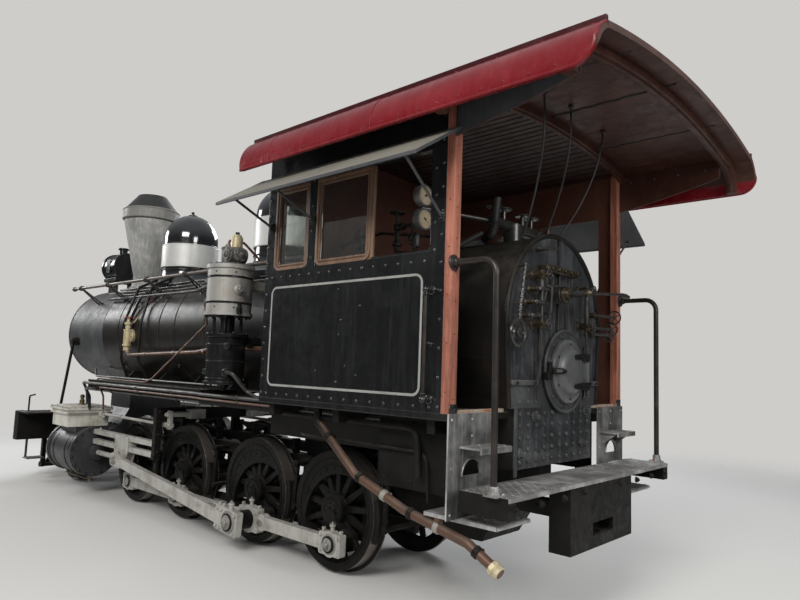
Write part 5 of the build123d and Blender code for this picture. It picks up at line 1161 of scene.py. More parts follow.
def build_backhead():
    """Staybolts, flange and rim of the back head, its plugs, valves and pipes, and the reach rods above it."""
    stays, jacket, fittings = Metalwork(), Metalwork(), Metalwork()
    x = BACKHEAD
    for row_number in range(7):
        z = 1.045 + row_number * 0.078
        for column in range(10):
            y = -0.475 + column * 0.1055
            if (y - FIRE_HOLE[0]) ** 2 + (z - FIRE_HOLE[1]) ** 2 > 0.31 ** 2 and (z < 1.39 or y > 0.22 or y < -0.42):
                stays.turned(at(x, y, z), -AHEAD, mm(16, 0, 15, 7, 9, 12, 0, 12.5), 10)
    for y, z, size in ((0.3, 1.335, 0.036), (0.47, 1.1, 0.036), (-0.44, 1.36, 0.034), (-0.4, 1.12, 0.032)):
        stays.turned(at(x, y, z), -AHEAD, mm(34, 0, 34, 10, 28, 13), 20)
        stays.block(at(x - 0.052, y - size / 2, z - size / 2), at(x - 0.008, y + size / 2, z + size / 2), 0, 0.004)
    stays.block(at(x - 0.01, 0.508, 0.955), at(x + 0.001, 0.544, 1.405), 0, 0.003)
    for y0, y1 in ((0.205, 0.612), (-0.612, -0.405)):
        stays.block(at(x - 0.003, y0, 1.395), at(x + 0.001, y1, 1.552), 0, 0.001)
    stays.piece("staybolts", "graphite", smooth_angle=40)
    for y0, y1 in ((0.29, 0.615), (-0.615, -0.42)):
        jacket.block(at(x - 0.034, y0, 1.546), at(x + 0.001, y1, 1.582), 1, 0.007)
        for place in along(at(x - 0.034, y0 + 0.05, 1.564), at(x - 0.034, y1 - 0.05, 1.564), 0.16):
            jacket.bolt(place, -AHEAD, 0.011, 0, False)
    outline = [(0.612, 1.4), (0.64, 1.72)]
    outline += [around(a, 0.652) for a in range(0, 181, 6)]
    outline += [(-0.64, 1.72), (-0.612, 1.4)]
    jacket.tube([at(x - 0.004, y, z) for y, z in outline], 0.017, 10)
    fire_ring = circle(at(x - 0.022, *FIRE_HOLE), LEFT, UP, 0.292, 10)
    jacket.tube(fire_ring, 0.012, 8, 1, True)
    for a in range(15, 360, 30):
        jacket.rivet(rim(at(x - 0.024, *FIRE_HOLE), LEFT, UP, 0.255, a), -AHEAD, 0.013, 1)
    jacket.tube([at(x - 0.005, y, z) for y, z in ((-0.02, 2.6), (-0.02, 1.98))], 0.01, 8)
    jacket.tube(bent([at(x - 0.008, y, z) for y, z in ((0.245, 2.13), (0.235, 1.62), (0.3, 1.564), (0.34, 1.564))],
                     0.06), 0.011, 8, 1)
    jacket.piece("backhead_jacket", ("jacket_black", "graphite"))

    for y, low, high in ((0.33, 1.93, 2.33), (-0.33, 1.96, 2.29)):
        for z in (low + 0.03, high - 0.03):
            fittings.turned(at(x - 0.07, y, z - 0.03), UP, mm(24, 0, 27, 8, 27, 52, 24, 60), 6, 1)
            fittings.turned(at(x, y, z), -AHEAD, mm(40, 0, 40, 10, 26, 14, 26, 98, 12, 104, 12, 128), 16, 1)
            handwheel(fittings, at(x - 0.13, y, z), -AHEAD, 0.032, 2, 4, 0.005)
        fittings.tube([at(x - 0.07, y, low - 0.02), at(x - 0.07, y, low - 0.16), at(x - 0.03, y - 0.03, low - 0.3),
                       at(x - 0.03, y - 0.03, 1.44)], 0.008, 8)
    for index in range(3):
        z, y = 2.01 + index * 0.095, 0.47 - index * 0.045
        fittings.turned(at(x, y, z), -AHEAD, mm(30, 0, 30, 10, 19, 14, 19, 70), 6, 1)
        fittings.turned(at(x - 0.09, y - 0.095, z), LEFT, mm(13, 0, 16, 10, 11, 32), 12, 2)
    for z, reach in ((1.99, 0.8), (2.09, 0.86), (1.94, 0.74)):
        y = -0.5 if z > 1.95 else -0.46
        fittings.turned(at(x, y, z), -AHEAD, mm(32, 0, 32, 12, 22, 16, 22, 60), 6, 1)
        fittings.tube([at(x - 0.05, y, z), at(x - 0.05, -reach, z + 0.01)], 0.01, 8, 2)
        handwheel(fittings, at(x - 0.05, -reach, z + 0.01), -LEFT, 0.052, 2)
    fittings.turned(at(x - 0.262, 0.06, 2.19), -AHEAD, mm(30, 0, 30, 18, 22, 22, 14, 46), 6, 1)
    fittings.turned(at(x - 0.092, 0.06, 2.19), -AHEAD, mm(58, 0, 58, 14, 46, 20, 40, 48, 30, 54), 24, 1)
    for spot in circle(at(x - 0.09, 0.06, 2.19), LEFT, UP, 0.047, 60):
        fittings.bolt(spot, -AHEAD, 0.0085, 1)
    fittings.turned(at(x - 0.3, -0.405, 2.225), -LEFT, mm(12, 0, 18, 20, 20, 90, 12, 150, 6, 155), 14, 2)
    block_y = 0.02
    fittings.block(at(x - 0.075, block_y - 0.2, 2.335), at(x - 0.002, block_y + 0.23, 2.385), 1, 0.01)
    for i in range(5):
        y = block_y - 0.17 + i * 0.09
        fittings.turned(at(x - 0.075, y, 2.36), -AHEAD, mm(18, 0, 18, 20, 10, 24, 10, 45), 6, 1)
        fittings.tube(bent([at(x - 0.038, y, 2.335), at(x - 0.038, y, 2.27 - 0.02 * i),
                            at(x - 0.02, y - 0.1 + 0.04 * i, 1.98), at(x - 0.02, y - 0.1 + 0.04 * i, 1.935)], 0.05),
                      0.0065, 8)
    beaded = [at(-1.755, y, z) for y, z in ((0.53, 2.34), (0.545, 2.27), (0.56, 2.19), (0.588, 2.05), (0.602, 1.965))]
    fittings.tube(beaded, 0.011, 10, 3)
    for start, end in zip(beaded, beaded[1:]):
        for place in along(start, end, 0.034):
            fittings.turned(place, end - start, mm(11, -8, 16.5, -3, 16.5, 3, 11, 8), 10, 3)
    ring = circle(at(-1.758, 0.615, 1.885), LEFT, UP, 0.082, 15)
    fittings.tube(ring, 0.013, 8, 3, True)
    fittings.turned(at(x, 0.6, 1.885), -AHEAD, mm(40, 0, 40, 45, 30, 52, 30, 74, 14, 78), 18, 3)
    fittings.tube([at(x + 0.01, 0.575, 1.885), at(-1.758, 0.536, 1.885)], 0.012, 8)
    fittings.tube([at(x + 0.01, 0.53, 2.34), at(-1.755, 0.53, 2.34)], 0.014, 8, 3)
    fittings.tube([at(-1.79, 0.44, 2.462), at(-1.79, 0.15, 2.505)], 0.009, 8, 3)
    fittings.tube([at(x + 0.01, 0.29, 2.483), at(-1.79, 0.29, 2.484)], 0.014, 8, 1)
    fittings.tube([at(-1.8, 0.32, 2.219), at(-1.8, 0.02, 2.252)], 0.009, 8, 3)
    fittings.tube(bent([at(x + 0.01, 0.265, 2.04), at(-1.795, 0.265, 2.04), at(-1.8, 0.265, 2.225)], 0.03), 0.01, 8,
                  3)
    fittings.piece("backhead_pipes", ("pipe_black", "oily_bronze", "rubber_black", "oily_steel"), smooth_angle=36)

    rods = Metalwork()
    for (x0, y0), (x1, y1, z1), sway in (
            ((-1.93, 0.62), (-1.63, 0.4, 2.52), 0.1), ((-1.93, 0.26), (-1.62, 0.08, 2.6), 0.06),
            ((-1.9, -0.3), (-1.66, -0.06, 2.62), -0.05)):
        z0 = roof_crown(abs(y0)) - 0.045
        route = []
        for i in range(15):
            t = i / 14
            bow = sin(pi * t) * sway
            route.append(at(x0 + (x1 - x0) * t * t - bow * 0.4, y0 + (y1 - y0) * t ** 1.6 + bow * 0.5,
                            z0 + (z1 - z0) * t))
        rods.tube(route, 0.0075, 8)
        rods.turned(route[0] - UP * 0.012, UP, mm(22, 0, 22, 10, 12, 14), 12)
    elbow = bent([at(-1.2, 0.22, 2.62), at(-1.34, 0.3, 2.66), at(-1.38, 0.32, 2.9)], 0.1, 10)
    rods.tube(elbow, 0.03, 14)
    for here, after in zip(elbow[1:-1], elbow[2:]):
        rods.turned(here, after - here, mm(31, 0, 36, 4, 31, 8), 16)
    rods.piece("reach_rods", "rubber_black")


def build_gauges():
    """Two steam gauges with plain ticks, the turret's valve wheels, and the injector's valve with its pipes."""
    work = Metalwork()
    turret_z = BOILER_HEIGHT + 0.77
    for rise, reading in ((0.72, 215), (0.892, 160)):
        centre = at(-1.07, 0.765, BOILER_HEIGHT + rise)
        work.turned(centre, -AHEAD, mm(76, -52, 81, -48, 81, -12, 79, 0, 73, 6, 68, 4, 66, -1, 0, -1), 36)
        work.turned(centre, -AHEAD, mm(65.5, -3.2, 65.5, 0.4, 0, 0.4), 36, 1)
        for i in range(25):
            angle = radians(-45 + i * 270 / 24)
            way = LEFT * cos(angle) + UP * sin(angle)
            across = LEFT * -sin(angle) + UP * cos(angle)
            length, width = (0.013, 0.0018) if i % 4 == 0 else (0.007, 0.0011)
            base = centre - AHEAD * 0.0006
            corners = [base + way * r + across * w
                       for r, w in ((0.06, width), (0.06, -width), (0.06 - length, -width), (0.06 - length, width))]
            work.add(corners + [c - AHEAD * 0.0004 for c in corners],
                     [[4, 5, 6, 7], [0, 3, 2, 1], [0, 1, 5, 4], [1, 2, 6, 5], [2, 3, 7, 6], [3, 0, 4, 7]], 2)
        angle = radians(reading)
        way, across = LEFT * cos(angle) + UP * sin(angle), LEFT * -sin(angle) + UP * cos(angle)
        base = centre - AHEAD * 0.0022
        needle = [base - way * 0.018 + across * 0.0035, base - way * 0.018 - across * 0.0035, base + way * 0.05]
        work.add(needle + [p - AHEAD * 0.001 for p in needle],
                 [[3, 4, 5], [0, 2, 1], [0, 1, 4, 3], [1, 2, 5, 4], [2, 0, 3, 5]], 2)
        work.turned(centre, -AHEAD, mm(9, 0, 9, 4.5, 0, 6), 14, 2)
    for y in (-0.26, -0.13, 0.13, 0.26):
        handwheel(work, at(-1.31, y, turret_z + 0.118), UP, 0.056, 3, 6, 0.007)
    work.piece("gauges", ("pump_head", "dial_cream", "dial_black", "rubber_black"), smooth_angle=36)
    stand = Metalwork()
    foot = at(-0.6, 0.55, 2.6)
    stand.turned(foot, UP, mm(40, -20, 40, 0, 22, 20, 18, 50, 18, 100, 34, 110, 34, 150, 16, 160, 10, 200, 10, 245),
                 16)
    handwheel(stand, foot + UP * 0.245, UP, 0.056, 0, 5, 0.008)
    stand.turned(foot + UP * 0.13, -AHEAD, mm(24, 0, 24, 50, 32, 55, 32, 80), 8)
    stand.tube(bent([foot - UP * 0.01, at(-0.6, 0.55, 2.52), at(-1.05, 0.56, 2.46), at(-1.28, 0.36, 2.64)], 0.1),
               0.02, 12)
    stand.tube(bent([foot + UP * 0.13 - AHEAD * 0.08, at(-0.8, 0.6, 2.72), at(-0.88, 0.66, 2.5), at(-1.2, 0.7, 2.36)],
                    0.08), 0.013, 10)
    stand.tube(bent([at(0.2, 0.42, 2.66), at(-0.1, 0.5, 2.7), at(-0.35, 0.62, 2.68), at(-0.42, 0.68, 2.5),
                     at(-0.42, 0.6, 2.28)], 0.12), 0.017, 12)
    stand.tube(bent([at(0.2, 0.3, 2.72), at(-0.3, 0.42, 2.74), at(-0.95, 0.52, 2.62), at(-1.15, 0.6, 2.44),
                     at(-1.15, 0.6, 2.25)], 0.15), 0.012, 10)
    for x, y, z, radius, tall in (
            (-0.42, 0.66, 2.52, 0.034, 0.07), (-0.2, 0.56, 2.62, 0.03, 0.12), (-0.86, 0.62, 2.54, 0.032, 0.08),
            (-1.15, 0.6, 2.36, 0.03, 0.06)):
        stand.turned(at(x, y, z), UP, ((radius * 0.7, -0.01), (radius, 0), (radius, tall),
                                       (radius * 0.6, tall + 0.012), (radius * 0.3, tall + 0.03)), 8)
        handwheel(stand, at(x, y + 0.05, z + tall / 2), LEFT, radius * 1.1, 0, 4, 0.006)
    stand.turned(at(-0.28, 0.62, 2.42), UP, mm(60, 0, 60, 150, 50, 165, 20, 170, 20, 200), 20)
    stand.tube([at(-0.28, 0.62, 2.42), at(-0.28, 0.58, 2.25)], 0.018, 10)
    stand.piece("injector_valve", "rubber_black")


def build_fire_door():
    """Dished door with strap hinges, latch and rivets."""
    work = Metalwork()
    x = BACKHEAD - 0.0505
    centre = at(x, *FIRE_HOLE)
    work.turned(centre, -AHEAD, mm(226, -4, 226, 4, 214, 10, 176, 11, 170, 20, 155, 38, 120, 52, 60, 60, 0, 62), 40)
    for z in (-0.105, 0.105):
        outline = [(-0.284, -0.03), (-0.02, -0.022), (0.02, -0.012), (0.02, 0.012), (-0.02, 0.022), (-0.284, 0.03)]
        points = []
        for lift in (0.0, 0.013):
            for a, b in outline:
                bulge = 0.01 + (0.046 if a > -0.2 else 0.0)
                points.append(at(x - bulge - lift, FIRE_HOLE[0] + a, FIRE_HOLE[1] + z + b))
        n = len(outline)
        work.add(points, [list(range(n)), list(range(n, 2 * n))]
                 + [[i, (i + 1) % n, n + (i + 1) % n, n + i] for i in range(n)], 1)
        for y in (-0.27, -0.2, -0.13):
            work.bolt(at(x - 0.024 - (0.03 if y > -0.25 else 0.0), y, FIRE_HOLE[1] + z), -AHEAD, 0.012, 1, False)
    work.turned(at(-1.732, -0.4, 1.535), UP, mm(14, 0, 14, 230), 12, 1)
    work.block(at(x - 0.03, 0.03, 1.628), at(x - 0.012, 0.165, 1.672), 1, 0.005)
    work.turned(at(x - 0.03, 0.06, FIRE_HOLE[1]), -AHEAD, mm(20, 0, 20, 16, 12, 22, 12, 34), 14, 1)
    for a in range(0, 360, 60):
        work.rivet(rim(at(x - 0.01, *FIRE_HOLE), LEFT, UP, 0.196, a + 30), -AHEAD, 0.01, 1)
    work.piece("fire_door_straps", ("door_grey", "frame_black"), body="fire_door")
    catch = Metalwork()
    catch.block(at(BACKHEAD - 0.06, 0.15, 1.59), at(BACKHEAD, 0.205, 1.64), 0, 0.006)
    catch.turned(at(BACKHEAD - 0.052, 0.178, 1.64), UP, mm(13, 0, 13, 50, 18, 55, 18, 68), 12)
    catch.piece("fire_door_catch", "frame_black")


def cushion(name, low, high, finish):
    """A padded seat: a crowned box whose sides pull in between its corners, with a seam round it."""
    low, high = Vector(low), Vector(high)
    middle, half = (low + high) / 2, (high - low) / 2
    count_x, count_y, count_z = 26, 18, 6
    work = Metalwork()
    index, points, faces = {}, [], []

    def corner(i, j, k):
        key = (i, j, k)
        if key not in index:
            a, b, c = 2 * i / count_x - 1, 2 * j / count_y - 1, 2 * k / count_z - 1
            u = max(abs(a) ** 6, abs(b) ** 6, abs(c) ** 6) ** (1 / 6)
            round_off = (abs(a) ** 8 + abs(b) ** 8 + abs(c) ** 4) ** (1 / 8) / max(u, 1e-9)
            shape = Vector((a, b, c)) / max(1.0, round_off)
            pull = 1 - 0.028 * (1 - c * c) * (1 - shape.y ** 2)
            pull_y = 1 - 0.028 * (1 - c * c) * (1 - shape.x ** 2)
            crown = 1.0 if c < 0 else 0.8 + 0.2 * (1 - shape.x ** 4) * (1 - shape.y ** 4)
            seam = 0.9975 if abs(c) < 0.05 else 1.0
            points.append(middle + Vector((shape.x * half.x * pull * seam, shape.y * half.y * pull_y * seam,
                                           shape.z * half.z * crown)))
            index[key] = len(points) - 1
        return index[key]

    for i in range(count_x):
        for j in range(count_y):
            for k in (0, count_z):
                face = [corner(i, j, k), corner(i + 1, j, k), corner(i + 1, j + 1, k), corner(i, j + 1, k)]
                faces.append(face if k else face[::-1])
    for i in range(count_x):
        for k in range(count_z):
            for j in (0, count_y):
                face = [corner(i, j, k), corner(i + 1, j, k), corner(i + 1, j, k + 1), corner(i, j, k + 1)]
                faces.append(face[::-1] if j else face)
    for j in range(count_y):
        for k in range(count_z):
            for i in (0, count_x):
                face = [corner(i, j, k), corner(i, j + 1, k), corner(i, j + 1, k + 1), corner(i, j, k + 1)]
                faces.append(face if i else face[::-1])
    work.add(points, faces)
    made = work.piece(name, finish, smooth_angle=60)


def build_seats():
    """Seat cushions on their boxes, with hinges and a hasp on each box."""
    boxes = Metalwork()
    for side, name in SIDES:
        on = mirrored(side)
        cushion("seat_cushion_" + name, on(-1.345, 0.732, 1.832), on(-0.465, 1.112, 1.915), "seat_leather")
        boxes.block(on(-1.352, 0.728, 1.826), on(-0.458, 1.117, 1.836), 0, 0.003)
        boxes.block(on(-1.3312, 0.8, 1.44), on(-1.3345, 1.05, 1.78), 0, 0.002)
        for place in along(on(-1.3345, 0.82, 1.76), on(-1.3345, 1.03, 1.76), 0.105):
            boxes.rivet(place, -AHEAD, 0.007)
        boxes.block(on(-1.338, 0.9, 1.7), on(-1.331, 0.95, 1.8), 1, 0.002)
    boxes.piece("seat_box_fittings", ("seat_black", "bright_steel"))


def lozenges(work, x0, x1, y0, y1, z, pitch=0.034, ink=0):
    """Raised lozenges of a chequered plate, turned alternately."""
    across = int((x1 - x0) / pitch)
    deep = int((y1 - y0) / pitch)
    for i in range(across):
        for j in range(deep):
            centre = Vector((REAR_AXLE_X + x0 + (i + 0.5) * (x1 - x0) / across, y0 + (j + 0.5) * (y1 - y0) / deep,
                             RAIL_Z + z))
            turn = radians(45 if (i + j) % 2 else 135)
            long, wide = Vector((cos(turn), sin(turn), 0)) * 0.0135, Vector((-sin(turn), cos(turn), 0)) * 0.0042
            points = [centre + long, centre + wide, centre - long, centre - wide]
            points += [centre + (p - centre) * 0.6 + UP * 0.0022 for p in points]
            work.add(points, [[4, 5, 6, 7], [0, 1, 5, 4], [1, 2, 6, 5], [2, 3, 7, 6], [3, 0, 4, 7], [3, 2, 1, 0]],
                     ink)


def build_deck():
    """Chequered plates on the rear deck and steps, their bolts and the steps' edges."""
    work, raised, edges = Metalwork(), Metalwork(), Metalwork()
    for x0, x1, y0, y1, z in (
            (-2.045, -1.74, 0.62, 1.145, 0.95), (-2.045, -1.74, -1.145, -0.36, 0.95),
            (-1.925, -1.67, 0.745, 1.075, 0.77), (-1.925, -1.67, -1.075, -0.745, 0.77)):
        work.block(at(x0, y0, z - 0.001), at(x1, y1, z + 0.0035), 0, 0.0015)
        lozenges(raised, x0 + 0.01, x1 - 0.01, y0 + 0.01, y1 - 0.01, z + 0.0035)
        for x in (x0 + 0.02, x1 - 0.02):
            for y in (y0 + 0.02, y1 - 0.02):
                raised.rivet(at(x, y, z + 0.0035), UP, 0.008)
    for side in (1, -1):
        on = mirrored(side)
        work.block(on(-1.818, 0.765, 1.183), on(-1.665, 1.075, 1.1865), 0, 0.0012)
        for x, y in ((-1.79, 0.8), (-1.79, 1.04), (-1.69, 0.92)):
            raised.rivet(on(x, y, 1.1865), UP, 0.009)
        for y, z in (
                (0.76, 1.34), (0.96, 1.34), (1.16, 1.34), (0.76, 0.8), (0.76, 1.06), (1.16, 0.8), (1.16, 1.06),
                (0.96, 0.86), (0.96, 1.24)):
            edges.rivet(on(-1.6623, y, z), -AHEAD, 0.0085)
        arc = [rim(on(-1.666, 0.96, 1.01), LEFT * side, UP, 0.099, a) for a in range(0, 181, 12)]
        edges.tube(arc, 0.006, 8)
        edges.tube([on(-1.928, 0.735, 0.758), on(-1.928, 1.075, 0.758)], 0.013, 8)
        edges.block(on(-1.655, 1.1, 1.3705), on(0.215, 1.177, 1.381), 1, 0.003)
        edges.block(on(-1.66, 1.174, 1.333), on(0.218, 1.1835, 1.374), 3, 0.003)
        edges.block(on(-1.652, 0.6, 1.3695), on(-1.612, 1.105, 1.395), 2, 0.004)
    for i in (-4, -3, -2, -1, 1, 2, 3, 4):
        edges.bolt(at(-2.05, 0.27 * i, 0.885), -AHEAD, 0.017, 1)
    edges.block(at(-2.0535, -1.15, 0.925), at(-2.0485, 1.15, 0.951), 0, 0.002)
    work.piece("deck_plates", "tread_plate")
    raised.piece("deck_lozenges", "lozenge_steel", smooth_angle=20)
    edges.piece("step_edges", ("deck_steel", "frame_black", "rusty_sill", "black_paint"))


# ---------------------------------------------------------------- boiler and its fittings


def around(angle, radius):
    """Y and height above the rail on a circle about the boiler's centre line, the angle up from the left."""
    return radius * cos(radians(angle)), BOILER_HEIGHT + radius * sin(radians(angle))


def radial(angle):
    """Away from the boiler's centre line, the angle up from the left."""
    return Vector((0, cos(radians(angle)), sin(radians(angle))))


def build_boiler_details():
    """Clamps of the jacket's bands, washout plugs and the thin pipes along the barrel."""
    work = Metalwork()
    for step in (0.96, 2.03, 2.64, 2.99, 4.02):
        for side in (1, -1):
            angle = -38 if side > 0 else 218
            y, z = around(angle, 0.655)
            work.block(at(step - 0.024, y - 0.02, z - 0.02), at(step + 0.024, y + 0.02, z + 0.02), 0, 0.004)
            for dx in (-0.012, 0.012):
                work.bolt(at(step + dx, *around(angle, 0.676)), radial(angle), 0.01)
        for edge in (-0.0285, 0.0285):
            ring = [at(step + edge, *around(a, 0.6535)) for a in range(0, 360, 5)]
            work.tube(ring, 0.0024, 6, 2, True)
    for side in (1, -1):
        for step in (0.36, 0.72):
            angle = 34 if side > 0 else 146
            base = at(step, *around(angle, 0.649))
            work.turned(base, radial(angle), mm(45, 0, 45, 6, 30, 10, 30, 22), 20, 1)
            work.turned(base + radial(angle) * 0.02, radial(angle), mm(18, 0, 18, 20, 14, 24), 4, 1)
    work.piece("boiler_clamps", ("jacket_black", "brass", "rail_brown"))
    pipes = Metalwork()
    for side in (1, -1):
        for angle, radius, rear, front, ink in (
                (58, 0.675, 0.3, 4.66, 0), (52, 0.668, 1.1, 4.9, 0), (46, 0.664, 0.3, 4.4, 1),
                (63, 0.664, 1.15, 4.62, 1)):
            turn = angle if side > 0 else 180 - angle
            r = 0.013 if radius > 0.67 else 0.008
            sag = [at(rear + (front - rear) * i / 40, *around(turn + 0.5 * sin(i * 1.1 + angle), radius))
                   for i in range(41)]
            pipes.tube(sag, r, 8, ink)
            for step in (1.62, 2.34, 3.02, 3.95):
                if rear < step < front:
                    y, z = around(turn, radius)
                    pipes.turned(at(step - 0.012, y, z), AHEAD, ((r + 0.005, 0), (r + 0.005, 0.024)), 12)
                    foot = at(step, *around(turn, 0.648))
                    pipes.tube([foot, at(step, y, z)], 0.007, 6)
    pipes.piece("barrel_pipes", ("pipe_black", "rail_brown"))


def build_smokebox_details():
    """Rivet rings, the door's dogs and hinge bolts, and the braces' bolts."""
    work = Metalwork()
    for step in (4.452, 4.512, 5.572):
        for i in range(60):
            a = 6 * (i + (0.5 if step == 4.512 else 0))
            if 238 < a < 302 and step < 5:
                continue
            work.rivet(at(step, *around(a, SMOKEBOX_RADIUS)), radial(a), 0.0115)
    for i in range(44):
        work.rivet(at(5.6, *around(360 * i / 44, 0.588)), AHEAD, 0.011)
    ring = [at(5.598, *around(a, 0.617)) for a in range(0, 360, 5)]
    work.tube(ring, 0.01, 8, 0, True)
    ring = [at(4.437, *around(a, 0.64)) for a in range(0, 360, 5)]
    work.tube(ring, 0.013, 8, 0, True)
    for angle in range(0, 360, 30):
        if 150 < angle < 210:
            continue
        way = radial(angle)
        base = at(5.602, *around(angle, 0.492))
        across = AHEAD.cross(way)
        for lift, reach_in, reach_out, half in ((0.0, 0.0, 0.03, 0.022), (0.026, -0.07, 0.03, 0.018)):
            points = []
            for x in (lift, lift + 0.024):
                for r, w in ((reach_in, -half), (reach_out, -half), (reach_out, half), (reach_in, half)):
                    points.append(base + AHEAD * x + way * r + across * w)
            work.add(points, [[3, 2, 1, 0], [4, 5, 6, 7], [0, 1, 5, 4], [1, 2, 6, 5], [2, 3, 7, 6], [3, 0, 4, 7]], 0)
        work.bolt(base + AHEAD * 0.05 + way * 0.008, AHEAD, 0.016)
    work.piece("smokebox_rivets", "graphite", smooth_angle=42)
    door = Metalwork()
    x = 5.6025
    ring = [at(x + 0.023, *around(a, 0.425)) for a in range(0, 360, 5)]
    door.tube(ring, 0.01, 8, 0, True)
    for z in (-0.15, 0.15):
        for y in (-0.36, -0.24, -0.12, 0.0, 0.11):
            door.bolt(at(x + 0.04 + (0.012 if abs(y) < 0.25 else 0), y, BOILER_HEIGHT + z), AHEAD, 0.013, 0, False)
    door.turned(at(x + 0.08, 0, BOILER_HEIGHT), AHEAD, mm(55, -30, 55, 4, 46, 14, 22, 18, 22, 60, 14, 66), 24, 1)
    for angle in (100, 235):
        door.tube([at(x + 0.118, 0, BOILER_HEIGHT), rim(at(x + 0.13, 0, BOILER_HEIGHT), LEFT, UP, 0.19, angle)],
                  0.011, 10, 1)
    door.piece("smokebox_door_details", ("graphite", "bright_steel"), body="smokebox_door")
    braces = Metalwork()
    for side in (1, -1):
        on = mirrored(side)
        braces.turned(on(5.3, 0.682, 1.845), LEFT * side, mm(40, -2, 40, 6, 30, 12), 6)
        for spot in circle(on(5.3, 0.642, 1.845), AHEAD, UP, 0.048, 60):
            braces.bolt(spot, LEFT * side, 0.009, 0, False)
        for dx in (-0.03, 0.035):
            braces.bolt(on(5.555 + dx, 0.685, 0.89), UP, 0.014)
    braces.piece("brace_bolts", "frame_black")


def build_stack_details():
    """Beads, seam and rivets of the stack, and the bolts of its foot."""
    work = Metalwork()
    foot = BOILER_HEIGHT + SMOKEBOX_RADIUS
    x = 4.67

    def ring(radius, height, thick, ink):
        work.tube([at(x, 0, height) + level(7.5 * i) * radius for i in range(48)], thick, 8, ink, True)

    ring(0.369, foot + 0.974, 0.009, 1)
    ring(0.371, foot + 1.098, 0.008, 1)
    ring(0.355, foot + 0.956, 0.007, 2)
    ring(0.19, foot + 1.306, 0.011, 2)
    ring(0.174, foot + 0.152, 0.01, 0)
    ring(0.212, foot + 0.004, 0.012, 0)
    for i in range(26):
        out = level(360 * i / 26)
        work.rivet(at(x, 0, foot + 1.036) + out * 0.37, out, 0.0085, 1)
        work.rivet(at(x, 0, foot + 0.996) + out * 0.37, out, 0.006, 1)
    for i in range(20):
        out = level(18 * i)
        slope = Vector((out.x * 0.77, out.y * 0.77, 0.62))
        work.rivet(at(x, 0, foot + 1.137) + out * 0.33, slope, 0.008, 2)
    for a in (2.4, 5.5):
        out = Vector((cos(a), sin(a), 0))
        for i in range(14):
            t = (i + 0.5) / 14
            work.rivet(at(x, 0, foot + 0.15 + t * 0.804) + out * (0.172 + t * 0.18), out, 0.006)
        side = Vector((-out.y, out.x, 0))
        strip = []
        for t in (0.0, 1.0):
            for w in (-0.02, 0.02):
                for lift in (-0.002, 0.0022):
                    strip.append(at(x, 0, foot + 0.15 + t * 0.804) + out * (0.172 + t * 0.18 + lift) + side * w)
        work.add(strip, [[0, 2, 3, 1], [4, 5, 7, 6], [1, 3, 7, 5], [0, 4, 6, 2], [0, 1, 5, 4], [2, 6, 7, 3]], 0)
    for i in range(12):
        out = level(30 * i + 15)
        if abs(out.y) < 0.75:
            work.bolt(at(x, 0, foot - 0.012 + 0.03 * abs(out.x)) + out * 0.205, Vector((out.x, out.y, 0.9)), 0.011, 0,
                      False)
    work.piece("stack_details", ("stack_grey", "stack_band", "stack_cap"), smooth_angle=45)


def build_dome_details():
    """Beads of the domes' bands, the knobs on their tops and the sand pipes."""
    work = Metalwork()
    for x, radius, low, high, top in ((3.53, 0.33, 0.163, 0.444, 0.861), (1.5, 0.35, 0.214, 0.514, 0.904)):
        foot = BOILER_HEIGHT + BOILER_RADIUS
        for height, grow, thick, ink in (
                (low + 0.004, 0.006, 0.01, 1), (high - 0.004, 0.006, 0.01, 1), (0.125, 0.0, 0.012, 0),
                (high + 0.02, -0.004, 0.007, 0)):
            work.tube([at(x, 0, foot + height) + level(360 * i / 56) * (radius + grow) for i in range(56)], thick, 8,
                      ink, True)
        work.turned(at(x, 0, foot + top - 0.004), UP,
                    mm(60, -4, 60, 8, 40, 16, 16, 20, 16, 34, 24, 40, 20, 56, 0, 60), 24)
    work.piece("dome_beads", ("black_paint", "dome_band"), smooth_angle=50)
    sand = Metalwork()
    for side in (1, -1):
        on = mirrored(side)
        for step, lean in ((3.36, -0.05), (3.7, 0.05)):
            route = bent([on(step, 0.26, 2.66), on(step, 0.56, 2.5), on(step + lean, 0.69, 2.05),
                          on(step + lean, 0.69, 1.62), on(step + lean * 2, 0.55, 1.34)], 0.1)
            sand.tube(route, 0.016, 10)
            sand.turned(on(step, 0.285, 2.65), Vector((0, side, -0.4)), mm(32, -10, 32, 20, 24, 30), 14)
    sand.piece("sand_pipes", "jacket_black")


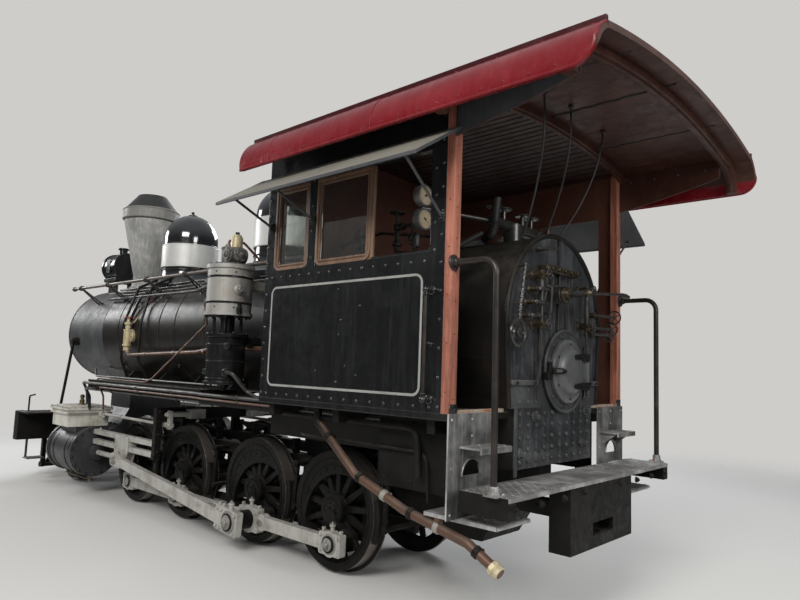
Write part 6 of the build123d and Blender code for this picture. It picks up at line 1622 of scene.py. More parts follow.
def build_headlight_details():
    """Reflector, lens, hinge and rim of the headlight."""
    work = Metalwork()
    x, z = 5.48, BOILER_HEIGHT + 0.99
    work.turned(at(x + 0.125, 0, z), AHEAD, mm(45, 0, 60, 6, 105, 22, 150, 46, 175, 70, 177, 66, 152, 40, 105, 14, 45,
                                               -4), 40)
    work.turned(at(x + 0.128, 0, z), AHEAD, mm(12, 0, 14, 30, 10, 48, 0, 52), 16)
    work.tube(circle(at(x + 0.202, 0, z), LEFT, UP, 0.206, 8), 0.01, 8, 1, True)
    for spot in circle(at(x + 0.2, 0, z), LEFT, UP, 0.196, 45):
        work.rivet(spot, AHEAD, 0.009, 1)
    for step in (-0.184, 0.02, 0.15):
        work.tube(circle(at(x + step, 0, z), LEFT, UP, 0.2005, 8), 0.006, 6, 1, True)
    for side in (1, -1):
        on = mirrored(side)
        work.block(on(x - 0.05, 0.196, z - 0.1), on(x + 0.06, 0.204, z + 0.1), 1, 0.002)
        for dx, dz in ((-0.035, -0.085), (0.045, -0.085), (-0.035, 0.085), (0.045, 0.085)):
            work.rivet(on(x + dx, 0.204, z + dz), LEFT * side, 0.006, 1)
        for dx in (-0.17, -0.11, 0.0):
            work.bolt(on(x + dx, 0.15, 2.66), LEFT * side, 0.012, 1)
    work.piece("headlight_details", ("bright_steel", "black_paint"))
    lens = Metalwork()
    lens.turned(at(x + 0.192, 0, z), AHEAD, mm(176, 0, 176, 4, 120, 8, 60, 10, 0, 10.5), 40)
    lens.piece("headlight_lens", "glass", slot="glass")


def build_handrail_details():
    """End knobs, tees and foot bolts of the handrails."""
    work = Metalwork()
    z = BOILER_HEIGHT + 0.57
    for side in (1, -1):
        on = mirrored(side)
        work.turned(on(5.15, 0.75, z), AHEAD, mm(24, -10, 24, 4, 19, 8, 26, 18, 32, 34, 30, 50, 18, 62, 0, 65), 18)
        for step in (4.95, 4.13, 3.12, 2.25, 1.38):
            for end in (-0.024, 0.019):
                work.turned(on(step + end, 0.75, z), AHEAD, mm(33, 0, 33, 5), 18, 1)
            work.bolt(on(step, 0.776, z), LEFT * side, 0.0095, 1)
            radius = SMOKEBOX_RADIUS if step > 4.43 else BOILER_RADIUS
            for lean in (-0.06, 0.06):
                way = Vector((lean * 0.9, side * -0.28, -0.196))
                way.normalize()
                start = on(step + lean / 10, 0.748, z - 0.004)
                reach = 0.0
                while reach < 0.5:
                    p = start + way * reach
                    if sqrt(p.y ** 2 + (p.z - BOILER_Z) ** 2) < radius:
                        break
                    reach += 0.002
                foot = start + way * reach
                out = Vector((0, foot.y, foot.z - BOILER_Z)).normalized()
                work.turned(foot - out * 0.004, out, mm(28, 0, 28, 10, 19, 14), 16, 1)
    work.piece("handrail_fittings", ("rail_brown", "pipe_black"))


def build_pump_details():
    """Hoops, flange bolts, ports and pipes of the air pump."""
    x, y, z = 1.08, 0.95, BOILER_HEIGHT
    work = Metalwork()
    for height in (0.185, 0.415):
        work.turned(at(x, y, z + height - 0.01), UP, mm(200.5, 0, 204, 1, 204, 19, 200.5, 20), 48, 1)
    for height, radius, count, size, up in (
            (0.525, 0.184, 12, 0.014, 1), (0.07, 0.19, 14, 0.014, -1), (-0.09, 0.176, 12, 0.012, 1),
            (-0.535, 0.166, 12, 0.012, -1)):
        for i in range(count):
            place = at(x, y, z + height) + level(360 * (i + 0.5) / count) * radius
            work.bolt(place, UP * up, size, 1 if height < 0.3 else 2)
    work.turned(at(x, y, z + 0.52), UP, mm(205, 0, 205, 10, 192, 14), 40, 2)
    for a in (15, 170):
        out = level(a)
        for height in (0.215, 0.4) if a == 15 else (0.3,):
            work.turned(at(x, y, z + height) + out * 0.19, out, mm(46, 0, 46, 22, 36, 28, 30, 55), 20)
            work.turned(at(x, y, z + height) + out * 0.245, out, mm(34, 0, 34, 26, 26, 32), 6, 2)
    for a in (60, 110, 160, 20):
        out = level(a)
        work.rivet(at(x, y, z + 0.455) + out * 0.2, out, 0.008, 1)
        work.rivet(at(x, y, z + 0.14) + out * 0.2, out, 0.008, 1)
    cover = at(x - 0.07, y + 0.092, z + 0.622)
    for a in range(30, 390, 60):
        work.bolt(rim(cover, AHEAD, UP, 0.058, a), LEFT, 0.009, 2, False)
    face = at(x - 0.118, y + 0.005, z + 0.622)
    work.turned(face, -AHEAD, mm(68, 0, 68, 32, 60, 38, 50, 38, 46, 44, 0, 46), 36, 2)
    work.turned(face, -AHEAD, mm(24, 44, 24, 58, 12, 62, 12, 74), 6, 2)
    for spot in circle(face - AHEAD * 0.037, LEFT, UP, 0.056, 60):
        work.bolt(spot, -AHEAD, 0.008, 2, False)
    work.turned(at(x - 0.212, y + 0.03, z + 0.085), UP, mm(24, 0, 24, 55, 16, 62, 16, 100), 6, 1)
    work.turned(at(x - 0.07, y + 0.106, z + 0.622), LEFT, mm(30, -2, 30, 6, 18, 14, 18, 26), 6, 2)
    work.turned(at(x - 0.07, y, z + 0.784), UP, mm(44, 0, 44, 12, 34, 18), 8, 3)
    work.turned(at(x + 0.062, y, z + 0.7), UP, mm(64, -12, 66, 0, 58, 8, 30, 12, 28, 36), 24, 2)
    for a in range(0, 360, 45):
        out = level(a)
        work.bolt(at(x + 0.062, y, z + 0.702) + out * 0.05, UP, 0.008, 2, False)
    for height in (-0.485, -0.335, -0.185):
        work.turned(at(x, y, z + height - 0.006), UP, mm(170.5, 0, 175, 3, 175, 11, 170.5, 14), 44, 1)
    for a in (25, 150):
        out = level(a)
        work.turned(at(x, y, z - 0.43) + out * 0.165, out, mm(40, 0, 40, 20, 30, 26, 30, 50), 18, 1)
        work.turned(at(x, y, z - 0.2) + out * 0.165, out, mm(34, 0, 34, 18, 24, 24, 24, 45), 18, 1)
    work.turned(at(x, y, z + 0.072), -UP, mm(66, -10, 66, 16, 36, 24, 33, 150, 64, 158), 24, 1)
    work.turned(at(x, y, z - 0.535), -UP, mm(60, -10, 60, 16, 26, 22, 26, 60), 16, 1)
    work.piece("pump_details", ("silver_paint", "black_paint", "pump_head", "cream_brass"), smooth_angle=38)
    pipes = Metalwork()
    port = at(x, y, z + 0.4) + level(15) * 0.24
    pipes.tube(bent([port, port + AHEAD * 0.1, port + AHEAD * 0.16 - LEFT * 0.17 + UP * 0.02, at(2.2, 0.64, z + 0.4),
                     at(4.5, 0.55, z + 0.42)], 0.09), 0.017, 12)
    port = at(x, y, z + 0.215) + level(15) * 0.24
    pipes.tube(bent([port, port + AHEAD * 0.08, at(1.596, 0.85, z + 0.02), at(2.36, 0.985, 1.43),
                     at(2.5, 0.99, 1.392), at(3.62, 0.99, 1.392), at(3.72, 0.99, 1.34), at(3.66, 0.99, 1.25)], 0.05),
               0.009, 10, 1)
    port = at(x, y, z - 0.43) + level(150) * 0.205
    pipes.tube(bent([port, port - AHEAD * 0.1, port - AHEAD * 0.16 - LEFT * 0.12 - UP * 0.16, at(0.5, 0.86, z - 0.7),
                     at(0.26, 0.86, z - 0.7)], 0.08), 0.018, 12)
    top = at(x + 0.062, y, z + 0.72)
    pipes.tube(bent([top, top + UP * 0.055, top + UP * 0.06 - LEFT * 0.16, at(x - 0.02, 0.62, z + 0.6),
                     at(0.28, 0.56, z + 0.62)], 0.05), 0.012, 10, 1)
    pipes.piece("pump_pipes", ("pipe_black", "brown_pipe"))


def build_check_valve_details():
    """Flange bolts, union nuts and second pipes of the check valves."""
    work = Metalwork()
    for side in (1, -1):
        on = mirrored(side)
        for spot in circle(on(3.6, 0.676, 1.9), AHEAD, UP, 0.064, 60):
            work.bolt(spot, LEFT * side, 0.011)
        y = side * 0.7
        for z, r, tall in (
                (1.722, 0.044, 0.04), (1.776, 0.052, 0.022), (1.956, 0.052, 0.02), (2.03, 0.047, 0.03),
                (1.99, 0.036, 0.03)):
            work.turned(at(3.6, y, z), UP, ((r * 0.92, 0), (r, 0.003), (r, tall - 0.003), (r * 0.92, tall)),
                        8 if tall > 0.025 else 28)
        handwheel(work, at(3.6, y, 2.118), UP, 0.044, 1, 5, 0.006)
        for step in (3.1, 2.45, 1.85):
            height = 1.67 + (3.54 - step) * 0.05 / 1.54
            work.turned(at(step, y, height), AHEAD, mm(28, 0, 28, 30), 8, 2)
        route = bent([on(3.66, 0.668, 1.93), on(3.66, 0.69, 2.0), on(3.56, 0.6, 2.36), on(3.52, 0.48, 2.48),
                      on(3.52, 0.36, 2.54)], 0.1)
        work.tube(route, 0.017, 12, 3)
    work.piece("check_valve_details", ("cream_brass", "valve_red", "brown_pipe", "black_paint"), smooth_angle=38)


def build_board_details():
    """Pipes along the running boards and under the cab, and the boards' edge beads, rivets and cleats."""
    sizes = bpy.context.scene.locomotive_sizes
    pipes, fixings = Metalwork(), Metalwork()
    for side in (1, -1):
        on = mirrored(side)
        for y, z, radius, rear, front, ink in (
                (1.022, 1.33, 1.15, 0.24, 3.96, 0), (1.02, 1.29, 0.75, 0.24, 3.5, 1),
                (0.965, 1.258, 1.3, 0.24, 4.02, 0), (0.9, 1.245, 0.8, 0.3, 4.2, 1), (0.735, 1.4, 0.9, 1.42, 4.4, 0)):
            r = sizes.pipe_radius * radius
            if z > 1.35:
                pipes.tube(bent([on(rear, y, z), on(front - 0.1, y, z), on(front, y - 0.03, z + 0.08)], 0.07), r, 8,
                           ink)
                continue
            pipes.tube(bent([on(rear, y, z), on(1.3, y, z), on(1.46, y, z + 0.004), on(front, y, z + 0.004),
                             on(front + 0.12, y - 0.1, z - 0.1), on(front + 0.14, y - 0.12, z - 0.26)], 0.07), r, 8,
                       ink)
            for step in (0.75, 1.85, 2.6, 3.3):
                pipes.turned(on(step, y, z + 0.002), AHEAD, ((r + 0.005, -0.012), (r + 0.005, 0.012)), 12)
        for rear, front, z in ((0.225, BOARD_STEP, LOW_BOARD), (BOARD_STEP, 3.85, HIGH_BOARD)):
            fixings.tube([on(rear, 1.006, z + 0.016), on(front, 1.006, z + 0.016)], 0.008, 8)
            for place in along(on(rear + 0.06, 1.01, z - 0.03), on(front - 0.06, 1.01, z - 0.03), 0.17):
                fixings.rivet(place, LEFT * side, 0.0085)
            lozenges(fixings, rear + 0.03, front - 0.03, *sorted((side * 0.86, side * 0.99)), z + 0.018, 0.045, 1)
        for step in (0.42, 1.5, 2.2, 2.95, 3.75):
            z = LOW_BOARD if step < BOARD_STEP else HIGH_BOARD
            for y, dz in ((0.93, -0.045), (0.8, -0.055), (0.66, -0.06), (0.56, -0.095)):
                fixings.bolt(on(step, y, z + dz), -AHEAD, 0.011, 0, False)
    pipes.piece("board_pipes", ("pipe_black", "brown_pipe"))
    fixings.piece("board_fixings", ("frame_black", "lozenge_steel"), smooth_angle=30)
    under = Metalwork()
    for y, z, r, rear, front, ink in (
            (0.86, 1.27, 0.016, -1.4, 0.2, 0), (1.02, 1.25, 0.022, -1.3, 0.1, 1), (0.98, 1.1, 0.011, -1.35, -0.1, 1)):
        for side in (1, -1):
            on = mirrored(side)
            route = bent([on(rear, y, z - 0.3), on(rear + 0.02, y, z), on(front, y, z), on(front + 0.1, y - 0.06, z)],
                         0.1)
            under.tube(route, r, 8, ink)
    under.piece("under_cab_pipes", ("pipe_black", "frame_black"))


# ---------------------------------------------------------------- engine and running gear


CYLINDER_Z = 0.5
WHEEL_Z = 0.47
PONY_STEP, PONY_Z = 5.25, 0.33
CRANK_THROW = 0.254
MAIN_ROD_LENGTH = 2.313
# Distances from the middle to the outer faces of the wheels, side rods and main rods
WHEEL_FACE, SIDE_ROD_FACE, MAIN_ROD_FACE = 0.5725, 0.688, 0.8963
AXLE_STEPS = {1: 3.45, 2: 2.38, 3: 1.09, 4: 0.0}
CRANK_ANGLES = {"left": 242, "right": 152}


def crank_pin(number, name):
    """How far ahead and how high the pin of a crank stands at rest."""
    angle = radians(CRANK_ANGLES[name])
    return AXLE_STEPS[number] + CRANK_THROW * cos(angle), WHEEL_Z + CRANK_THROW * sin(angle)


def build_cylinder_details():
    """Cover nuts, bands, cocks and lid studs of the cylinders and steam chests."""
    for side, name in SIDES:
        work = Metalwork()
        y = side * 0.78
        for x, out, ring, count, size in (
                (4.8, AHEAD, 0.272, 18, 0.015), (4.05, -AHEAD, 0.272, 18, 0.015), (3.98, -AHEAD, 0.057, 6, 0.012),
                (4.816, AHEAD, 0.205, 14, 0.013)):
            for i in range(count):
                work.bolt(rim(at(x, y, CYLINDER_Z), LEFT, UP, ring, 360 * (i + 0.5) / count), out, size)
        work.turned(at(4.83, y, CYLINDER_Z), AHEAD, mm(46, -2, 46, 10, 30, 16, 30, 36), 6, 1)
        for x in (4.135, 4.25, 4.6, 4.715):
            low = [rim(at(x, y, CYLINDER_Z), LEFT * side, UP, 0.2825, a) for a in range(-128, 44, 6)]
            work.tube(low, 0.006, 6, 1)
        for x in (4.13, 4.72):
            work.turned(at(x, y, CYLINDER_Z - 0.275), -UP, mm(24, -10, 24, 14, 15, 20, 15, 60, 20, 64, 20, 84), 12, 2)
            work.tube([at(x, y, CYLINDER_Z - 0.325), at(x, y + side * 0.05, CYLINDER_Z - 0.325)], 0.006, 8, 2)
        work.tube([at(4.13, y + side * 0.05, CYLINDER_Z - 0.325), at(4.72, y + side * 0.05, CYLINDER_Z - 0.325)],
                  0.007, 8, 2)
        for place in along(at(4.2, side * 0.475, 0.8), at(4.66, side * 0.475, 0.8), 0.092):
            work.bolt(place, Vector((0, side * 0.4, 0.9)), 0.013, 1)
        work.piece("cylinder_details_" + name, ("black_paint", "black_paint", "brass"))
    chests = Metalwork()
    for side in (1, -1):
        on = mirrored(side)
        for x0, y0, x1, y1 in (
                (4.167, 0.572, 4.688, 0.572), (4.167, 1.088, 4.688, 1.088), (4.167, 0.652, 4.167, 1.008),
                (4.688, 0.652, 4.688, 1.008)):
            for spot in along(on(x0, y0, 1.012), on(x1, y1, 1.012), 0.088):
                chests.bolt(spot, UP, 0.0125)
        chests.tube([on(4.159, 0.57, 0.951), on(4.696, 0.57, 0.951), on(4.696, 1.09, 0.951), on(4.159, 1.09, 0.951)],
                    0.008, 8, 0, True)
        chests.turned(on(4.43, 0.83, 1.037), UP, mm(50, 0, 50, 10, 30, 14, 30, 60, 20, 66, 20, 85, 28, 90, 24, 120, 0,
                                                    130), 20, 1)
        for a in (0, 120, 240):
            chests.bolt(rim(at(4.43, side * 0.83, 1.047), AHEAD, LEFT, 0.04, a), UP, 0.008, 0, False)
        for a in (60, 240):
            chests.bolt(rim(at(4.095, side * 0.69, 0.94), LEFT, UP, 0.037, a), -AHEAD, 0.01)
    chests.piece("chest_studs", ("silver_paint", "brass"))


def build_wheel_details():
    """Hub plates, tyre rings, pin nuts and weight rivets of the wheelsets."""
    for number, step in AXLE_STEPS.items():
        work = Metalwork()
        for side, name in SIDES:
            on, outward = mirrored(side), LEFT * side
            pin_x, pin_z = crank_pin(number, name)
            work.turned(on(step, WHEEL_FACE, WHEEL_Z), outward,
                        mm(112, -2, 112, 4, 104, 8, 82, 9, 80, 4, 46, 4, 44, 14, 36, 20, 0, 21), 36)
            for spot in circle(on(step, 0.5765, WHEEL_Z), AHEAD, UP, 0.062, 60):
                work.rivet(spot, outward, 0.008)
            work.tube(circle(on(step, 0.556, WHEEL_Z), AHEAD, UP, 0.408, 6), 0.0055, 6, 0, True)
            angle = CRANK_ANGLES[name] + 180
            for spread in (-44, -26, -8, 8, 26, 44):
                work.rivet(rim(on(step, 0.5425, WHEEL_Z), AHEAD, UP, 0.325, angle + spread), outward, 0.013)
            arc = [rim(on(step, 0.5428, WHEEL_Z), AHEAD, UP, 0.352, angle + s) for s in range(-52, 53, 4)]
            work.tube(arc, 0.005, 6)
            outer = side * ((MAIN_ROD_FACE if number == 3 else SIDE_ROD_FACE) + 0.018)
            radius = 0.062 if number == 3 else 0.05
            work.turned(at(pin_x, outer, pin_z), outward, ((radius, -0.002), (radius, 0.006), (radius * 0.86, 0.01)),
                        24, 1)
            if number == 1:
                continue
            work.turned(at(pin_x, outer + side * 0.008, pin_z), outward,
                        ((radius * 0.62, 0), (radius * 0.62, 0.02), (radius * 0.5, 0.025)), 6, 1)
            for a in range(0, 360, 60):
                centre = rim(at(pin_x, outer + side * 0.03, pin_z), AHEAD, UP, radius * 0.42, a)
                work.block(centre - Vector((0.006, 0.008, 0.006)), centre + Vector((0.006, 0.006, 0.006)), 1, 0.001)
        work.piece(f"wheel_details_{number}", ("wheel_black", "rod_end_grey"), body=f"axle_{number}", smooth_angle=38)
    work = Metalwork()
    for side in (1, -1):
        on = mirrored(side)
        work.turned(on(PONY_STEP, WHEEL_FACE, PONY_Z), LEFT * side, mm(82, -2, 82, 6, 70, 12, 40, 14, 38, 24, 0, 26),
                    30)
        work.tube(circle(on(PONY_STEP, 0.556, PONY_Z), AHEAD, UP, 0.28, 8), 0.005, 6, 0, True)
        for spot in circle(on(PONY_STEP, 0.581, PONY_Z), AHEAD, UP, 0.056, 60):
            work.bolt(spot, LEFT * side, 0.008, 0, False)
    work.piece("pony_wheel_details", "wheel_black", body="pony_axle")


def build_rod_details():
    """Strap bolts, keys, oil cup lids and knuckle pins of the rods, and the bolts of the crossheads."""
    for side, name in SIDES:
        on, outward = mirrored(side), LEFT * side
        work = Metalwork()
        centres = {number: crank_pin(number, name) for number in AXLE_STEPS}
        z = centres[1][1]
        outer = side * SIDE_ROD_FACE
        for number, boss in ((4, 0.098), (3, 0.118), (2, 0.104), (1, 0.098)):
            x = centres[number][0]
            if number != 3:
                work.turned(at(x, outer, z), outward, mm(78, -2, 78, 5, 67, 7), 28, 1)
            for dx in (-boss * 1.02, boss * 1.02):
                for dz in (-boss * 0.58, boss * 0.58):
                    work.bolt(at(x + dx, outer, z + dz), outward, 0.013, 0, False)
                work.block(on(x + dx - 0.01, 0.64, z + boss * 0.86), on(x + dx + 0.01, 0.67, z + boss * 0.86 + 0.028),
                           0, 0.003)
            work.turned(on(x, 0.655, z + boss + 0.046), UP, mm(20, 0, 20, 10, 8, 14, 8, 22, 0, 24), 14, 1)
        x3 = centres[3][0]
        for dx in (-0.19, 0.19):
            work.turned(at(x3 + dx, outer, z), outward, mm(34, -2, 34, 10, 26, 14), 6, 1)
            work.turned(at(x3 + dx, outer, z), outward, mm(56, -2, 56, 3, 50, 4), 24)
        work.piece("side_rod_details_" + name, ("rod_grey", "rod_end_grey"), body="side_rod_" + name, smooth_angle=38)

        work = Metalwork()
        pin = Vector((centres[3][0], 0, centres[3][1]))
        wrist_x = pin.x + sqrt(MAIN_ROD_LENGTH ** 2 - (CYLINDER_Z - pin.z) ** 2)
        way = Vector((wrist_x - pin.x, 0, CYLINDER_Z - pin.z)).normalized()
        rise = Vector((-way.z, 0, way.x))
        outer = side * MAIN_ROD_FACE

        def on_rod(reach, lift, y=None):
            p = pin + way * reach + rise * lift
            return at(p.x, outer if y is None else y, p.z)

        work.turned(on_rod(0, 0), outward, mm(96, -2, 96, 6, 88, 9), 32, 1)
        for reach in (-0.095, 0.115, 0.175):
            for lift in (0.079, -0.079):
                work.bolt(on_rod(reach, lift), outward, 0.016)
        for reach in (0.125, 0.19):
            for up in (1, -1):
                work.bolt(on_rod(reach, 0.106 * up, side * 0.865), rise * up, 0.016)
        for lift in (0.09, -0.104):
            work.tube([on_rod(0.075, lift, side * y) for y in (0.838, 0.893)], 0.008, 8, 1)
        work.turned(on_rod(MAIN_ROD_LENGTH, 0, side * 0.9103), outward, mm(46, -2, 46, 6, 30, 9, 30, 22, 22, 27), 24,
                    1)
        for reach in (2.215, 2.372):
            for lift in (0.045, -0.045):
                work.bolt(on_rod(reach, lift), outward, 0.011, 0, False)
        work.turned(on(pin.x, 0.865, pin.z + 0.156), UP, mm(22, 0, 22, 12, 9, 16, 9, 26, 0, 28), 14, 1)
        work.piece("main_rod_details_" + name, ("rod_grey", "rod_end_grey"), body="main_rod_" + name, smooth_angle=38)

        work = Metalwork()
        half = 0.165
        y = side * 0.8293
        for dx in (-0.13, -0.045, 0.045, 0.13):
            for height in (0.612, 0.735):
                work.turned(at(wrist_x + dx, y, height), outward, mm(13, -1, 13, 2.4, 10.5, 3.6), 6)
        work.turned(on(wrist_x + half * 1.28, 0.78, CYLINDER_Z), AHEAD, mm(50, -4, 50, 30, 40, 36), 6)
        for dz in (-0.03, 0.03):
            work.block(on(wrist_x + half * 0.92, 0.721, CYLINDER_Z + dz * 0.2 - 0.012),
                       on(wrist_x + half * 1.08, 0.8325, CYLINDER_Z + dz * 0.2 + 0.012), 1, 0.003)
        work.piece("crosshead_details_" + name, ("rod_grey", "rod_end_grey"), body="crosshead_" + name,
                   smooth_angle=38)


def build_guide_details():
    """Bolts of the guides and yoke, and the collars of the valve rods."""
    work = Metalwork()
    for side in (1, -1):
        on = mirrored(side)
        for low, high in ((0.6, 0.655), (0.715, 0.77)):
            for x in (2.545, 2.575):
                work.bolt(on(x - 0.015, 0.8151, (low + high) / 2), LEFT * side, 0.012, 1, False)
            for x in (3.98, 4.02):
                work.block(on(x - 0.008, 0.745, high - 0.001), on(x + 0.008, 0.815, high + 0.004), 0, 0.001)
        work.bolt(on(2.63, 0.78, 0.771), UP, 0.016)
        work.bolt(on(3.94, 0.78, 0.771), UP, 0.016)
        for z in (0.66, 0.84, 0.98, 1.08):
            work.bolt(on(2.53, 0.78, z), -AHEAD, 0.015, 1)
        for y in (0.36, 0.5, 0.64):
            work.bolt(on(2.53, y, 1.06), -AHEAD, 0.015, 1)
        for x in (2.5, 2.58):
            work.turned(on(x, 0.69, 0.94), AHEAD, mm(34, 0, 34, 20, 28, 24), 6)
        work.turned(on(3.6, 0.69, 0.94), AHEAD, mm(24, 0, 24, 40, 20, 44), 6)
        for z in (0.94, 1.055):
            work.turned(on(2.47, 0.707 if z < 1 else 0.72, z), LEFT * side, mm(28, -4, 28, 12, 18, 16, 18, 28), 6)
    work.piece("guide_bolts", ("rod_grey", "frame_black"))


def build_frame_details():
    """Spring buckles and pins, brake bolts and pulls, and the frame's bolts."""
    work = Metalwork()
    for side in (1, -1):
        on, outward = mirrored(side), LEFT * side
        for step in AXLE_STEPS.values():
            work.block(on(step - 0.042, 0.287, 0.855), on(step + 0.042, 0.372, 0.952), 0, 0.006)
            for dx in (-0.306, 0.306):
                for z in (0.86, 0.94):
                    work.bolt(on(step + dx, 0.364, z), outward, 0.014)
            for dx in (-0.14, 0.14):
                for z in (0.27, 0.34):
                    work.bolt(on(step + dx, 0.375, z), outward, 0.016)
            work.turned(on(step - 0.56, 0.536, 0.77), outward, mm(34, -10, 34, 6, 22, 10, 22, 24), 6)
            for z in (0.55, 0.68):
                work.bolt(on(step - 0.545, 0.52, z), outward, 0.011, 0, False)
            work.turned(on(step - 0.53, 0.513, 0.4), outward, mm(34, -20, 34, 10, 22, 14), 6)
        work.tube([on(-0.5, 0.14, 0.345), on(3.35, 0.14, 0.345)], 0.016, 10)
        for step in AXLE_STEPS.values():
            work.block(on(step - 0.556, 0.12, 0.325), on(step - 0.505, 0.16, 0.405), 0, 0.004)
        for place in along(on(-1.78, 0.375, 0.77), on(4.0, 0.375, 0.77), 0.24):
            if all(abs(place.x - REAR_AXLE_X - s) > 0.2 for s in AXLE_STEPS.values()):
                work.bolt(place, outward, 0.014, 0, False)
    work.piece("frame_bolts", "frame_black")
    rivets = Metalwork()
    for side in (1, -1):
        for step in (-1.45, -1.18, -0.94):
            for z in (0.9, 1.1, 1.28):
                rivets.rivet(at(step, side * 0.957, z), LEFT * side, 0.011)
    rivets.piece("under_floor_rivets", "frame_black", smooth_angle=50)


def build_feed_pipe_details():
    """Clamps, collars and unions of the feed pipe under the cab."""
    work = Metalwork()
    points = [at(-0.33, 1.04, 1.329), at(-0.33, 1.04, 1.22), at(-0.76, 1.05, 0.9), at(-1.22, 1.06, 0.745),
              at(-1.72, 1.06, 0.64), at(-1.95, 1.06, 0.52)]
    for start, end, share, kind in (
            (1, 2, 0.3, 1), (2, 3, 0.1, 1), (2, 3, 0.62, 0), (3, 4, 0.12, 1), (3, 4, 0.55, 0), (4, 5, 0.3, 1),
            (4, 5, 0.86, 2)):
        a, b = points[start], points[end]
        place, way = a.lerp(b, share), (b - a).normalized()
        if kind == 2:
            work.turned(place - way * 0.035, way, mm(32, 0, 44, 6, 44, 30, 36, 36, 40, 42, 40, 66, 34, 70), 8, 2)
        else:
            work.turned(place - way * 0.02, way, mm(31, 0, 37, 4, 37, 36, 31, 40), 20, kind)
            out = way.cross(UP).normalized()
            work.block(place - out * 0.06 - Vector((0.012, 0, 0.012)),
                       place - out * 0.03 + Vector((0.012, 0.0, 0.012)), kind, 0.003)
    for dx, dy in ((-0.055, -0.04), (0.055, -0.04), (-0.055, 0.04), (0.055, 0.04)):
        work.bolt(at(-0.32 + dx, 1.04 + dy, 1.31), -UP, 0.012, 1)
    work.piece("feed_pipe_fittings", ("silver_paint", "frame_black", "cream_brass"))


def build_front_details():
    """Bolts, steps and lever of the front beam, the coupler's pin and the pilot's bolts."""
    work = Metalwork()
    for side in (1, -1):
        on = mirrored(side)
        for y, z in ((1.08, 0.56), (1.08, 0.8), (0.7, 0.56), (0.7, 0.8), (0.42, 0.8), (0.28, 0.56), (0.9, 0.68)):
            work.bolt(on(5.8, y, z), AHEAD, 0.018)
        for y in (0.14, 0.165):
            work.bolt(on(5.824, y, 0.6 + (y - 0.14) * 8), AHEAD, 0.016)
        work.block(on(5.44, 1.06, 0.876), on(5.8, 1.14, 0.882), 1, 0.002)
        work.tube(bent([on(5.7, 1.02, 0.876), on(5.7, 1.02, 1.08), on(5.62, 0.98, 1.1)], 0.03), 0.011, 10)
        work.block(on(5.6, 0.8, 0.24), on(5.78, 1.02, 0.256), 1, 0.003)
        for y in (0.81, 1.01):
            work.block(at(5.66, side * y - 0.006, 0.25), at(5.72, side * y + 0.006, 0.51), 0, 0.002)
        for place in along(on(5.5, 0.15, 0.876), on(5.5, 1.0, 0.876), 0.17):
            work.rivet(place, UP, 0.011)
    work.tube(bent([at(5.815, 0.98, 0.72), at(5.83, 0.92, 0.74), at(5.83, 0.1, 0.86), at(5.98, 0.0, 0.86),
                    at(5.98, 0.0, 0.78)], 0.04), 0.011, 8)
    x, z = 6.085, 0.68
    work.turned(at(x, 0, z + 0.09), UP, mm(18, -50, 18, 20, 30, 24, 30, 40, 14, 48, 14, 70, 0, 74), 20, 1)
    work.turned(at(x, 0, z - 0.12), UP, mm(18, 0, 18, 200), 20, 1)
    for dz in (-0.07, 0.1):
        for y in (-0.15, 0.15):
            work.bolt(at(5.824, y, z + dz), AHEAD, 0.016)
    lozenges(work, 5.36, 5.78, -1.04, -0.1, 0.876, 0.05, 2)
    lozenges(work, 5.36, 5.78, 0.1, 1.04, 0.876, 0.05, 2)
    work.piece("front_fittings", ("frame_black", "bright_steel", "lozenge_steel"))
    bolts = Metalwork()
    for side in (1, -1):
        for index in range(6):
            share = (index + 0.5) / 6
            foot = at(5.82 + share * 0.71, side * 0.76 * (1 - share), 0.165)
            bolts.bolt(foot + AHEAD * 0.03 + LEFT * side * 0.028, Vector((0.7, side * 0.7, 0)), 0.014)
            head = at(5.82 + share * 0.12, side * 0.42 * (1 - share), 0.56)
            bolts.bolt(head + AHEAD * 0.03, Vector((0.9, side * 0.3, 0)), 0.013)
    bolts.piece("pilot_bolts", "frame_black")


# ---------------------------------------------------------------- stage


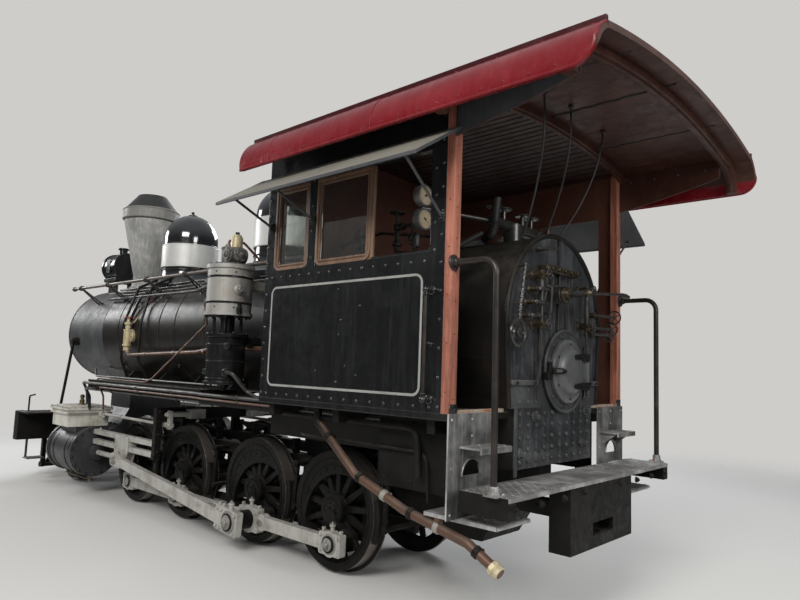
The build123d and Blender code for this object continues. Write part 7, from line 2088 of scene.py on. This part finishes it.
def build_stage():
    """A pale floor, soft lights and the camera where the photograph was taken."""
    scene = bpy.context.scene
    floor = Metalwork()
    floor.slab(rounded_box(-60, 60, -60, 60, 20.0), (0, 0, -0.02), AHEAD, LEFT, 0.0195)
    mesh = bpy.data.meshes.new("floor")
    mesh.from_pydata(floor.points, [], floor.faces)
    ground = bpy.data.objects.new("floor", mesh)
    scene.collection.objects.link(ground)
    pale = bpy.data.materials.new("floor_pale")
    pale.use_nodes = True
    shader = pale.node_tree.nodes["Principled BSDF"]
    shader.inputs["Base Color"].default_value = (0.6, 0.59, 0.57, 1)
    shader.inputs["Roughness"].default_value = 0.9
    shader.inputs["Specular IOR Level"].default_value = 0.1
    n = Nodes(pale.node_tree)
    spot = n.put("ShaderNodeTexCoord").outputs["Object"]
    reach = n.put("ShaderNodeVectorMath", {0: spot}, operation="LENGTH").outputs["Value"]
    clear = n.put("ShaderNodeBsdfTransparent").outputs[0]
    ground_mix = n.put("ShaderNodeMixShader", {0: n.spread(reach, 6.5, 12.5), 1: shader.outputs[0], 2: clear})
    n.feed(pale.node_tree.nodes["Material Output"].inputs["Surface"], ground_mix.outputs[0])
    mesh.materials.append(pale)

    world = bpy.data.worlds.new("studio")
    scene.world = world
    world.use_nodes = True
    n = Nodes(world.node_tree)
    world.node_tree.nodes.clear()
    path = n.put("ShaderNodeLightPath").outputs
    seen = n.maths("MAXIMUM", path["Is Camera Ray"], path["Is Transmission Ray"])
    shown = n.put("ShaderNodeBackground", {"Color": (0.62, 0.61, 0.59, 1), "Strength": 1.0}).outputs[0]
    lit = n.put("ShaderNodeBackground", {"Color": (0.92, 0.96, 1.0, 1), "Strength": 0.42}).outputs[0]
    rise = n.put("ShaderNodeSeparateXYZ", {0: n.put("ShaderNodeTexCoord").outputs["Generated"]}).outputs[2]
    hall = n.put("ShaderNodeBackground",
                 {"Color": (0.9, 0.95, 1.0, 1), "Strength": n.spread(rise, 0.0, 0.9, 0.05, 0.5)}).outputs[0]
    mixed = n.put("ShaderNodeMixShader", {0: path["Is Glossy Ray"], 1: lit, 2: hall}).outputs[0]
    mixed = n.put("ShaderNodeMixShader", {0: seen, 1: mixed, 2: shown}).outputs[0]
    n.feed(n.put("ShaderNodeOutputWorld").inputs["Surface"], mixed)

    for name, place, aim, size, power, tint in (
        ("key", (-6.0, 11.0, 8.5), (0, 1.0, 1.6), (7.0, 4.0), 1500, (1.0, 0.98, 0.95)),
        ("rear", (-12.0, 2.5, 5.0), (-3.0, 0, 2.0), (4.0, 3.0), 420, (1.0, 0.99, 0.97)),
        ("far", (5.0, -10.0, 8.0), (0, -1.0, 2.0), (7.0, 4.0), 1000, (0.95, 0.98, 1.0)),
        ("front", (12.0, 4.0, 6.0), (3.0, 0, 2.0), (4.0, 3.0), 450, (1.0, 1.0, 1.0)),
    ):
        lamp = bpy.data.lights.new(name, "AREA")
        lamp.shape, lamp.size, lamp.size_y = "RECTANGLE", *size
        lamp.energy, lamp.color = power, tint
        held = bpy.data.objects.new(name, lamp)
        held.location = place
        held.rotation_mode = "QUATERNION"
        held.rotation_quaternion = (Vector(aim) - Vector(place)).to_track_quat("-Z", "Y")
        scene.collection.objects.link(held)

    camera = bpy.data.objects.new("camera", bpy.data.cameras.new("camera"))
    scene.collection.objects.link(camera)
    # The camera's angles, place and lens were worked out from straight edges in the photograph
    yaw, pitch, roll = -0.8268, 0.1046, 0.0352
    forward = Vector((cos(pitch) * cos(yaw), cos(pitch) * sin(yaw), sin(pitch)))
    right = forward.cross(UP).normalized()
    up = right.cross(forward)
    right, up = right * cos(roll) + up * sin(roll), up * cos(roll) - right * sin(roll)
    turn = Matrix((right, up, -forward)).transposed().to_4x4()
    camera.matrix_world = Matrix.Translation((-5.9489, 4.1881, 1.6593)) @ turn
    camera.data.sensor_width = 36.0
    camera.data.lens = 29.05
    camera.data.clip_start, camera.data.clip_end = 0.05, 300.0
    scene.camera = camera
    scene.view_settings.view_transform = "Standard"


# ---------------------------------------------------------------- operators


class LOCO_OT_finishes(bpy.types.Operator):
    """Make every finish and give it to the CAD model"""

    bl_idname = "loco.finishes"
    bl_label = "Finishes"

    def execute(self, context):
        make_paints()
        coat_nodes()
        return {"FINISHED"}


class LOCO_OT_cab_rivets(bpy.types.Operator):
    """Set the rivets round the cab's plates"""

    bl_idname = "loco.cab_rivets"
    bl_label = "Cab rivets"

    def execute(self, context):
        build_cab_rivets()
        return {"FINISHED"}


class LOCO_OT_lining(bpy.types.Operator):
    """Paint the pale line round the bare panel of each cab side"""

    bl_idname = "loco.lining"
    bl_label = "Lining"

    def execute(self, context):
        build_lining()
        return {"FINISHED"}


class LOCO_OT_windows(bpy.types.Operator):
    """Fit the beads, corners and sills of the cab's windows"""

    bl_idname = "loco.windows"
    bl_label = "Window trim"

    def execute(self, context):
        build_window_trim()
        return {"FINISHED"}


class LOCO_OT_roof(bpy.types.Operator):
    """Fit the roof's rivets, laps and beads"""

    bl_idname = "loco.roof"
    bl_label = "Roof details"

    def execute(self, context):
        build_roof_details()
        return {"FINISHED"}


class LOCO_OT_ceiling(bpy.types.Operator):
    """Board the roof's underside"""

    bl_idname = "loco.ceiling"
    bl_label = "Ceiling"

    def execute(self, context):
        build_ceiling_boards()
        return {"FINISHED"}


class LOCO_OT_awnings(bpy.types.Operator):
    """Roll the awnings' edges and fix their stays"""

    bl_idname = "loco.awnings"
    bl_label = "Awning edges"

    def execute(self, context):
        build_awning_edges()
        return {"FINISHED"}


class LOCO_OT_posts(bpy.types.Operator):
    """Rivet the posts and flange the grab rails and handles"""

    bl_idname = "loco.posts"
    bl_label = "Posts and handles"

    def execute(self, context):
        build_post_fittings()
        return {"FINISHED"}


class LOCO_OT_backhead(bpy.types.Operator):
    """Fit the staybolts, jacket rim, valves and pipes of the back head"""

    bl_idname = "loco.backhead"
    bl_label = "Back head"

    def execute(self, context):
        build_backhead()
        return {"FINISHED"}


class LOCO_OT_gauges(bpy.types.Operator):
    """Hang the steam gauges and the turret's wheels"""

    bl_idname = "loco.gauges"
    bl_label = "Gauges"

    def execute(self, context):
        build_gauges()
        return {"FINISHED"}


class LOCO_OT_fire_door(bpy.types.Operator):
    """Strap the fire door"""

    bl_idname = "loco.fire_door"
    bl_label = "Fire door"

    def execute(self, context):
        build_fire_door()
        return {"FINISHED"}


class LOCO_OT_seats(bpy.types.Operator):
    """Upholster the seats"""

    bl_idname = "loco.seats"
    bl_label = "Seats"

    def execute(self, context):
        build_seats()
        return {"FINISHED"}


class LOCO_OT_deck(bpy.types.Operator):
    """Lay the chequered plates of the deck and steps"""

    bl_idname = "loco.deck"
    bl_label = "Deck and steps"

    def execute(self, context):
        build_deck()
        return {"FINISHED"}


class LOCO_OT_boiler(bpy.types.Operator):
    """Clamp the jacket's bands and run the pipes along the barrel"""

    bl_idname = "loco.boiler"
    bl_label = "Boiler details"

    def execute(self, context):
        build_boiler_details()
        return {"FINISHED"}


class LOCO_OT_smokebox(bpy.types.Operator):
    """Rivet the smokebox and dog its door"""

    bl_idname = "loco.smokebox"
    bl_label = "Smokebox details"

    def execute(self, context):
        build_smokebox_details()
        return {"FINISHED"}


class LOCO_OT_stack(bpy.types.Operator):
    """Bead and rivet the stack"""

    bl_idname = "loco.stack"
    bl_label = "Stack details"

    def execute(self, context):
        build_stack_details()
        return {"FINISHED"}


class LOCO_OT_domes(bpy.types.Operator):
    """Bead the domes and run the sand pipes"""

    bl_idname = "loco.domes"
    bl_label = "Dome details"

    def execute(self, context):
        build_dome_details()
        return {"FINISHED"}


class LOCO_OT_headlight(bpy.types.Operator):
    """Fit the reflector, lens and rim of the headlight"""

    bl_idname = "loco.headlight"
    bl_label = "Headlight details"

    def execute(self, context):
        build_headlight_details()
        return {"FINISHED"}


class LOCO_OT_handrails(bpy.types.Operator):
    """Fit the knobs, tees and feet of the handrails"""

    bl_idname = "loco.handrails"
    bl_label = "Handrail fittings"

    def execute(self, context):
        build_handrail_details()
        return {"FINISHED"}


class LOCO_OT_pump(bpy.types.Operator):
    """Bolt and pipe the air pump"""

    bl_idname = "loco.pump"
    bl_label = "Air pump details"

    def execute(self, context):
        build_pump_details()
        return {"FINISHED"}


class LOCO_OT_check_valves(bpy.types.Operator):
    """Bolt and pipe the check valves"""

    bl_idname = "loco.check_valves"
    bl_label = "Check valve details"

    def execute(self, context):
        build_check_valve_details()
        return {"FINISHED"}


class LOCO_OT_boards(bpy.types.Operator):
    """Run the pipes along the boards and rivet their edges"""

    bl_idname = "loco.boards"
    bl_label = "Running board details"

    def execute(self, context):
        build_board_details()
        return {"FINISHED"}


class LOCO_OT_cylinders(bpy.types.Operator):
    """Bolt the cylinders and steam chests"""

    bl_idname = "loco.cylinders"
    bl_label = "Cylinder details"

    def execute(self, context):
        build_cylinder_details()
        return {"FINISHED"}


class LOCO_OT_wheels(bpy.types.Operator):
    """Fit the hub plates, pin nuts and tyre rings"""

    bl_idname = "loco.wheels"
    bl_label = "Wheel details"

    def execute(self, context):
        build_wheel_details()
        return {"FINISHED"}


class LOCO_OT_rods(bpy.types.Operator):
    """Bolt the straps of the rods and crossheads"""

    bl_idname = "loco.rods"
    bl_label = "Rod details"

    def execute(self, context):
        build_rod_details()
        return {"FINISHED"}


class LOCO_OT_guides(bpy.types.Operator):
    """Bolt the guides, yoke and valve rods"""

    bl_idname = "loco.guides"
    bl_label = "Guide bolts"

    def execute(self, context):
        build_guide_details()
        return {"FINISHED"}


class LOCO_OT_frame_details(bpy.types.Operator):
    """Bolt the frame, springs and brakes"""

    bl_idname = "loco.frame_details"
    bl_label = "Frame details"

    def execute(self, context):
        build_frame_details()
        return {"FINISHED"}


class LOCO_OT_feed_pipe(bpy.types.Operator):
    """Clamp the feed pipe"""

    bl_idname = "loco.feed_pipe"
    bl_label = "Feed pipe fittings"

    def execute(self, context):
        build_feed_pipe_details()
        return {"FINISHED"}


class LOCO_OT_front(bpy.types.Operator):
    """Bolt the front beam, coupler and pilot"""

    bl_idname = "loco.front"
    bl_label = "Front details"

    def execute(self, context):
        build_front_details()
        return {"FINISHED"}


class LOCO_OT_stage(bpy.types.Operator):
    """Lay the floor, hang the lights and set up the camera"""

    bl_idname = "loco.stage"
    bl_label = "Stage"

    def execute(self, context):
        build_stage()
        return {"FINISHED"}


STEPS = (
    LOCO_OT_finishes, LOCO_OT_cab_rivets, LOCO_OT_lining, LOCO_OT_windows, LOCO_OT_roof, LOCO_OT_ceiling,
    LOCO_OT_awnings, LOCO_OT_posts, LOCO_OT_backhead, LOCO_OT_gauges, LOCO_OT_fire_door, LOCO_OT_seats,
    LOCO_OT_deck, LOCO_OT_boiler, LOCO_OT_smokebox, LOCO_OT_stack, LOCO_OT_domes, LOCO_OT_headlight,
    LOCO_OT_handrails, LOCO_OT_pump, LOCO_OT_check_valves, LOCO_OT_boards, LOCO_OT_cylinders, LOCO_OT_wheels,
    LOCO_OT_rods, LOCO_OT_guides, LOCO_OT_frame_details, LOCO_OT_feed_pipe, LOCO_OT_front, LOCO_OT_stage,
)


class LOCO_PT_panel(bpy.types.Panel):
    """Lists the locomotive's pieces in the sidebar."""

    bl_idname = "LOCO_PT_panel"
    bl_label = "Locomotive"
    bl_space_type = "VIEW_3D"
    bl_region_type = "UI"
    bl_category = "Locomotive"

    def draw(self, context):
        for step in STEPS:
            self.layout.operator(step.bl_idname)
        for settings in (context.scene.locomotive_sizes, context.scene.locomotive_colours):
            column = self.layout.column()
            for name in settings.__annotations__:
                column.prop(settings, name)


CLASSES = (LocomotiveSizes, LocomotiveColours, *STEPS, LOCO_PT_panel)


def register():
    for part in CLASSES:
        bpy.utils.register_class(part)
    bpy.types.Scene.locomotive_sizes = bpy.props.PointerProperty(type=LocomotiveSizes)
    bpy.types.Scene.locomotive_colours = bpy.props.PointerProperty(type=LocomotiveColours)


def unregister():
    del bpy.types.Scene.locomotive_colours
    del bpy.types.Scene.locomotive_sizes
    for part in reversed(CLASSES):
        bpy.utils.unregister_class(part)


def main():
    register()
    for step in STEPS:
        getattr(bpy.ops.loco, step.bl_idname.split(".")[1])()


if __name__ == "__main__":
    main()
